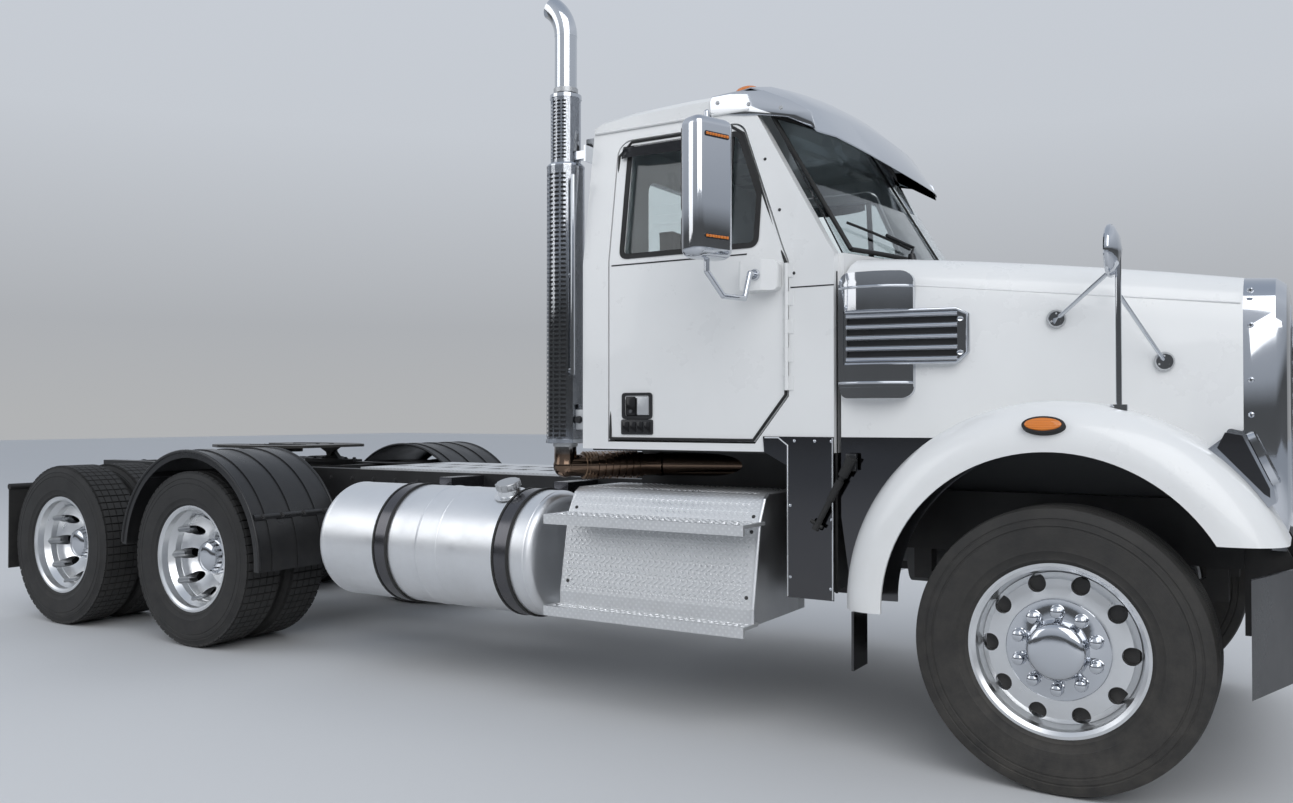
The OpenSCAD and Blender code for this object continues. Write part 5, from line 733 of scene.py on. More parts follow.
@dataclass(frozen=True)
class Wheels:
    """Tyres with their treads, and the bright covers on the hubs."""

    radius: float = 0.5325
    half_width: float = 0.1375
    bead: float = 0.3165
    stud_circle: float = 0.142875
    studs: int = 10
    twin_offset: float = 0.165
    blocks: int = 66
    groove: float = 0.013

    def build(self, shop: Workshop) -> None:
        """Makes the tyres and hub covers of all six wheels."""
        for side, sign in SIDES.items():
            self._steer_tyre(shop, side, sign)
            self._steer_hub(shop, side, sign)
            for axle, along in DRIVE_X.items():
                self._drive_tyres(shop, axle, side, along, sign)
                self._drive_hub(shop, axle, side, along, sign)

    def _wall(self, shoulder: float) -> list[Flat]:
        """Gives a side wall as pairs of radius and distance from the tyre's middle, from bead to shoulder."""
        half = self.half_width
        return [(self.bead, half - 0.034), (self.bead + 0.006, half - 0.022), (0.331, half - 0.0165),
                (0.336, half - 0.0105), (0.342, half - 0.0115), (0.35, half - 0.0095), (0.366, half - 0.0045),
                (0.369, half - 0.0025), (0.373, half - 0.0028), (0.395, half - 0.0008), (0.425, half),
                (0.452, half - 0.0012), (0.455, half - 0.0042), (0.459, half - 0.0042), (0.462, half - 0.0016),
                (0.48, half - 0.0042), (0.483, half - 0.0075), (0.487, half - 0.0078), (0.49, half - 0.0058),
                (shoulder - 0.012, half - 0.0098), (shoulder, half - 0.015)]

    def _steer_tyre(self, shop: Workshop, side: str, sign: float) -> None:
        """Makes a front tyre with ribs round it."""
        crown, low = self.radius, self.radius - self.groove
        tread: list[Flat] = [(crown - 0.0085, 0.119), (crown - 0.0045, 0.112)]
        for middle, width in ((0.078, 0.0105), (0.029, 0.0105)):
            tread += [(crown - 0.0006, middle + width / 2 + 0.0008), (low, middle + width / 2 - 0.0015),
                      (low, middle - width / 2 + 0.0015), (crown - 0.0004, middle - width / 2 - 0.0008)]
        half = self._wall(crown - 0.0175) + tread
        profile = half + [(radius, -far) for radius, far in reversed(half)]
        draft = shop.draft(f"tread_tyre_steer_{side}", "tyre_steer", f"steer_wheel_{side}", 26.0,
                replaces=f"steer_tyre_{side}")
        draft.lathe(profile, (AXLE_X, sign * STEER_Y, AXLE_Z), (0, 1.0, 0), 144, closed=True)

    def _drive_tyres(self, shop: Workshop, axle: str, side: str, along: float, sign: float) -> None:
        """Makes a pair of drive tyres with raised blocks."""
        low = self.radius - self.groove - 0.0006
        half = self._wall(low - 0.012) + [(low - 0.0035, 0.119), (low, 0.112), (low, 0.072), (low, 0.024)]
        profile = half + [(radius, -far) for radius, far in reversed(half)]
        draft = shop.draft(f"tread_tyres_{axle}_{side}", f"tyre_drive_{axle}", f"drive_wheel_{axle}_{side}", 26.0,
                replaces=f"drive_tyre_{axle}_{side}")
        for twin in (-1.0, 1.0):
            centre = (along, sign * (DRIVE_Y + twin * self.twin_offset), AXLE_Z)
            faces = draft.lathe(profile, centre, (0, 1.0, 0), self.blocks, closed=True)
            axis = Vector((along, 0, AXLE_Z))
            tops = [face for face in faces if ((face.calc_center_median() - axis) * Vector((1.0, 0,
                    1.0))).length > low - 0.0045]
            bmesh.ops.recalc_face_normals(draft.mesh, faces=faces)
            bmesh.ops.inset_individual(draft.mesh, faces=tops, thickness=0.0042, depth=self.groove - 0.0004,
                    use_even_offset=True)

    def _steer_hub(self, shop: Workshop, side: str, sign: float) -> None:
        """Makes the front hub's domed cover, its flange and the stud covers, and a black ring inside the rim that is
        painted shade.
        """
        way = (0, sign, 0)
        face = sign * (STEER_Y + 0.0895)
        draft = shop.draft(f"hub_cover_steer_{side}", "chrome", f"steer_wheel_{side}")
        dome = [(0.1875, -0.012), (0.1875, 0.002), (0.185, 0.0045), (0.12, 0.006), (0.113, 0.009), (0.11, 0.03),
                (0.107, 0.044), (0.099, 0.056), (0.085, 0.0635), (0.06, 0.068), (0.03, 0.07), (0, 0.0705)]
        draft.lathe(dome, (AXLE_X, face, AXLE_Z), way, 56)
        self._stud_covers(draft, AXLE_X, face, sign, 0.0235, 0.05)
        # Painted shade: a black ring between the brake drum and the rim's barrel, where the wheel's inside lies in
        # shadow.
        ring = shop.draft(f"dust_ring_steer_{side}", "cast_black", f"steer_wheel_{side}")
        ring.hoop(0.216, 0.2725, (0.034, 0.038), (AXLE_X, sign * STEER_Y, AXLE_Z), way, 56)

    def _drive_hub(self, shop: Workshop, axle: str, side: str, along: float, sign: float) -> None:
        """Makes a drive hub's cap and its stud covers."""
        way = (0, sign, 0)
        face = sign * (DRIVE_Y + 0.0235)
        draft = shop.draft(f"hub_cover_{axle}_{side}", "chrome", f"drive_wheel_{axle}_{side}")
        cap = [(0.112, 0.004), (0.11, 0.09), (0.106, 0.098), (0.101, 0.101), (0.096, 0.104), (0.093, 0.132),
               (0.086, 0.146), (0.068, 0.155), (0.04, 0.159), (0, 0.16)]
        draft.lathe(cap, (along, face, AXLE_Z), way, 48)
        self._stud_covers(draft, along, face, sign, 0.0175, 0.034)

    def _stud_covers(self, draft: Draft, along: float, face: float, sign: float, radius: float, height: float) -> None:
        """Adds a ring of stud covers with round tops."""
        cover = [(radius * 1.12, -0.001), (radius * 1.12, 0.006), (radius, 0.008), (radius * 0.94, height * 0.72),
                 (radius * 0.78, height * 0.9), (radius * 0.45, height * 0.985), (0, height)]
        for index in range(self.studs):
            angle = radians((index + 0.5) * 360.0 / self.studs)
            spot = (along + self.stud_circle * cos(angle), face, AXLE_Z + self.stud_circle * sin(angle))
            draft.lathe(cover, spot, (0, sign, 0), 16)


@dataclass(frozen=True)
class DoorTrim:
    """One door's seals, handle, mould lines (the belt crease as a black strip of painted shade), weather shade and the
    fittings of its mirror.
    """

    side: str
    sign: float

    @property
    def body(self) -> str:
        """Name of the door's body."""
        return f"door_{self.side}"

    def _drafts(self, shop: Workshop, **finishes: str) -> list[Draft]:
        """Opens drafts that move with the door, given as piece names less the side and finishes."""
        return [shop.draft(f"{name}_{self.side}", finish, self.body) for name, finish in finishes.items()]

    def on_wall(self, flat: Flat, out: float = 0.0) -> Point:
        """Gives a point on the door's outer face, or outside it, from its place along the truck and its height."""
        return flat[0], self.sign * (wall_y(flat[1]) + out), flat[1]

    def build(self, shop: Workshop) -> None:
        """Makes the door's fittings."""
        self._window_seal(shop)
        self._lines(shop)
        self._handle(shop)
        self._shade(shop)
        self._mirror(shop)

    def _window_corners(self, grow: float, steps: int = 5, radius: float = 0.035) -> list[Flat]:
        """Gives the window's outline, grown and with round corners."""
        cut = grow * 1.2
        flats = [(1.878 + grow, 2.16 - grow), (1.878 + grow, 2.395 + cut * 0.2), (1.765 + cut, 2.69 + grow),
                 (1.168 - grow, 2.69 + grow), (1.168 - grow, 2.16 - grow)]
        points: list[Flat] = []
        count = len(flats)
        for index, corner in enumerate(flats):
            here = Vector(corner)
            back = (Vector(flats[index - 1]) - here).normalized()
            ahead = (Vector(flats[(index + 1) % count]) - here).normalized()
            reach = (radius + grow) * (0.35 if index == 1 else 1.0)
            start, end = here + back * reach, here + ahead * reach
            for step in range(steps + 1):
                share = step / steps
                spot = start * (1 - share) ** 2 + here * 2 * share * (1 - share) + end * share ** 2
                points.append((spot.x, spot.y))
        return points

    def _window_seal(self, shop: Workshop) -> None:
        """Lays the black rubber round the window."""
        draft = self._drafts(shop, window_seal="black_rubber")[0]
        outer = [self.on_wall(flat, -0.001) for flat in self._window_corners(0.013)]
        inner = [self.on_wall(flat, -0.001) for flat in self._window_corners(-0.012)]
        draft.band(outer, inner, Vector((0, self.sign * 0.0055, 0)))
        channel = [self.on_wall((1.7, 2.15), -0.012), self.on_wall((1.73, 2.15), -0.012),
                   self.on_wall((1.73, 2.7), -0.012), self.on_wall((1.7, 2.7), -0.012)]
        draft.panel(channel, Vector((0, self.sign * 0.01, 0)))

    def _lines(self, shop: Workshop) -> None:
        """Makes a black strip of painted shade in the belt crease under the window, and the seam inside the door's
        edge.
        """
        draft = self._drafts(shop, belt_line="black_rubber")[0]
        # Painted shade: a thin black strip along the belt crease's shadow line.
        draft.block((1.112, self.sign * 0.998, 2.117), (1.835, self.sign * 1.0012, 2.1235))
        edge = [(1.107, 1.29), (1.866, 1.29), (2.0235, 1.491), (2.0235, 2.07), (1.778, 2.688), (1.716, 2.728),
                (1.172, 2.728), (1.107, 2.664)]
        path = [self.on_wall(flat, 0.0002) for flat in edge + edge[:1]]
        shop.tube(f"door_edge_seal_{self.side}", [path], 0.0075, "black_rubber", self.body)

    def _plate(self, draft: Draft, low: Flat, high: Flat, radius: float, start: float, depth: float,
               bevel: float = 0.0) -> None:
        """Adds a plate with round corners, whose start and depth count outwards from the door's side."""
        outline = [(x, self.sign * (1.0 + start), z) for x, z in rounded(low, high, radius)]
        draft.panel(outline, Vector((0, self.sign * depth, 0)), bevel)

    def _handle(self, shop: Workshop) -> None:
        """Makes the handle's frame with its paddle and lock, and the small grid plate below."""
        tray, paddle, pull, lock = self._drafts(shop, handle_tray="black_plastic", handle_paddle="dark_gloss",
                handle_pull="galvanised", door_lock="chrome")
        outer = rounded((1.174, 1.384), (1.343, 1.508), 0.016)
        inner = rounded((1.19, 1.398), (1.327, 1.494), 0.01)
        rim, lip = ([(x, self.sign, z) for x, z in outline] for outline in (outer, inner))
        tray.band(rim, lip, Vector((0, self.sign * 0.006, 0)))
        self._plate(tray, (1.191, 1.359), (1.319, 1.482), 0.016, -0.0135, 0.002)
        self._plate(tray, (1.17, 1.31), (1.346, 1.381), 0.008, 0, 0.0065, 0.002)
        self._plate(paddle, (1.193, 1.401), (1.25, 1.491), 0.006, -0.0105, 0.0125, 0.004)
        for index in range(4):
            x = 1.18 + index * 0.04
            self._plate(paddle, (x, 1.32), (x + 0.034, 1.371), 0.004, 0.006, 0.0035, 0.0012)
        self._plate(pull, (1.256, 1.401), (1.324, 1.491), 0.008, -0.0105, 0.015, 0.006)
        lock.cone((1.222, self.sign, 1.42), (1.222, self.sign * 1.005, 1.42), 0.01, 0.009, 16)

    def _shade(self, shop: Workshop) -> None:
        """Makes the dark weather shade over the window's rear part."""
        draft = self._drafts(shop, weather_shade="smoked_acrylic")[0]
        spans = 14
        loops = []
        for index in range(spans + 1):
            share = index / spans
            x = 1.125 + share * 0.56
            swell = 0.03 * (1.0 - (2.0 * share - 1.0) ** 6)
            top = self.on_wall((x, 2.712), 0)
            mid = self.on_wall((x, 2.694), 0.006 + swell * 0.8)
            tip = self.on_wall((x, 2.648 - 0.01 * sin(pi * share)), 0.01 + swell)
            loops.append([draft.mesh.verts.new(point) for point in (top, mid, tip)])
        for left, right in zip(loops, loops[1:]):
            for step in range(2):
                draft.mesh.faces.new((left[step], left[step + 1], right[step + 1], right[step]))
        bmesh.ops.solidify(draft.mesh, geom=list(draft.mesh.faces), thickness=0.003)

    def _mirror(self, shop: Workshop) -> None:
        """Makes the mirror's turned housing with its arms, in place of the plain solid, and its glass and lamps."""
        sign, turn = self.sign, radians(20.0)
        centre = Vector((1.835, sign * 1.375, 2.345))
        ahead = Vector((cos(turn), sign * sin(turn), 0))
        aside = Vector((-sin(turn), sign * cos(turn), 0))

        def at(depth: float, width: float, height: float) -> Vector:
            """Gives a point in the turned housing."""
            return centre + ahead * depth + aside * width + Vector((0, 0, height))

        head = shop.draft(f"mirror_housing_{self.side}", "chrome", self.body, 40.0, replaces=f"mirror_{self.side}")
        place = Matrix.Translation(centre) @ Matrix.Rotation(sign * turn, 4,
                "Z") @ Matrix.Diagonal((0.125, 0.215, 0.59, 1.0))
        head.cube(place, 0.042, 6)
        lower = ((1.835, 1.375, 2.07), (1.835, 1.375, 2.0), (1.885, 1.325, 1.9), (1.9175, 1.19, 1.9),
                 (1.9175, 1.14, 2.0125), (1.9175, 1.0915, 2.0125))
        upper = ((1.835, 1.375, 2.62), (1.835, 1.375, 2.665), (1.67, 0.963, 2.712), (1.67, 0.918, 2.712))
        for path in (lower, upper):
            spots = [Vector((x, sign * y, z)) for x, y, z in path]
            for start, end in zip(spots, spots[1:]):
                head.cone(start, end, 0.0125, steps=16)
            for spot in spots[1:-1]:
                head.ball(spot, (0.0127, 0.0127, 0.0127), 14)
        for x, y, z in (upper[-1], lower[-1]):
            head.cone((x, sign * (y - 0.001), z), (x, sign * (y + 0.012), z), 0.026, 0.021, 20)
        glass, rim = self._drafts(shop, mirror_glass="mirror_glass", mirror_glass_rim="black_rubber")
        for low, high in ((-0.095, 0.262), (-0.262, -0.115)):
            glass.panel([at(-0.0615, w, h) for w, h in rounded((-0.078, low), (0.078, high), 0.018)], ahead * -0.004)
            rim.band([at(-0.061, w, h) for w, h in rounded((-0.084, low - 0.006), (0.084, high + 0.006), 0.022)],
                     [at(-0.061, w, h) for w, h in rounded((-0.077, low + 0.001), (0.077, high - 0.001), 0.018)],
                     ahead * -0.007)
        strip, bezel = self._drafts(shop, mirror_lamps="amber_lens", mirror_lamp_rim="black_plastic")
        for height in (0.212, -0.208):
            bezel.panel([at(0.062, w, height + h) for w, h in rounded((-0.068, -0.011), (0.068, 0.011), 0.009)],
                        ahead * 0.003, 0.001)
            for index in range(8):
                w = -0.062 + index * 0.0158
                strip.panel([at(0.0645, w + dw, height + h) for dw, h in rounded((0, -0.0055), (0.0132, 0.0055), 0.002,
                        2)], ahead * 0.004, 0.0012)


@dataclass(frozen=True)
class CabTrim:
    """The cab's screen seals, wipers, seams, roof lamps, visor fittings and the brackets on its back."""

    def build(self, shop: Workshop) -> None:
        """Makes the fittings of the cab."""
        self._screen_seal(shop)
        self._wipers(shop)
        self._seams(shop)
        self._roof_lamps(shop)
        self._visor(shop)
        self._rear(shop)

    @staticmethod
    def _on_screen(across: float, height: float, out: float = 0.0) -> Point:
        """Gives a point on the windscreen, or outside it."""
        lean = Vector((0.7, 0, 0.425)).normalized() * out
        return screen_x(across, height) + lean.x, across, height + lean.z

    def _screen_seal(self, shop: Workshop) -> None:
        """Lays the rubber round the windscreen."""
        half, low, high = 0.885, 2.118, 2.76
        lower = [self._on_screen(half * (2 * i / 16 - 1), low, 0.006) for i in range(17)]
        upper = [self._on_screen(0.86 * (1 - 2 * i / 16), high, 0.006) for i in range(17)]
        path = lower + [self._on_screen(0.873, 2.44, 0.006)] + upper + [self._on_screen(-0.873, 2.44, 0.006), lower[0]]
        shop.tube("screen_seal", [path], 0.011, "black_rubber")
        shop.tube("screen_divider", [[self._on_screen(0, low + 0.64 * i / 6, 0.004) for i in range(7)]], 0.006,
                  "black_rubber")

    def _wipers(self, shop: Workshop) -> None:
        """Makes the two wipers with their arms and blades."""
        arms, blades = [], []
        for sign in SIGNS:
            foot = self._on_screen(sign * 0.4 - 0.1, 2.112, 0.05)
            knee = self._on_screen(sign * 0.4 + sign * 0.02, 2.155, 0.045)
            tip = self._on_screen(sign * 0.58, 2.205, 0.03)
            arms.append([foot, knee, tip])
            blades.append([self._on_screen(sign * (0.4 + 0.42 * i / 6), 2.165 + 0.075 * i / 6, 0.02) for i in range(7)])
        shop.tube("wiper_arms", arms, 0.008, "black_plastic")
        shop.tube("wiper_blades", blades, 0.0065, "black_rubber", steps=2)
        pivots = shop.draft("wiper_pivots", "black_plastic")
        for path in arms:
            pivots.cone(path[0], (path[0][0] + 0.01, path[0][1], path[0][2] - 0.06), 0.016, 0.022, 16)

    def _seams(self, shop: Workshop) -> None:
        """Makes the cowl's seam, the roof's gutter and the rivets on the pillars."""
        seams, rivets = shop.drafts("chassis", cowl_seams="black_rubber", pillar_rivets="black_plastic")
        for sign in SIGNS:
            seams.block((2.046, sign * 0.998, 1.955), (2.246, sign * 1.0012, 1.9605))
            for x, height in ((1.896, 2.551), (1.983, 2.308), (2.062, 2.02)):
                rivets.button((x, sign * wall_y(height), height), (0, sign, 0.1), 0.008, 0.004)
        gutter = [[(0.955, sign * 0.905, 2.8), (1.5, sign * 0.905, 2.8), (1.8, sign * 0.905, 2.796)] for sign in SIGNS]
        shop.tube("roof_gutters", gutter, 0.008, "white_paint")

    def _roof_lamps(self, shop: Workshop) -> None:
        """Puts a bright foot and a lens on each roof lamp."""
        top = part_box("roof_lamps")[1].z
        feet, lenses = shop.drafts("chassis", roof_lamp_feet="chrome", roof_lamp_lenses="amber_lens")
        for share in (-0.66, -0.3, 0, 0.3, 0.66):
            y = 0.9 * share
            x = screen_x(y, 2.8) - 0.29
            lenses.ball((x, y, top - 0.03), (0.062, 0.04, 0.032), 20)
            outline = [(x - 0.085 + 0.17 * i, y - 0.05 + 0.1 * j, top - 0.062) for i,
                       j in ((0, 0), (1, 0), (1, 1), (0, 1))]
            feet.panel(outline, Vector((0, 0, 0.02)), 0.012)
        for sign in SIGNS:
            place = (1.735, sign * 0.79)
            feet.lathe([(0, -0.03), (0.062, -0.03), (0.06, 0.018), (0.05, 0.03), (0, 0.032)], (*place, 2.88), UP, 24)
            lenses.ball((*place, 2.915), (0.062, 0.036, 0.03), 20)

    def _visor(self, shop: Workshop) -> None:
        """Makes the visor's ends, which wrap round the roof's corners, and the bolts along its root."""
        bolts, ends = shop.drafts("chassis", visor_bolts="galvanised", visor_ends="chrome")
        for index in range(9):
            y = 0.84 * (index / 4 - 1)
            bolts.bolt((screen_x(y, 2.8) - 0.055, y, 2.838 + 0.018 * (1 - y * y)), (0.35, 0, 1.0), 0.008, 0.006)
        for sign in SIGNS:
            outline = [(1.612, 2.884), (1.6, 2.86), (1.604, 2.806), (1.79, 2.77), (1.86, 2.762), (1.99, 2.735),
                       (2.11, 2.672), (2.128, 2.664), (2.105, 2.742), (2.0, 2.812), (1.875, 2.872), (1.74, 2.89)]
            ends.panel([(x, sign * 0.9035, z) for x, z in outline], Vector((0, sign * 0.006, 0)), 0.002)
            for x, z in ((1.64, 2.85), (1.8, 2.82), (1.96, 2.78)):
                bolts.bolt((x, sign * 0.909, z), (0, sign, 0), 0.007, 0.005)

    def _rear(self, shop: Workshop) -> None:
        """Makes the brackets and fittings at the cab's rear corners."""
        plates, lamps = shop.drafts("chassis", cab_corner_brackets="galvanised", cab_corner_fittings="black_plastic")
        for sign in SIGNS:
            for low, high in ((2.7, 2.79), (1.33, 1.43)):
                y = sign * (wall_y((low + high) / 2) - 0.07)
                plates.block((0.88, y, low), (0.946, y + sign * 0.045, high), 0.006)
                lamps.cone((0.905, y + sign * 0.04, (low + high) / 2), (0.905, y + sign * 0.062, (low + high) / 2),
                           0.02, 0.016, 16)


@dataclass(frozen=True)
class HoodTrim:
    """The louvre bars of the side intakes, the small round mirrors' glass, the latches and the hood's creases."""

    slot_rear: float = 2.309
    slot_front: float = 2.749
    slot_heights: tuple[float, ...] = (1.6574, 1.7031, 1.7489, 1.7946)
    slot_half: float = 0.0119
    louvre_rise: float = 0.034
    mirror_post: Point = (3.371, 1.03, 2.01)
    stay_feet: tuple[Flat, ...] = ((3.12, 1.782), (3.5, 1.606))

    def build(self, shop: Workshop) -> None:
        """Makes the hood's fittings."""
        self._louvres(shop)
        self._mirrors(shop)
        self._latches(shop)

    @staticmethod
    def _beside(along: float, height: float, out: float, sign: float) -> Point:
        """Gives a point outside the hood's side."""
        return along, sign * (hood_half(along) + out), height

    def _louvres(self, shop: Workshop) -> None:
        """Makes the black plates of painted shade in the slots, and the bright bars, rim and small lamps of both side
        intakes.
        """
        slots, lamps = shop.drafts("hood", intake_slots="black_plastic", intake_lamps="clear_lens")
        bars, rims = [], []
        pitch = self.slot_heights[1] - self.slot_heights[0]
        for sign in SIGNS:
            for height in self.slot_heights:
                flats = ((self.slot_rear, height - self.slot_half), (self.slot_front, height - self.slot_half),
                         (self.slot_front, height + self.slot_half), (self.slot_rear, height + self.slot_half))
                # Painted shade: a black plate in each slot.
                slots.panel([self._beside(x, z, 0.008, sign) for x, z in flats], Vector((0, sign * 0.003, 0)))
            ridges = [height + pitch / 2 for height in self.slot_heights] + [self.slot_heights[0] - pitch / 2]
            for ridge in ridges:
                bars.append([self._beside(x, ridge, self.louvre_rise, sign) for x in (self.slot_rear - 0.004,
                        self.slot_front + 0.004)])
            edge = ((2.3, 1.616), (2.748, 1.616), (2.787, 1.656), (2.787, 1.815), (2.748, 1.836), (2.3, 1.836))
            outs = (0.034, 0.034, 0.02, 0.02, 0.034, 0.034)
            rims.append([self._beside(x, z, out, sign) for (x, z), out in zip(edge, outs)])
            bulge = ((2.272, 1.006), (2.308, 1.029), (2.371, 1.0425), (2.435, 1.0406), (2.497, 1.0223), (2.553, 0.989),
                     (2.577, 0.964))
            rims.extend([(along, sign * out, height) for along, out in bulge] for height in (1.536, 1.936))
            for height in (self.slot_heights[0], self.slot_heights[-1]):
                lamps.ball(self._beside(2.762, height, 0.028, sign), (0.014, 0.008, 0.01), 14)
        shop.tube("intake_bars", bars, 0.0085, "chrome", "hood", steps=4)
        shop.tube("intake_rims", rims, 0.006, "chrome", "hood")

    def _mirrors(self, shop: Workshop) -> None:
        """Makes the glass, rims and foot screws of the hood's round mirrors."""
        glass, rims, screws = shop.drafts("hood", hood_mirror_glass="mirror_glass", hood_mirror_rims="chrome",
                hood_mirror_screws="galvanised")
        x, y, z = self.mirror_post
        for sign in SIGNS:
            centre = (x, sign * y, z)
            glass.lathe([(0, 0.0385), (0.045, 0.0375), (0.086, 0.0345), (0.086, 0.03), (0, 0.032)], centre, BACK, 40)
            rims.lathe([(0.085, 0.029), (0.085, 0.037), (0.0925, 0.0385), (0.0985, 0.033), (0.1005, 0.024),
                        (0.0975, 0.019)], centre, BACK, 48, closed=True)
            for along, height in self.stay_feet:
                face = Vector(self._beside(along, height, 0.0138, sign))
                out = Vector((0.1628, sign, 0)).normalized()
                up, side = Vector(UP), out.cross(Vector(UP))
                screws.lathe([(0.0295, -0.004), (0.0295, 0.003), (0.035, 0.003), (0.037, -0.004)], face, out, 28,
                             closed=True)
                for index in range(3):
                    angle = radians(90 + 120 * index)
                    screws.button(face + (side * cos(angle) + up * sin(angle)) * 0.021, out, 0.0042, 0.003)
        creases = [[(along, sign * (hood_half(along) - 0.017), 1.823 + 0.1008 * (3.755 - along)) for along in (2.48,
                2.9, 3.32, 3.752)] for sign in SIGNS]
        shop.tube("hood_creases", creases, 0.0045, "white_paint", "hood")

    def _latches(self, shop: Workshop) -> None:
        """Makes the rubber pull latch on each side, which stays on the hood."""
        straps = []
        grips, plates = shop.drafts("hood", hood_latch_grips="black_rubber", hood_latch_plates="black_plastic")
        for sign in SIGNS:
            y = sign * 1.032
            straps.append([(2.322, y, 1.192), (2.27, y, 1.096), (2.222, y, 1.007), (2.186, y, 0.94)])
            grips.cone((2.338, y, 1.222), (2.296, y, 1.144), 0.024, 0.021, 16)
            grips.cone((2.286, y, 1.126), (2.24, y, 1.04), 0.0175, 0.0165, 16)
            grips.cone((2.196, y, 0.958), (2.172, y, 0.914), 0.013, 0.016, 16)
            grips.cone((2.205, y, 0.924), (2.152, y, 0.952), 0.0085, 0.0085, 12)
            plates.block((2.3, sign * 0.99, 1.166), (2.348, sign * 1.012, 1.24), 0.005)
            for height in (1.176, 1.23):
                plates.button((2.342, sign * 1.01, height), (0, sign, 0), 0.005, 0.004)
        shop.tube("hood_latch_straps", straps, 0.0125, "black_rubber", "hood")


@dataclass(frozen=True)
class NoseTrim:
    """The nose: grille wire, surround bolts, the headlamps' insides and covers, and the amber side markers."""

    arch: Flat = (3.152, 0.631)
    face_low: Flat = (35.8, 0.875)
    face_high: Flat = (49.0, 0.944)
    lamp_span: Flat = (0.776, 0.992)
    aperture: tuple[Flat, Flat] = ((-0.56, 1.066), (0.56, 1.785))

    def build(self, shop: Workshop) -> None:
        """Makes the fittings of the nose."""
        self._grille(shop)
        self._surround(shop)
        self._headlamps(shop)
        self._markers(shop)

    def _round_arch(self, angle: float, radius: float) -> Vector:
        """Gives a point about the wheel arch, across the truck's middle plane."""
        turn = radians(angle)
        return Vector((self.arch[0] + radius * cos(turn), 0, self.arch[1] + radius * sin(turn)))

    def _grille(self, shop: Workshop) -> None:
        """Stretches fine wire behind the grille's bars and sets a bright edge on each bar."""
        (left, low), (right, high) = self.aperture
        wire, edges = shop.drafts("hood", grille_wire="black_plastic", grille_bar_edges="chrome")
        for index in range(57):
            y = left + (right - left) * index / 56
            wire.block((3.8235, y - 0.0014, low), (3.8262, y + 0.0014, high))
        for index in range(37):
            z = low + (high - low) * index / 36
            wire.block((3.8215, left, z - 0.0014), (3.824, right, z + 0.0014))
        for index in range(1, 10):
            z = 1.0403 + 0.7694 * index / 10
            edges.cone((3.857, left - 0.006, z), (3.857, right + 0.006, z), 0.0095, steps=12)

    def _surround(self, shop: Workshop) -> None:
        """Puts the round bolts on the surround's sides and a plain bead round its opening."""
        bolts = shop.draft("surround_bolts", "chrome", "hood")
        for sign in SIGNS:
            for height in (1.866, 1.736, 1.532, 1.402, 1.24, 1.13):
                bolts.button((3.785, sign * 0.7385, height), (0.02, sign, 0), 0.0115, 0.009)
        bead = [(3.905, y, z) for y, z in rounded((-0.592, 1.033), (0.592, 1.817), 0.092, 6)]
        shop.tube("surround_bead", [bead + bead[:1]], 0.01, "chrome", "hood")

    def _headlamps(self, shop: Workshop) -> None:
        """Makes each headlamp's dark tray, two round lamps, light strip, bright rim and clear cover."""
        low, high = self._round_arch(*self.face_low), self._round_arch(*self.face_high)
        up = (high - low).normalized()
        out = Vector((up.z, 0, -up.x))
        tall = (high - low).length
        trays, rings, bulbs, strips, rims, covers, sides = shop.drafts("hood", headlamp_trays="black_plastic",
                headlamp_rings="chrome", headlamp_bulbs="clear_lens", headlamp_strips="clear_lens",
                headlamp_rims="chrome", headlamp_covers="clear_lens", headlamp_flanks="smoked_acrylic")
        for sign in SIGNS:
            across = Vector((0, sign, 0))

            def spot(over: float, rise: float, lift: float = 0.0) -> Vector:
                """Gives a point on the lamp's face: distance from the middle, height and lift."""
                return low + across * over + up * rise + out * lift

            inner, outer = self.lamp_span
            outline = rounded((inner, 0.012), (outer, tall - 0.012), 0.022)
            trays.panel([spot(y, z, -0.001) for y, z in outline], out * 0.004)
            smaller = rounded((inner + 0.01, 0.022), (outer - 0.01, tall - 0.022), 0.014)
            rims.band([spot(y, z, 0) for y, z in outline], [spot(y, z, 0) for y, z in smaller], out * 0.026)
            covers.panel([spot(y, z, 0.023) for y, z in smaller], out * 0.002)
            for share in (0.28, 0.72):
                middle = spot(inner + (outer - inner) * share, tall * 0.56, 0.002)
                cup = [(0.047, 0), (0.047, 0.016), (0.043, 0.018), (0.038, 0.009), (0.036, 0.002)]
                rings.lathe(cup, middle, out, 36, closed=True)
                bulbs.lathe([(0.035, 0.002), (0.034, 0.006), (0.027, 0.013), (0.014, 0.018), (0, 0.0195)], middle, out,
                            28)
            for index in range(9):
                y = inner + 0.022 + index * 0.0198
                block = [spot(y + dy, 0.03 + dz, 0.002) for dy, dz in ((0, 0), (0.0155, 0), (0.0155, 0.014),
                        (0, 0.014))]
                strips.panel(block, out * 0.01, 0.003)
            flank = [self._round_arch(angle, radius) for angle, radius in ((34.6, 0.85), (36.4, 0.868), (48.6, 0.931),
                    (51.6, 0.905), (50.6, 0.846), (36.0, 0.842))]
            sides.panel([point + across * 1.0083 for point in flank], across * 0.0025)

    def _markers(self, shop: Workshop) -> None:
        """Makes the amber marker in its black collar on each fender's crest."""
        collars, lenses = shop.drafts("hood", marker_collars="black_rubber", marker_lenses="amber_lens")
        tip = radians(23.0)
        reach = 0.157
        for sign in SIGNS:
            out = Vector((0, sign * cos(tip), sin(tip)))
            up = Vector((0, -sign * sin(tip), cos(tip)))
            foot = Vector((self.arch[0] - 0.0143, sign * (1.04 + reach * cos(tip)),
                    self.arch[1] + 0.665 + reach * sin(tip)))

            def ring(half_long: float, half_tall: float, lift: float) -> list[Vector]:
                """Gives an oval outline at a lift from the fender."""
                turns = [tau * index / 32 for index in range(32)]
                return [foot + Vector((half_long * cos(turn), 0,
                        0)) + up * (half_tall * sin(turn)) + out * lift for turn in turns]

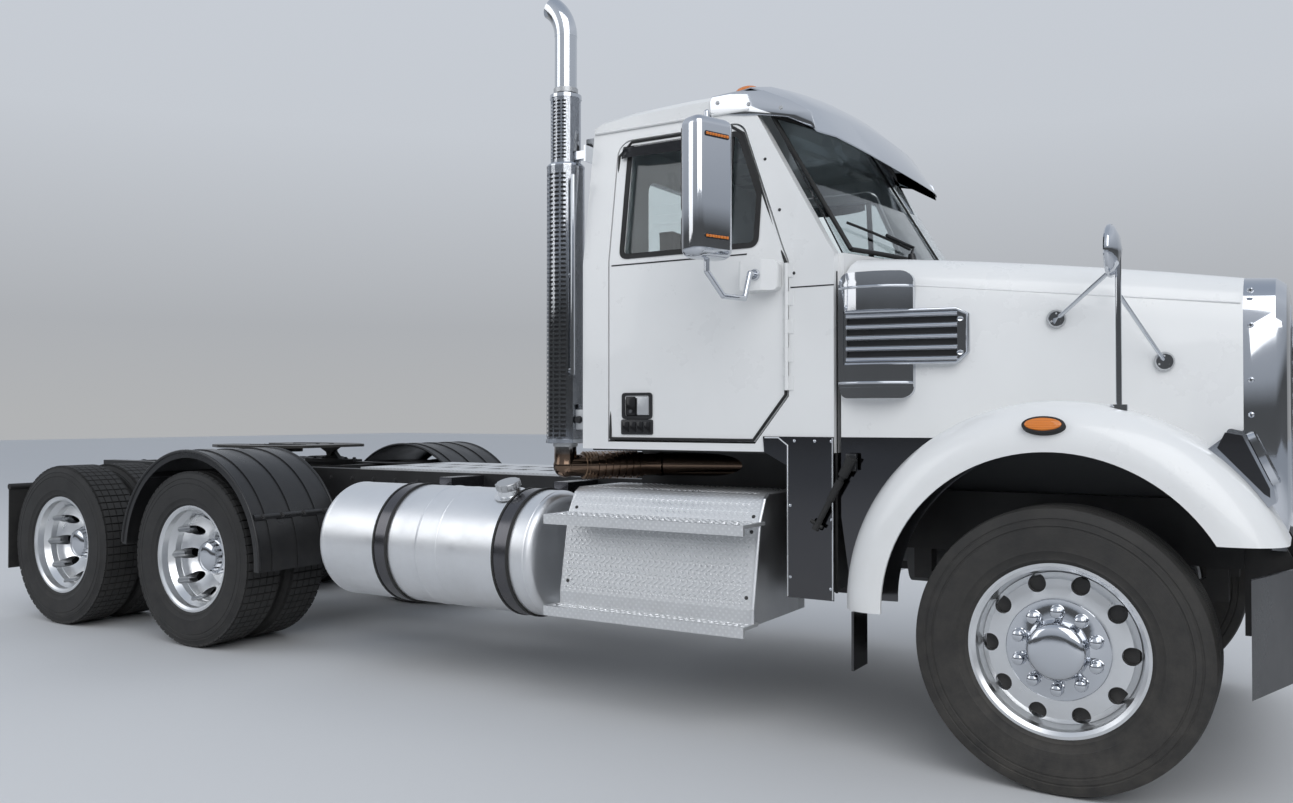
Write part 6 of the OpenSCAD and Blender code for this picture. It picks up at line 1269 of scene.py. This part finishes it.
            collars.panel(ring(0.077, 0.0345, 0.001), out * 0.0265, 0.005)
            lenses.panel(ring(0.0655, 0.0255, 0.026), out * 0.0075, 0.006)


@dataclass(frozen=True)
class StackTrim:
    """The stack's perforated shield, in place of the plain one, its grab rail, and the bands on its pipe."""

    axis: Flat = (0.797, -0.94)
    foot: float = 1.263
    step: float = 2.65
    top: float = 3.003
    wide: float = 0.095
    narrow: float = 0.076
    opening: tuple[int, int] = (35, 125)
    slotted: tuple[int, int] = (186, 300)
    rows: int = 62

    def build(self, shop: Workshop) -> None:
        """Makes the fittings of the stack."""
        self._shield(shop)
        self._rail(shop)
        self._bands(shop)

    def _point(self, angle: float, radius: float, height: float) -> Vector:
        """Gives a point about the stack."""
        turn = radians(angle)
        return Vector((self.axis[0] + radius * cos(turn), self.axis[1] + radius * sin(turn), height))

    def _shell(self, draft: Draft, radius: float, low: float, high: float, rows: int) -> None:
        """Adds a round shell with short slots, open on one side.

        Args:
            draft: what the shell is added to.
            radius: of the shell.
            low: its lower end.
            high: its upper end.
            rows: rows of slots from end to end.
        """
        first, last = self.opening[1], self.opening[0] + 360
        angles = list(range(first, self.slotted[0], 9)) + [self.slotted[0]]
        step = 0
        while angles[-1] < self.slotted[1]:
            angles.append(angles[-1] + (6 if step % 2 else 15))
            step += 1
        count = len(angles)
        angles += list(range(angles[-1] + 9, last, 9)) + [last]
        pitch = (high - low) / rows
        loops = []
        for row in range(2 * rows + 1):
            height = low + pitch * (row // 2) + (0.5 * pitch if row % 2 else 0.0)
            loops.append([draft.mesh.verts.new(self._point(angle, radius, height)) for angle in angles])
        faces = []
        for row, (lower, upper) in enumerate(zip(loops, loops[1:])):
            for column in range(len(angles) - 1):
                inside = self.slotted[0] <= angles[column] and column < count - 1
                tall = angles[column + 1] - angles[column] == 15
                if inside and tall and row % 2 and 2 < row < 2 * rows - 3:
                    continue
                faces.append(draft.mesh.faces.new((lower[column], lower[column + 1], upper[column + 1], upper[column])))
        bmesh.ops.solidify(draft.mesh, geom=faces, thickness=0.0025)

    def _shield(self, shop: Workshop) -> None:
        """Makes the wide shell, its shoulder and the narrow neck, with a black sleeve behind the slots as painted
        shade.
        """
        draft = shop.draft("slotted_shield", "chrome", replaces="heat_shield")
        self._shell(draft, self.wide, self.foot, self.step - 0.004, self.rows)
        self._shell(draft, self.narrow, self.step, self.top, 20)
        shoulder = [(self.narrow - 0.003, self.step - 0.003), (self.wide - 0.006, self.step - 0.003),
                    (self.wide + 0.001, self.step - 0.01), (self.wide + 0.001, self.step - 0.004),
                    (self.wide - 0.005, self.step + 0.004), (self.narrow - 0.003, self.step + 0.004)]
        draft.lathe(shoulder, (*self.axis, 0), UP, 48, closed=True)
        for height in (self.foot, self.top - 0.02):
            radius = self.wide if height < self.step else self.narrow
            draft.hoop(radius - 0.001, radius + 0.004, (height, height + 0.022), (*self.axis, 0), UP, slope=0.002)
        # Painted shade: a black sleeve inside the shell, so the slots show dark.
        lining = shop.draft("shield_lining", "cast_black")
        for radius, low, high in ((0.0865, self.foot + 0.01, self.step - 0.012),
                (0.0675, self.step + 0.008, self.top - 0.008)):
            lining.hoop(radius - 0.002, radius, (low, high), (*self.axis, 0), UP, 40)

    def _rail(self, shop: Workshop) -> None:
        """Makes the grab rail beside the shield with its three standoffs."""
        x, y = 0.905, -1.03
        paths = [[(x, y, 1.6), (x, y, 2.58)]]
        for height in (1.622, 2.09, 2.558):
            inner = self._point(degrees(atan2(y - self.axis[1], x - self.axis[0])), self.wide - 0.001, height)
            paths.append([tuple(inner), (x, y, height)])
        shop.tube("stack_grab_rail", paths, 0.0115, "chrome", steps=4)

    def _bands(self, shop: Workshop) -> None:
        """Makes the pipe's clamp bands and the ribbed flexible pipe below."""
        bands, ribs = shop.drafts("chassis", stack_bands="galvanised", flexible_pipe="bronze_pipe")
        for height in (3.012, 1.245):
            bands.hoop(0.0565, 0.0615, (height, height + 0.028), (*self.axis, 0), UP, 40, slope=0.002)
        start, end = Vector((0.845, -0.867, 1.15)), Vector((1.02, -0.62, 1.15))
        along = (end - start).normalized()
        length = (end - start).length
        profile: list[Flat] = [(0.06, 0)]
        for index in range(18):
            near = length * index / 18
            profile += [(0.0665, near + length / 72), (0.0705, near + length / 36), (0.0665, near + length / 24)]
        profile.append((0.06, length))
        ribs.lathe(profile, start, along, 32, closed=True)


@dataclass(frozen=True)
class TankTrim:
    """The tanks' caps, weld seams, strap edges and strap bolts."""

    rear: float = -0.69
    front: float = 0.78
    middle: Flat = (0.9, 0.705)
    radius: float = 0.315
    straps: tuple[float, float] = (-0.2049, 0.6036)

    def build(self, shop: Workshop) -> None:
        """Makes the fittings of both tanks."""
        seams, caps, edges, bolts, steel, skins = shop.drafts("chassis", tank_seams="tank_aluminium",
                filler_caps="galvanised", strap_edges="black_rubber", strap_bolts="galvanised",
                filler_necks="polished_aluminium", tank_skins="tank_aluminium")
        for sign in SIGNS:
            centre = (0, sign * self.middle[0], self.middle[1])
            low, high = self.rear + 0.047, self.front - 0.047
            skins.hoop(self.radius - 0.002, self.radius + 0.0008, (low, high), centre, AHEAD, 96)
            for x in (low, high, (low + high) / 2 + 0.13):
                seams.hoop(self.radius - 0.001, self.radius + 0.0022, (x - 0.01, x + 0.01), centre, AHEAD, 72,
                           slope=0.004)
            for strap in self.straps:
                for edge in (strap - 0.0445, strap + 0.0445):
                    edges.hoop(self.radius + 0.0006, self.radius + 0.0115, (edge - 0.006, edge + 0.006), centre, AHEAD,
                               72)
                for turn in (115.0, 128.0):
                    angle = radians(turn)
                    out = Vector((0, sign * cos(angle), sin(angle)))
                    foot = Vector((strap, sign * self.middle[0], self.middle[1])) + out * (self.radius + 0.006)
                    bolts.bolt(foot, out, 0.012, 0.016)
            self._cap(caps, steel, sign)

    def _cap(self, caps: Draft, steel: Draft, sign: float) -> None:
        """Adds one tank's filler neck and its lobed cap."""
        tip = radians(20.0)
        out = Vector((0, sign * sin(tip), cos(tip)))
        base = Vector((self.rear + (self.front - self.rear) * 0.81, sign * self.middle[0], self.middle[1]))
        foot = base + out * (self.radius - 0.004)
        steel.lathe([(0, 0), (0.085, 0), (0.083, 0.006), (0.06, 0.012), (0.0565, 0.036), (0, 0.036)], foot, out, 36)
        caps.lathe([(0, 0.036), (0.06, 0.036), (0.062, 0.042), (0.062, 0.066), (0.058, 0.072), (0, 0.074)], foot, out,
                   24)
        side = out.cross(Vector(AHEAD))
        for index in range(12):
            angle = tau * index / 12
            rim = foot + (Vector(AHEAD) * cos(angle) + side * sin(angle)) * 0.06
            caps.cone(rim + out * 0.042, rim + out * 0.069, 0.0065, steps=8)


@dataclass(frozen=True)
class StepTrim:
    """The step boxes' raised tread bars, end panels, corner screws and the grip rings on the treads."""

    rear: float = 0.9
    front: float = 1.92
    pitch: float = 0.03

    def build(self, shop: Workshop) -> None:
        """Makes the fittings of both step boxes."""
        bars, grips, screws, ends, folds = shop.drafts("chassis", step_tread_bars="tread_bars",
                step_grip_rings="tread_bars", step_screws="cast_black", step_end_panels="tank_aluminium",
                step_end_folds="tank_aluminium")
        for sign in SIGNS:
            self._sheet(bars, sign, (1.1195, 0.572), (1.0535, 0.925), self.rear + 0.02, self.front - 0.02)
            self._sheet(bars, sign, (1.0425, 0.948), (1.0, 1.018), self.rear + 0.06, self.front - 0.04)
            self._sheet(bars, sign, (0.975, 1.05), (0.58, 1.05), self.rear + 0.03, self.front - 0.03)
            self._sheet(bars, sign, (1.236, 0.935), (1.06, 0.935), self.rear, self.front)
            self._sheet(bars, sign, (1.236, 0.505), (1.13, 0.505), self.rear, self.front)
            for x in (self.rear + 0.035, self.front - 0.035):
                for y, z in ((1.1115, 0.61), (1.059, 0.89), (1.038, 0.955)):
                    screws.button((x, sign * y, z), (0, sign, 0.18), 0.009, 0.005)
            profile = [(0.64, 0.494), (1.121, 0.494), (1.121, 0.562), (1.052, 0.932), (1.0, 1.028), (0.96, 1.0505),
                       (0.64, 1.0505)]
            for x, way in ((self.front + 0.0002, 1.0), (self.rear - 0.0002, -1.0)):
                ends.panel([(x, sign * y, z) for y, z in profile], Vector((way * 0.003, 0, 0)))
            edge = [Vector((self.front + 0.001, sign * y, z)) for y, z in profile[1:6]]
            for start, end in zip(edge, edge[1:]):
                folds.cone(start, end, 0.009, steps=12)
            for index in range(1, 17):
                x = 0.886 + 1.048 * index / 17
                for height in (0.935, 0.505):
                    ring = [(0.0075, -0.001), (0.0125, 0.0005), (0.0115, 0.0032), (0.0085, 0.0042)]
                    grips.lathe(ring, (x, sign * (1.24 - 0.063), height), UP, 14, closed=True)

    def _sheet(self, draft: Draft, sign: float, low: Flat, high: Flat, rear: float, front: float) -> None:
        """Covers a flat sheet with raised bars that lie crosswise by turns.

        Args:
            draft: what the bars are added to.
            sign: the truck's side.
            low: distance from the middle and height of the sheet's lower edge.
            high: the same of its upper edge.
            rear: the sheet's rear end.
            front: its front end.
        """
        foot = Vector((0, sign * low[0], low[1]))
        rise = Vector((0, sign * high[0], high[1])) - foot
        up = rise.normalized()
        out = Vector((0, up.z * sign, -up.y * sign)) if abs(up.z) > 0.1 else Vector(UP)
        ahead = Vector(AHEAD)
        rows = max(int(rise.length / (self.pitch * 0.62)), 2)
        columns = int((front - rear) / self.pitch)
        sheet = bmesh.new()
        for odd in (0, 1):
            turn = radians(38.0 if odd else -38.0)
            way = ahead * cos(turn) + up * sin(turn)
            place = Matrix((way * 0.0115, out.cross(way) * 0.0036, out * 0.0014)).transposed().to_4x4()
            shift = ahead * (rear + (0.25 + 0.5 * odd) * self.pitch)
            place.translation = foot + up * (odd + 0.5) * rise.length / rows + shift + out * 0.0006
            known = set(sheet.verts)
            bmesh.ops.create_cone(sheet, cap_ends=True, segments=6, radius1=1.0, radius2=0.62, depth=1.4, matrix=place)
            for step, count in ((ahead * self.pitch, columns - 1),
                    (up * 2.0 * rise.length / rows, (rows - odd - 1) // 2)):
                verts = [vert for vert in sheet.verts if vert not in known]
                faces = {face for vert in verts for face in vert.link_faces}
                edges = {edge for vert in verts for edge in vert.link_edges}
                if count > 0:
                    bmesh.ops.spin(sheet, geom=verts + list(edges) + list(faces), cent=foot, axis=out, dvec=step,
                            angle=0.0, steps=count, use_duplicate=True)
        draft.absorb(sheet)


@dataclass(frozen=True)
class PanelTrim:
    """The polished panels' rivets and hems, a black sill under the doors and dark sheets under the cab, both painted
    shade where the cab's underside lies in shadow.
    """

    def build(self, shop: Workshop) -> None:
        """Makes the fittings of both sides."""
        rivets, sills, walls, seals = shop.drafts("chassis", skirt_rivets="chrome", door_sills="black_rubber",
                under_cab_walls="frame_black", cowl_gap_seals="black_rubber")
        hems = []
        for sign in SIGNS:
            for x, z in ((2.066, 1.29), (2.16, 1.29), (2.236, 1.29), (2.232, 0.957), (2.232, 0.662), (2.046, 1.01),
                         (2.046, 0.7)):
                rivets.button((x, sign * 1.0058, z), (0, sign, 0), 0.0075, 0.004)
            # Painted shade: a black strip along the sill and dark sheets under the cab.
            sills.block((1.0, sign * 0.88, 1.232), (2.02, sign * 0.996, 1.2785), 0.004)
            walls.block((0.96, sign * 0.47, 0.56), (2.25, sign * 0.476, 1.235))
            walls.block((2.206, sign * 0.478, 0.64), (2.212, sign * 0.985, 1.3))
            seals.block((2.236, sign * 0.958, 0.64), (2.248, sign * 0.97, 2.02), 0.003)
            for path in (((2.034, 0.616), (2.034, 1.27), (1.99, 1.303), (1.925, 1.303)),
                         ((2.241, 0.616), (2.241, 1.304))):
                hems.append([(x, sign * 1.0065, z) for x, z in path])
        shop.tube("skirt_hems", hems, 0.0035, "polished_aluminium", steps=2)


@dataclass(frozen=True)
class RearTrim:
    """The rear fenders' lips and bolts, the flaps' clamps, the tail lamps' rims and the frame's bolts and air tanks."""

    fender_radius: float = 0.6545

    def build(self, shop: Workshop) -> None:
        """Makes the fittings behind the cab."""
        self._fenders(shop)
        self._flaps(shop)
        self._frame(shop)

    def _fenders(self, shop: Workshop) -> None:
        """Rolls a bead along each rear fender's edges and bolts the fender to its bars."""
        beads = []
        bolts = shop.draft("rear_fender_bolts", "cast_black")
        centre = DRIVE_X["front"]
        for sign in SIGNS:
            for y in (1.222, 0.604):
                turns = [radians(-2.0 + 176.0 * index / 40) for index in range(41)]
                beads.append([(centre + self.fender_radius * cos(turn), sign * y,
                        AXLE_Z + self.fender_radius * sin(turn)) for turn in turns])
            for turn in (25.0, 130.0):
                angle = radians(turn)
                for y in (0.7, 0.86, 1.02, 1.16):
                    spot = (centre + 0.67 * cos(angle), sign * y, AXLE_Z + 0.67 * sin(angle))
                    bolts.bolt(spot, (cos(angle), 0, sin(angle)), 0.011, 0.01)
        shop.tube("rear_fender_beads", beads, 0.0095, "black_plastic")

    @staticmethod
    def _flaps(shop: Workshop) -> None:
        """Clamps the flaps to their bars and puts a bright rim round each tail lamp."""
        clamps, bolts, rims = shop.drafts("chassis", flap_clamps="galvanised", flap_bolts="cast_black",
                tail_lamp_rims="chrome")
        for sign in SIGNS:
            clamps.block((-3.8515, sign * 0.615, 0.842), (-3.842, sign * 1.195, 0.876), 0.002)
            for index in range(5):
                bolts.bolt((-3.8515, sign * (0.66 + 0.12 * index), 0.859), BACK, 0.009, 0.008)
        low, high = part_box("tail_lamps")
        for y in (0.62 * 0.432, 0.28 * 0.432):
            for sign in SIGNS:
                ring = [(0.0535, 0), (0.0535, 0.012), (0.058, 0.016), (0.065, 0.01), (0.066, 0)]
                rims.lathe(ring, (high.x - 0.001, sign * y, (low.z + high.z) / 2), BACK, 36, closed=True)

    @staticmethod
    def _frame(shop: Workshop) -> None:
        """Bolts the rails, and hangs two air tanks between them."""
        bolts, tanks, bands = shop.drafts("chassis", rail_bolts="cast_black", air_tanks="black_plastic",
                air_tank_bands="galvanised")
        for sign in SIGNS:
            for index in range(17):
                x = -3.72 + 0.19 * index
                for z in (0.85, 1.0):
                    bolts.bolt((x, sign * 0.4325, z), (0, sign, 0), 0.011, 0.01)
            profile = [(0, 0), (0.07, 0.006), (0.098, 0.028), (0.105, 0.06), (0.105, 0.64), (0.098, 0.672),
                       (0.07, 0.694), (0, 0.7)]
            tanks.lathe(profile, (-0.95, sign * 0.225, 0.662), AHEAD, 32)
            for far in (0.15, 0.55):
                bands.hoop(0.1052, 0.1085, (far - 0.018, far + 0.018), (-0.95, sign * 0.225, 0.662), AHEAD, 32)
                bands.block((-0.95 + far - 0.018, sign * 0.205, 0.764), (-0.95 + far + 0.018, sign * 0.245, 0.8))


@dataclass(frozen=True)
class CouplingTrim:
    """The fifth wheel's release handle, grease grooves and bolts."""

    middle: float = -2.324
    top: float = 1.195

    def build(self, shop: Workshop) -> None:
        """Makes the fittings of the coupling."""
        rod = ((0.14, -0.18), (0.14, -0.56))
        eye = ((0.14, -0.56), (0.1, -0.6), (0.14, -0.64), (0.18, -0.6), (0.14, -0.56))
        handle = [[(self.middle + x, y, 1.158) for x, y in path] for path in (rod, eye)]
        shop.tube("release_handle", handle, 0.009, "galvanised", "fifth_wheel")
        grooves = []
        for sign in SIGNS:
            for radius in (0.19, 0.29):
                turns = [radians(22.0 + 116.0 * index / 16) for index in range(17)]
                grooves.append([(self.middle + radius * cos(turn), sign * radius * sin(turn),
                        self.top) for turn in turns])
        shop.tube("grease_grooves", grooves, 0.0035, "black_rubber", "fifth_wheel", steps=2)
        caps = shop.draft("coupling_bolts", "cast_black")
        for sign in SIGNS:
            for x in (-0.21, -0.12, 0.12, 0.21):
                caps.bolt((self.middle + x, sign * 0.4, 1.076), UP, 0.013, 0.014)


@dataclass(frozen=True)
class BumperTrim:
    """The bumper's driving lamps and tow hooks."""

    def build(self, shop: Workshop) -> None:
        """Makes the bumper's fittings."""
        rings, lenses = shop.drafts("chassis", driving_lamp_rings="chrome", driving_lamp_lenses="clear_lens")
        hooks = []
        for sign in SIGNS:
            out, face = AHEAD, (3.95, sign * 0.36, 0.64)
            rings.lathe([(0.05, -0.004), (0.066, -0.004), (0.064, 0.012), (0.056, 0.016), (0.05, 0.01)], face, out, 32,
                        closed=True)
            rings.lathe([(0.052, 0), (0.03, 0.002), (0, 0.003), (0, -0.002), (0.052, -0.002)], face, out, 28)
            lenses.lathe([(0.051, 0.003), (0.05, 0.006), (0.036, 0.011), (0.018, 0.0135), (0, 0.014)], face, out, 28)
            loop = ((3.9, 0.56), (3.962, 0.56), (3.97, 0.582), (3.962, 0.604), (3.9, 0.604))
            hooks.append([(x, sign * y, 0.62) for x, y in loop])
        shop.tube("tow_hooks", hooks, 0.013, "cast_black", smooth=True, steps=4)


@dataclass(frozen=True)
class CabInterior:
    """What the windows and open doors show: padded seats, dials, levers and door linings."""

    seat_y: float = 0.45
    seat_half: float = 0.245

    def build(self, shop: Workshop) -> None:
        """Makes the cab's inside."""
        self._seats(shop)
        self._dash(shop)
        self._linings(shop)

    @staticmethod
    def _pad(draft: Draft, low: Point, high: Point, crown: Vector, pull: float) -> None:
        """Adds a cushion whose face swells and whose sides pull in between the corners.

        Args:
            draft: what the cushion is added to.
            low: its lowest corner.
            high: its highest corner.
            crown: how far its middle swells, and which way.
            pull: how far its sides pull in, as a share of its size.
        """
        pad = bmesh.new()
        middle = (Vector(low) + Vector(high)) / 2
        half = (Vector(high) - Vector(low)) / 2
        bmesh.ops.create_cube(pad, size=2.0, matrix=Matrix.Translation(middle) @ Matrix.Diagonal((*half, 1.0)))
        bmesh.ops.subdivide_edges(pad, edges=list(pad.edges), cuts=7, use_grid_fill=True)
        way = crown.normalized()
        axes = [index for index in range(3) if abs(way[index]) < 0.6]
        for vert in pad.verts:
            share = [(vert.co[index] - middle[index]) / half[index] for index in range(3)]
            flat = (1.0 - share[axes[0]] ** 2) * (1.0 - share[axes[1]] ** 2)
            face = max(share[0] * way.x + share[1] * way.y + share[2] * way.z, 0)
            vert.co += crown * flat * face
            for one, other in (axes, axes[::-1]):
                vert.co[one] -= pull * half[one] * share[one] * (1.0 - share[other] ** 2)
        draft.absorb(pad)

    def _seats(self, shop: Workshop) -> None:
        """Makes each seat's cushions on a plain base, in place of the solid seats."""
        bases = shop.draft("seat_bases", "black_plastic", replaces="seats")
        for side, sign in SIDES.items():
            near, far = sorted((sign * (self.seat_y - self.seat_half), sign * (self.seat_y + self.seat_half)))
            bases.block((1.23, sign * (self.seat_y - 0.19), 1.302), (1.64, sign * (self.seat_y + 0.19), 1.42), 0.01)
            bases.cone((1.435, sign * self.seat_y, 1.42), (1.435, sign * self.seat_y, 1.57), 0.15, 0.18, 24)
            pads = shop.draft(f"seat_pads_{side}", "seat_cloth", sharp=80.0)
            self._pad(pads, (1.19, near + 0.012, 1.57), (1.705, far - 0.012, 1.742), Vector((0, 0, 0.04)), 0.03)
            self._pad(pads, (1.12, near + 0.02, 1.66), (1.235, far - 0.02, 2.17), Vector((0.042, 0, 0)), 0.05)
            self._pad(pads, (1.122, near + 0.12, 2.19), (1.205, far - 0.12, 2.345), Vector((0.024, 0, 0)), 0.06)
            seat = shop.piece(pads)
            soft = seat.modifiers.new("soft_edges", "SUBSURF")
            soft.levels = soft.render_levels = 2

    def _dash(self, shop: Workshop) -> None:
        """Makes the dials, switches, levers and pedals."""
        faces, rims = shop.drafts("chassis", dash_dials="dark_gloss", dash_dial_rims="chrome")
        levers = []
        pedals = shop.draft("pedals", "black_rubber")
        for y, z, radius in ((0.53, 1.87, 0.055), (0.38, 1.87, 0.055), (0.64, 1.83, 0.034), (0.27, 1.83, 0.034),
                (0.12, 1.86, 0.034), (0.02, 1.86, 0.034)):
            faces.lathe([(0, 0.002), (radius, 0.002), (radius, -0.003), (0, -0.003)], (1.815, y, z), BACK, 28)
            rims.lathe([(radius - 0.001, 0), (radius - 0.001, 0.005), (radius + 0.004, 0.006), (radius + 0.007, 0)],
                       (1.815, y, z), BACK, 28, closed=True)
        for index in range(7):
            y = -0.12 - 0.075 * index
            faces.block((1.805, y - 0.03, 1.8), (1.818, y, 1.85), 0.004)
        for y in (0.3, 0.42, 0.54):
            pedals.block((2.02, y, 1.345), (2.036, y + 0.07, 1.44), 0.005)
        levers.append([(1.72, 0.02, 1.3), (1.7, 0.02, 1.56), (1.64, 0.03, 1.76)])
        levers.append([(1.79, 0.45, 1.925), (1.76, 0.59, 1.965)])
        shop.tube("cab_levers", levers, 0.009, "chrome")
        knob = shop.draft("lever_knob", "black_plastic")
        knob.ball((1.636, 0.031, 1.775), (0.026, 0.026, 0.032), 18)

    @staticmethod
    def _linings(shop: Workshop) -> None:
        """Lines the doors' inner faces."""
        for side, sign in SIDES.items():
            draft = shop.draft(f"door_lining_{side}", "dash_plastic", f"door_{side}")
            trim = shop.draft(f"door_armrest_{side}", "black_plastic", f"door_{side}")
            outline = [(1.165, 1.34), (1.84, 1.34), (1.965, 1.52), (1.965, 2.06), (1.165, 2.06)]
            draft.panel([(x, sign * 0.941, z) for x, z in outline], Vector((0, -sign * 0.012, 0)), 0.004)
            trim.block((1.25, sign * 0.895, 1.82), (1.7, sign * 0.945, 1.87), 0.012)


@dataclass(frozen=True)
class EngineTrim:
    """What the raised hood shows: rocker cover, air cleaner, pipes, hoses and fan."""

    def build(self, shop: Workshop) -> None:
        """Makes the fittings round the engine."""
        covers, fan, cleaner, clips = shop.drafts("chassis", rocker_cover="galvanised", cooling_fan="black_plastic",
                air_cleaner="black_plastic", rocker_cover_bolts="cast_black")
        covers.block((2.44, -0.18, 1.6995), (3.36, 0.18, 1.775), 0.022, 3)
        for index in range(10):
            x = 2.5 + 0.088 * index
            covers.block((x, -0.165, 1.77), (x + 0.03, 0.165, 1.784), 0.004)
        for sign in SIGNS:
            for index in range(7):
                clips.bolt((2.48 + 0.14 * index, sign * 0.188, 1.7005), UP, 0.01, 0.012)
        fan.cone((3.474, 0, 1.3), (3.52, 0, 1.3), 0.08, 0.07, 24)
        for index in range(9):
            angle = tau * index / 9
            way, side = Vector((0, cos(angle), sin(angle))), Vector((0, -sin(angle), cos(angle)))
            hub = Vector((3.5, 0, 1.3))
            blade = [hub + way * 0.06 - side * 0.025, hub + way * 0.29 - side * 0.05, hub + way * 0.29 + side * 0.045,
                     hub + way * 0.06 + side * 0.025]
            fan.panel(blade, Vector((0.006, 0, 0)))
        profile = [(0, 0), (0.13, 0.006), (0.15, 0.022), (0.15, 0.4), (0.142, 0.42), (0.09, 0.43), (0, 0.432)]
        cleaner.lathe(profile, (2.42, -0.56, 1.52), AHEAD, 40)
        shop.tube("charge_pipe", [[(2.86, -0.545, 1.52), (2.98, -0.54, 1.53), (3.06, -0.48, 1.56), (3.09, -0.38, 1.58),
                (3.09, -0.3, 1.59)]], 0.05, "galvanised", smooth=True, steps=6)
        shop.tube("coolant_hoses", [[(3.44, 0.15, 1.64), (3.49, 0.16, 1.69), (3.545, 0.2, 1.69)],
                [(3.44, -0.2, 0.96), (3.49, -0.22, 0.93), (3.545, -0.26, 0.93)]], 0.03, "black_rubber", smooth=True,
                steps=5)
        manifold = [[(x, 0.3, 1.48), (x, 0.38, 1.48), (x + 0.03, 0.4, 1.43)] for x in (2.52, 2.69, 2.86, 3.03, 3.2,
                3.34)]
        manifold.append([(2.48, 0.4, 1.42), (3.39, 0.4, 1.42)])
        shop.tube("exhaust_manifold", manifold, 0.032, "bronze_pipe", steps=4)


def main() -> None:
    """Loads the solids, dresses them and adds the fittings."""
    logging.basicConfig(level=logging.INFO, format="%(name)s: %(message)s")
    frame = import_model()
    Studio().build()
    groups = SurfaceGroups()
    materials = {finish.name: finish.make(groups) for finish in FINISHES}
    Solids(frame["nodes"], materials).dress()
    shop = Workshop(materials)
    doors = (DoorTrim(side, sign) for side, sign in SIDES.items())
    for assembly in (Wheels(), CabTrim(), HoodTrim(), NoseTrim(), StackTrim(), TankTrim(), StepTrim(), PanelTrim(),
            RearTrim(), CouplingTrim(), BumperTrim(), CabInterior(), EngineTrim(), *doors):
        assembly.build(shop)
        shop.close()
    LOG.info("made %d pieces", shop.count)


if __name__ == "__main__":
    main()
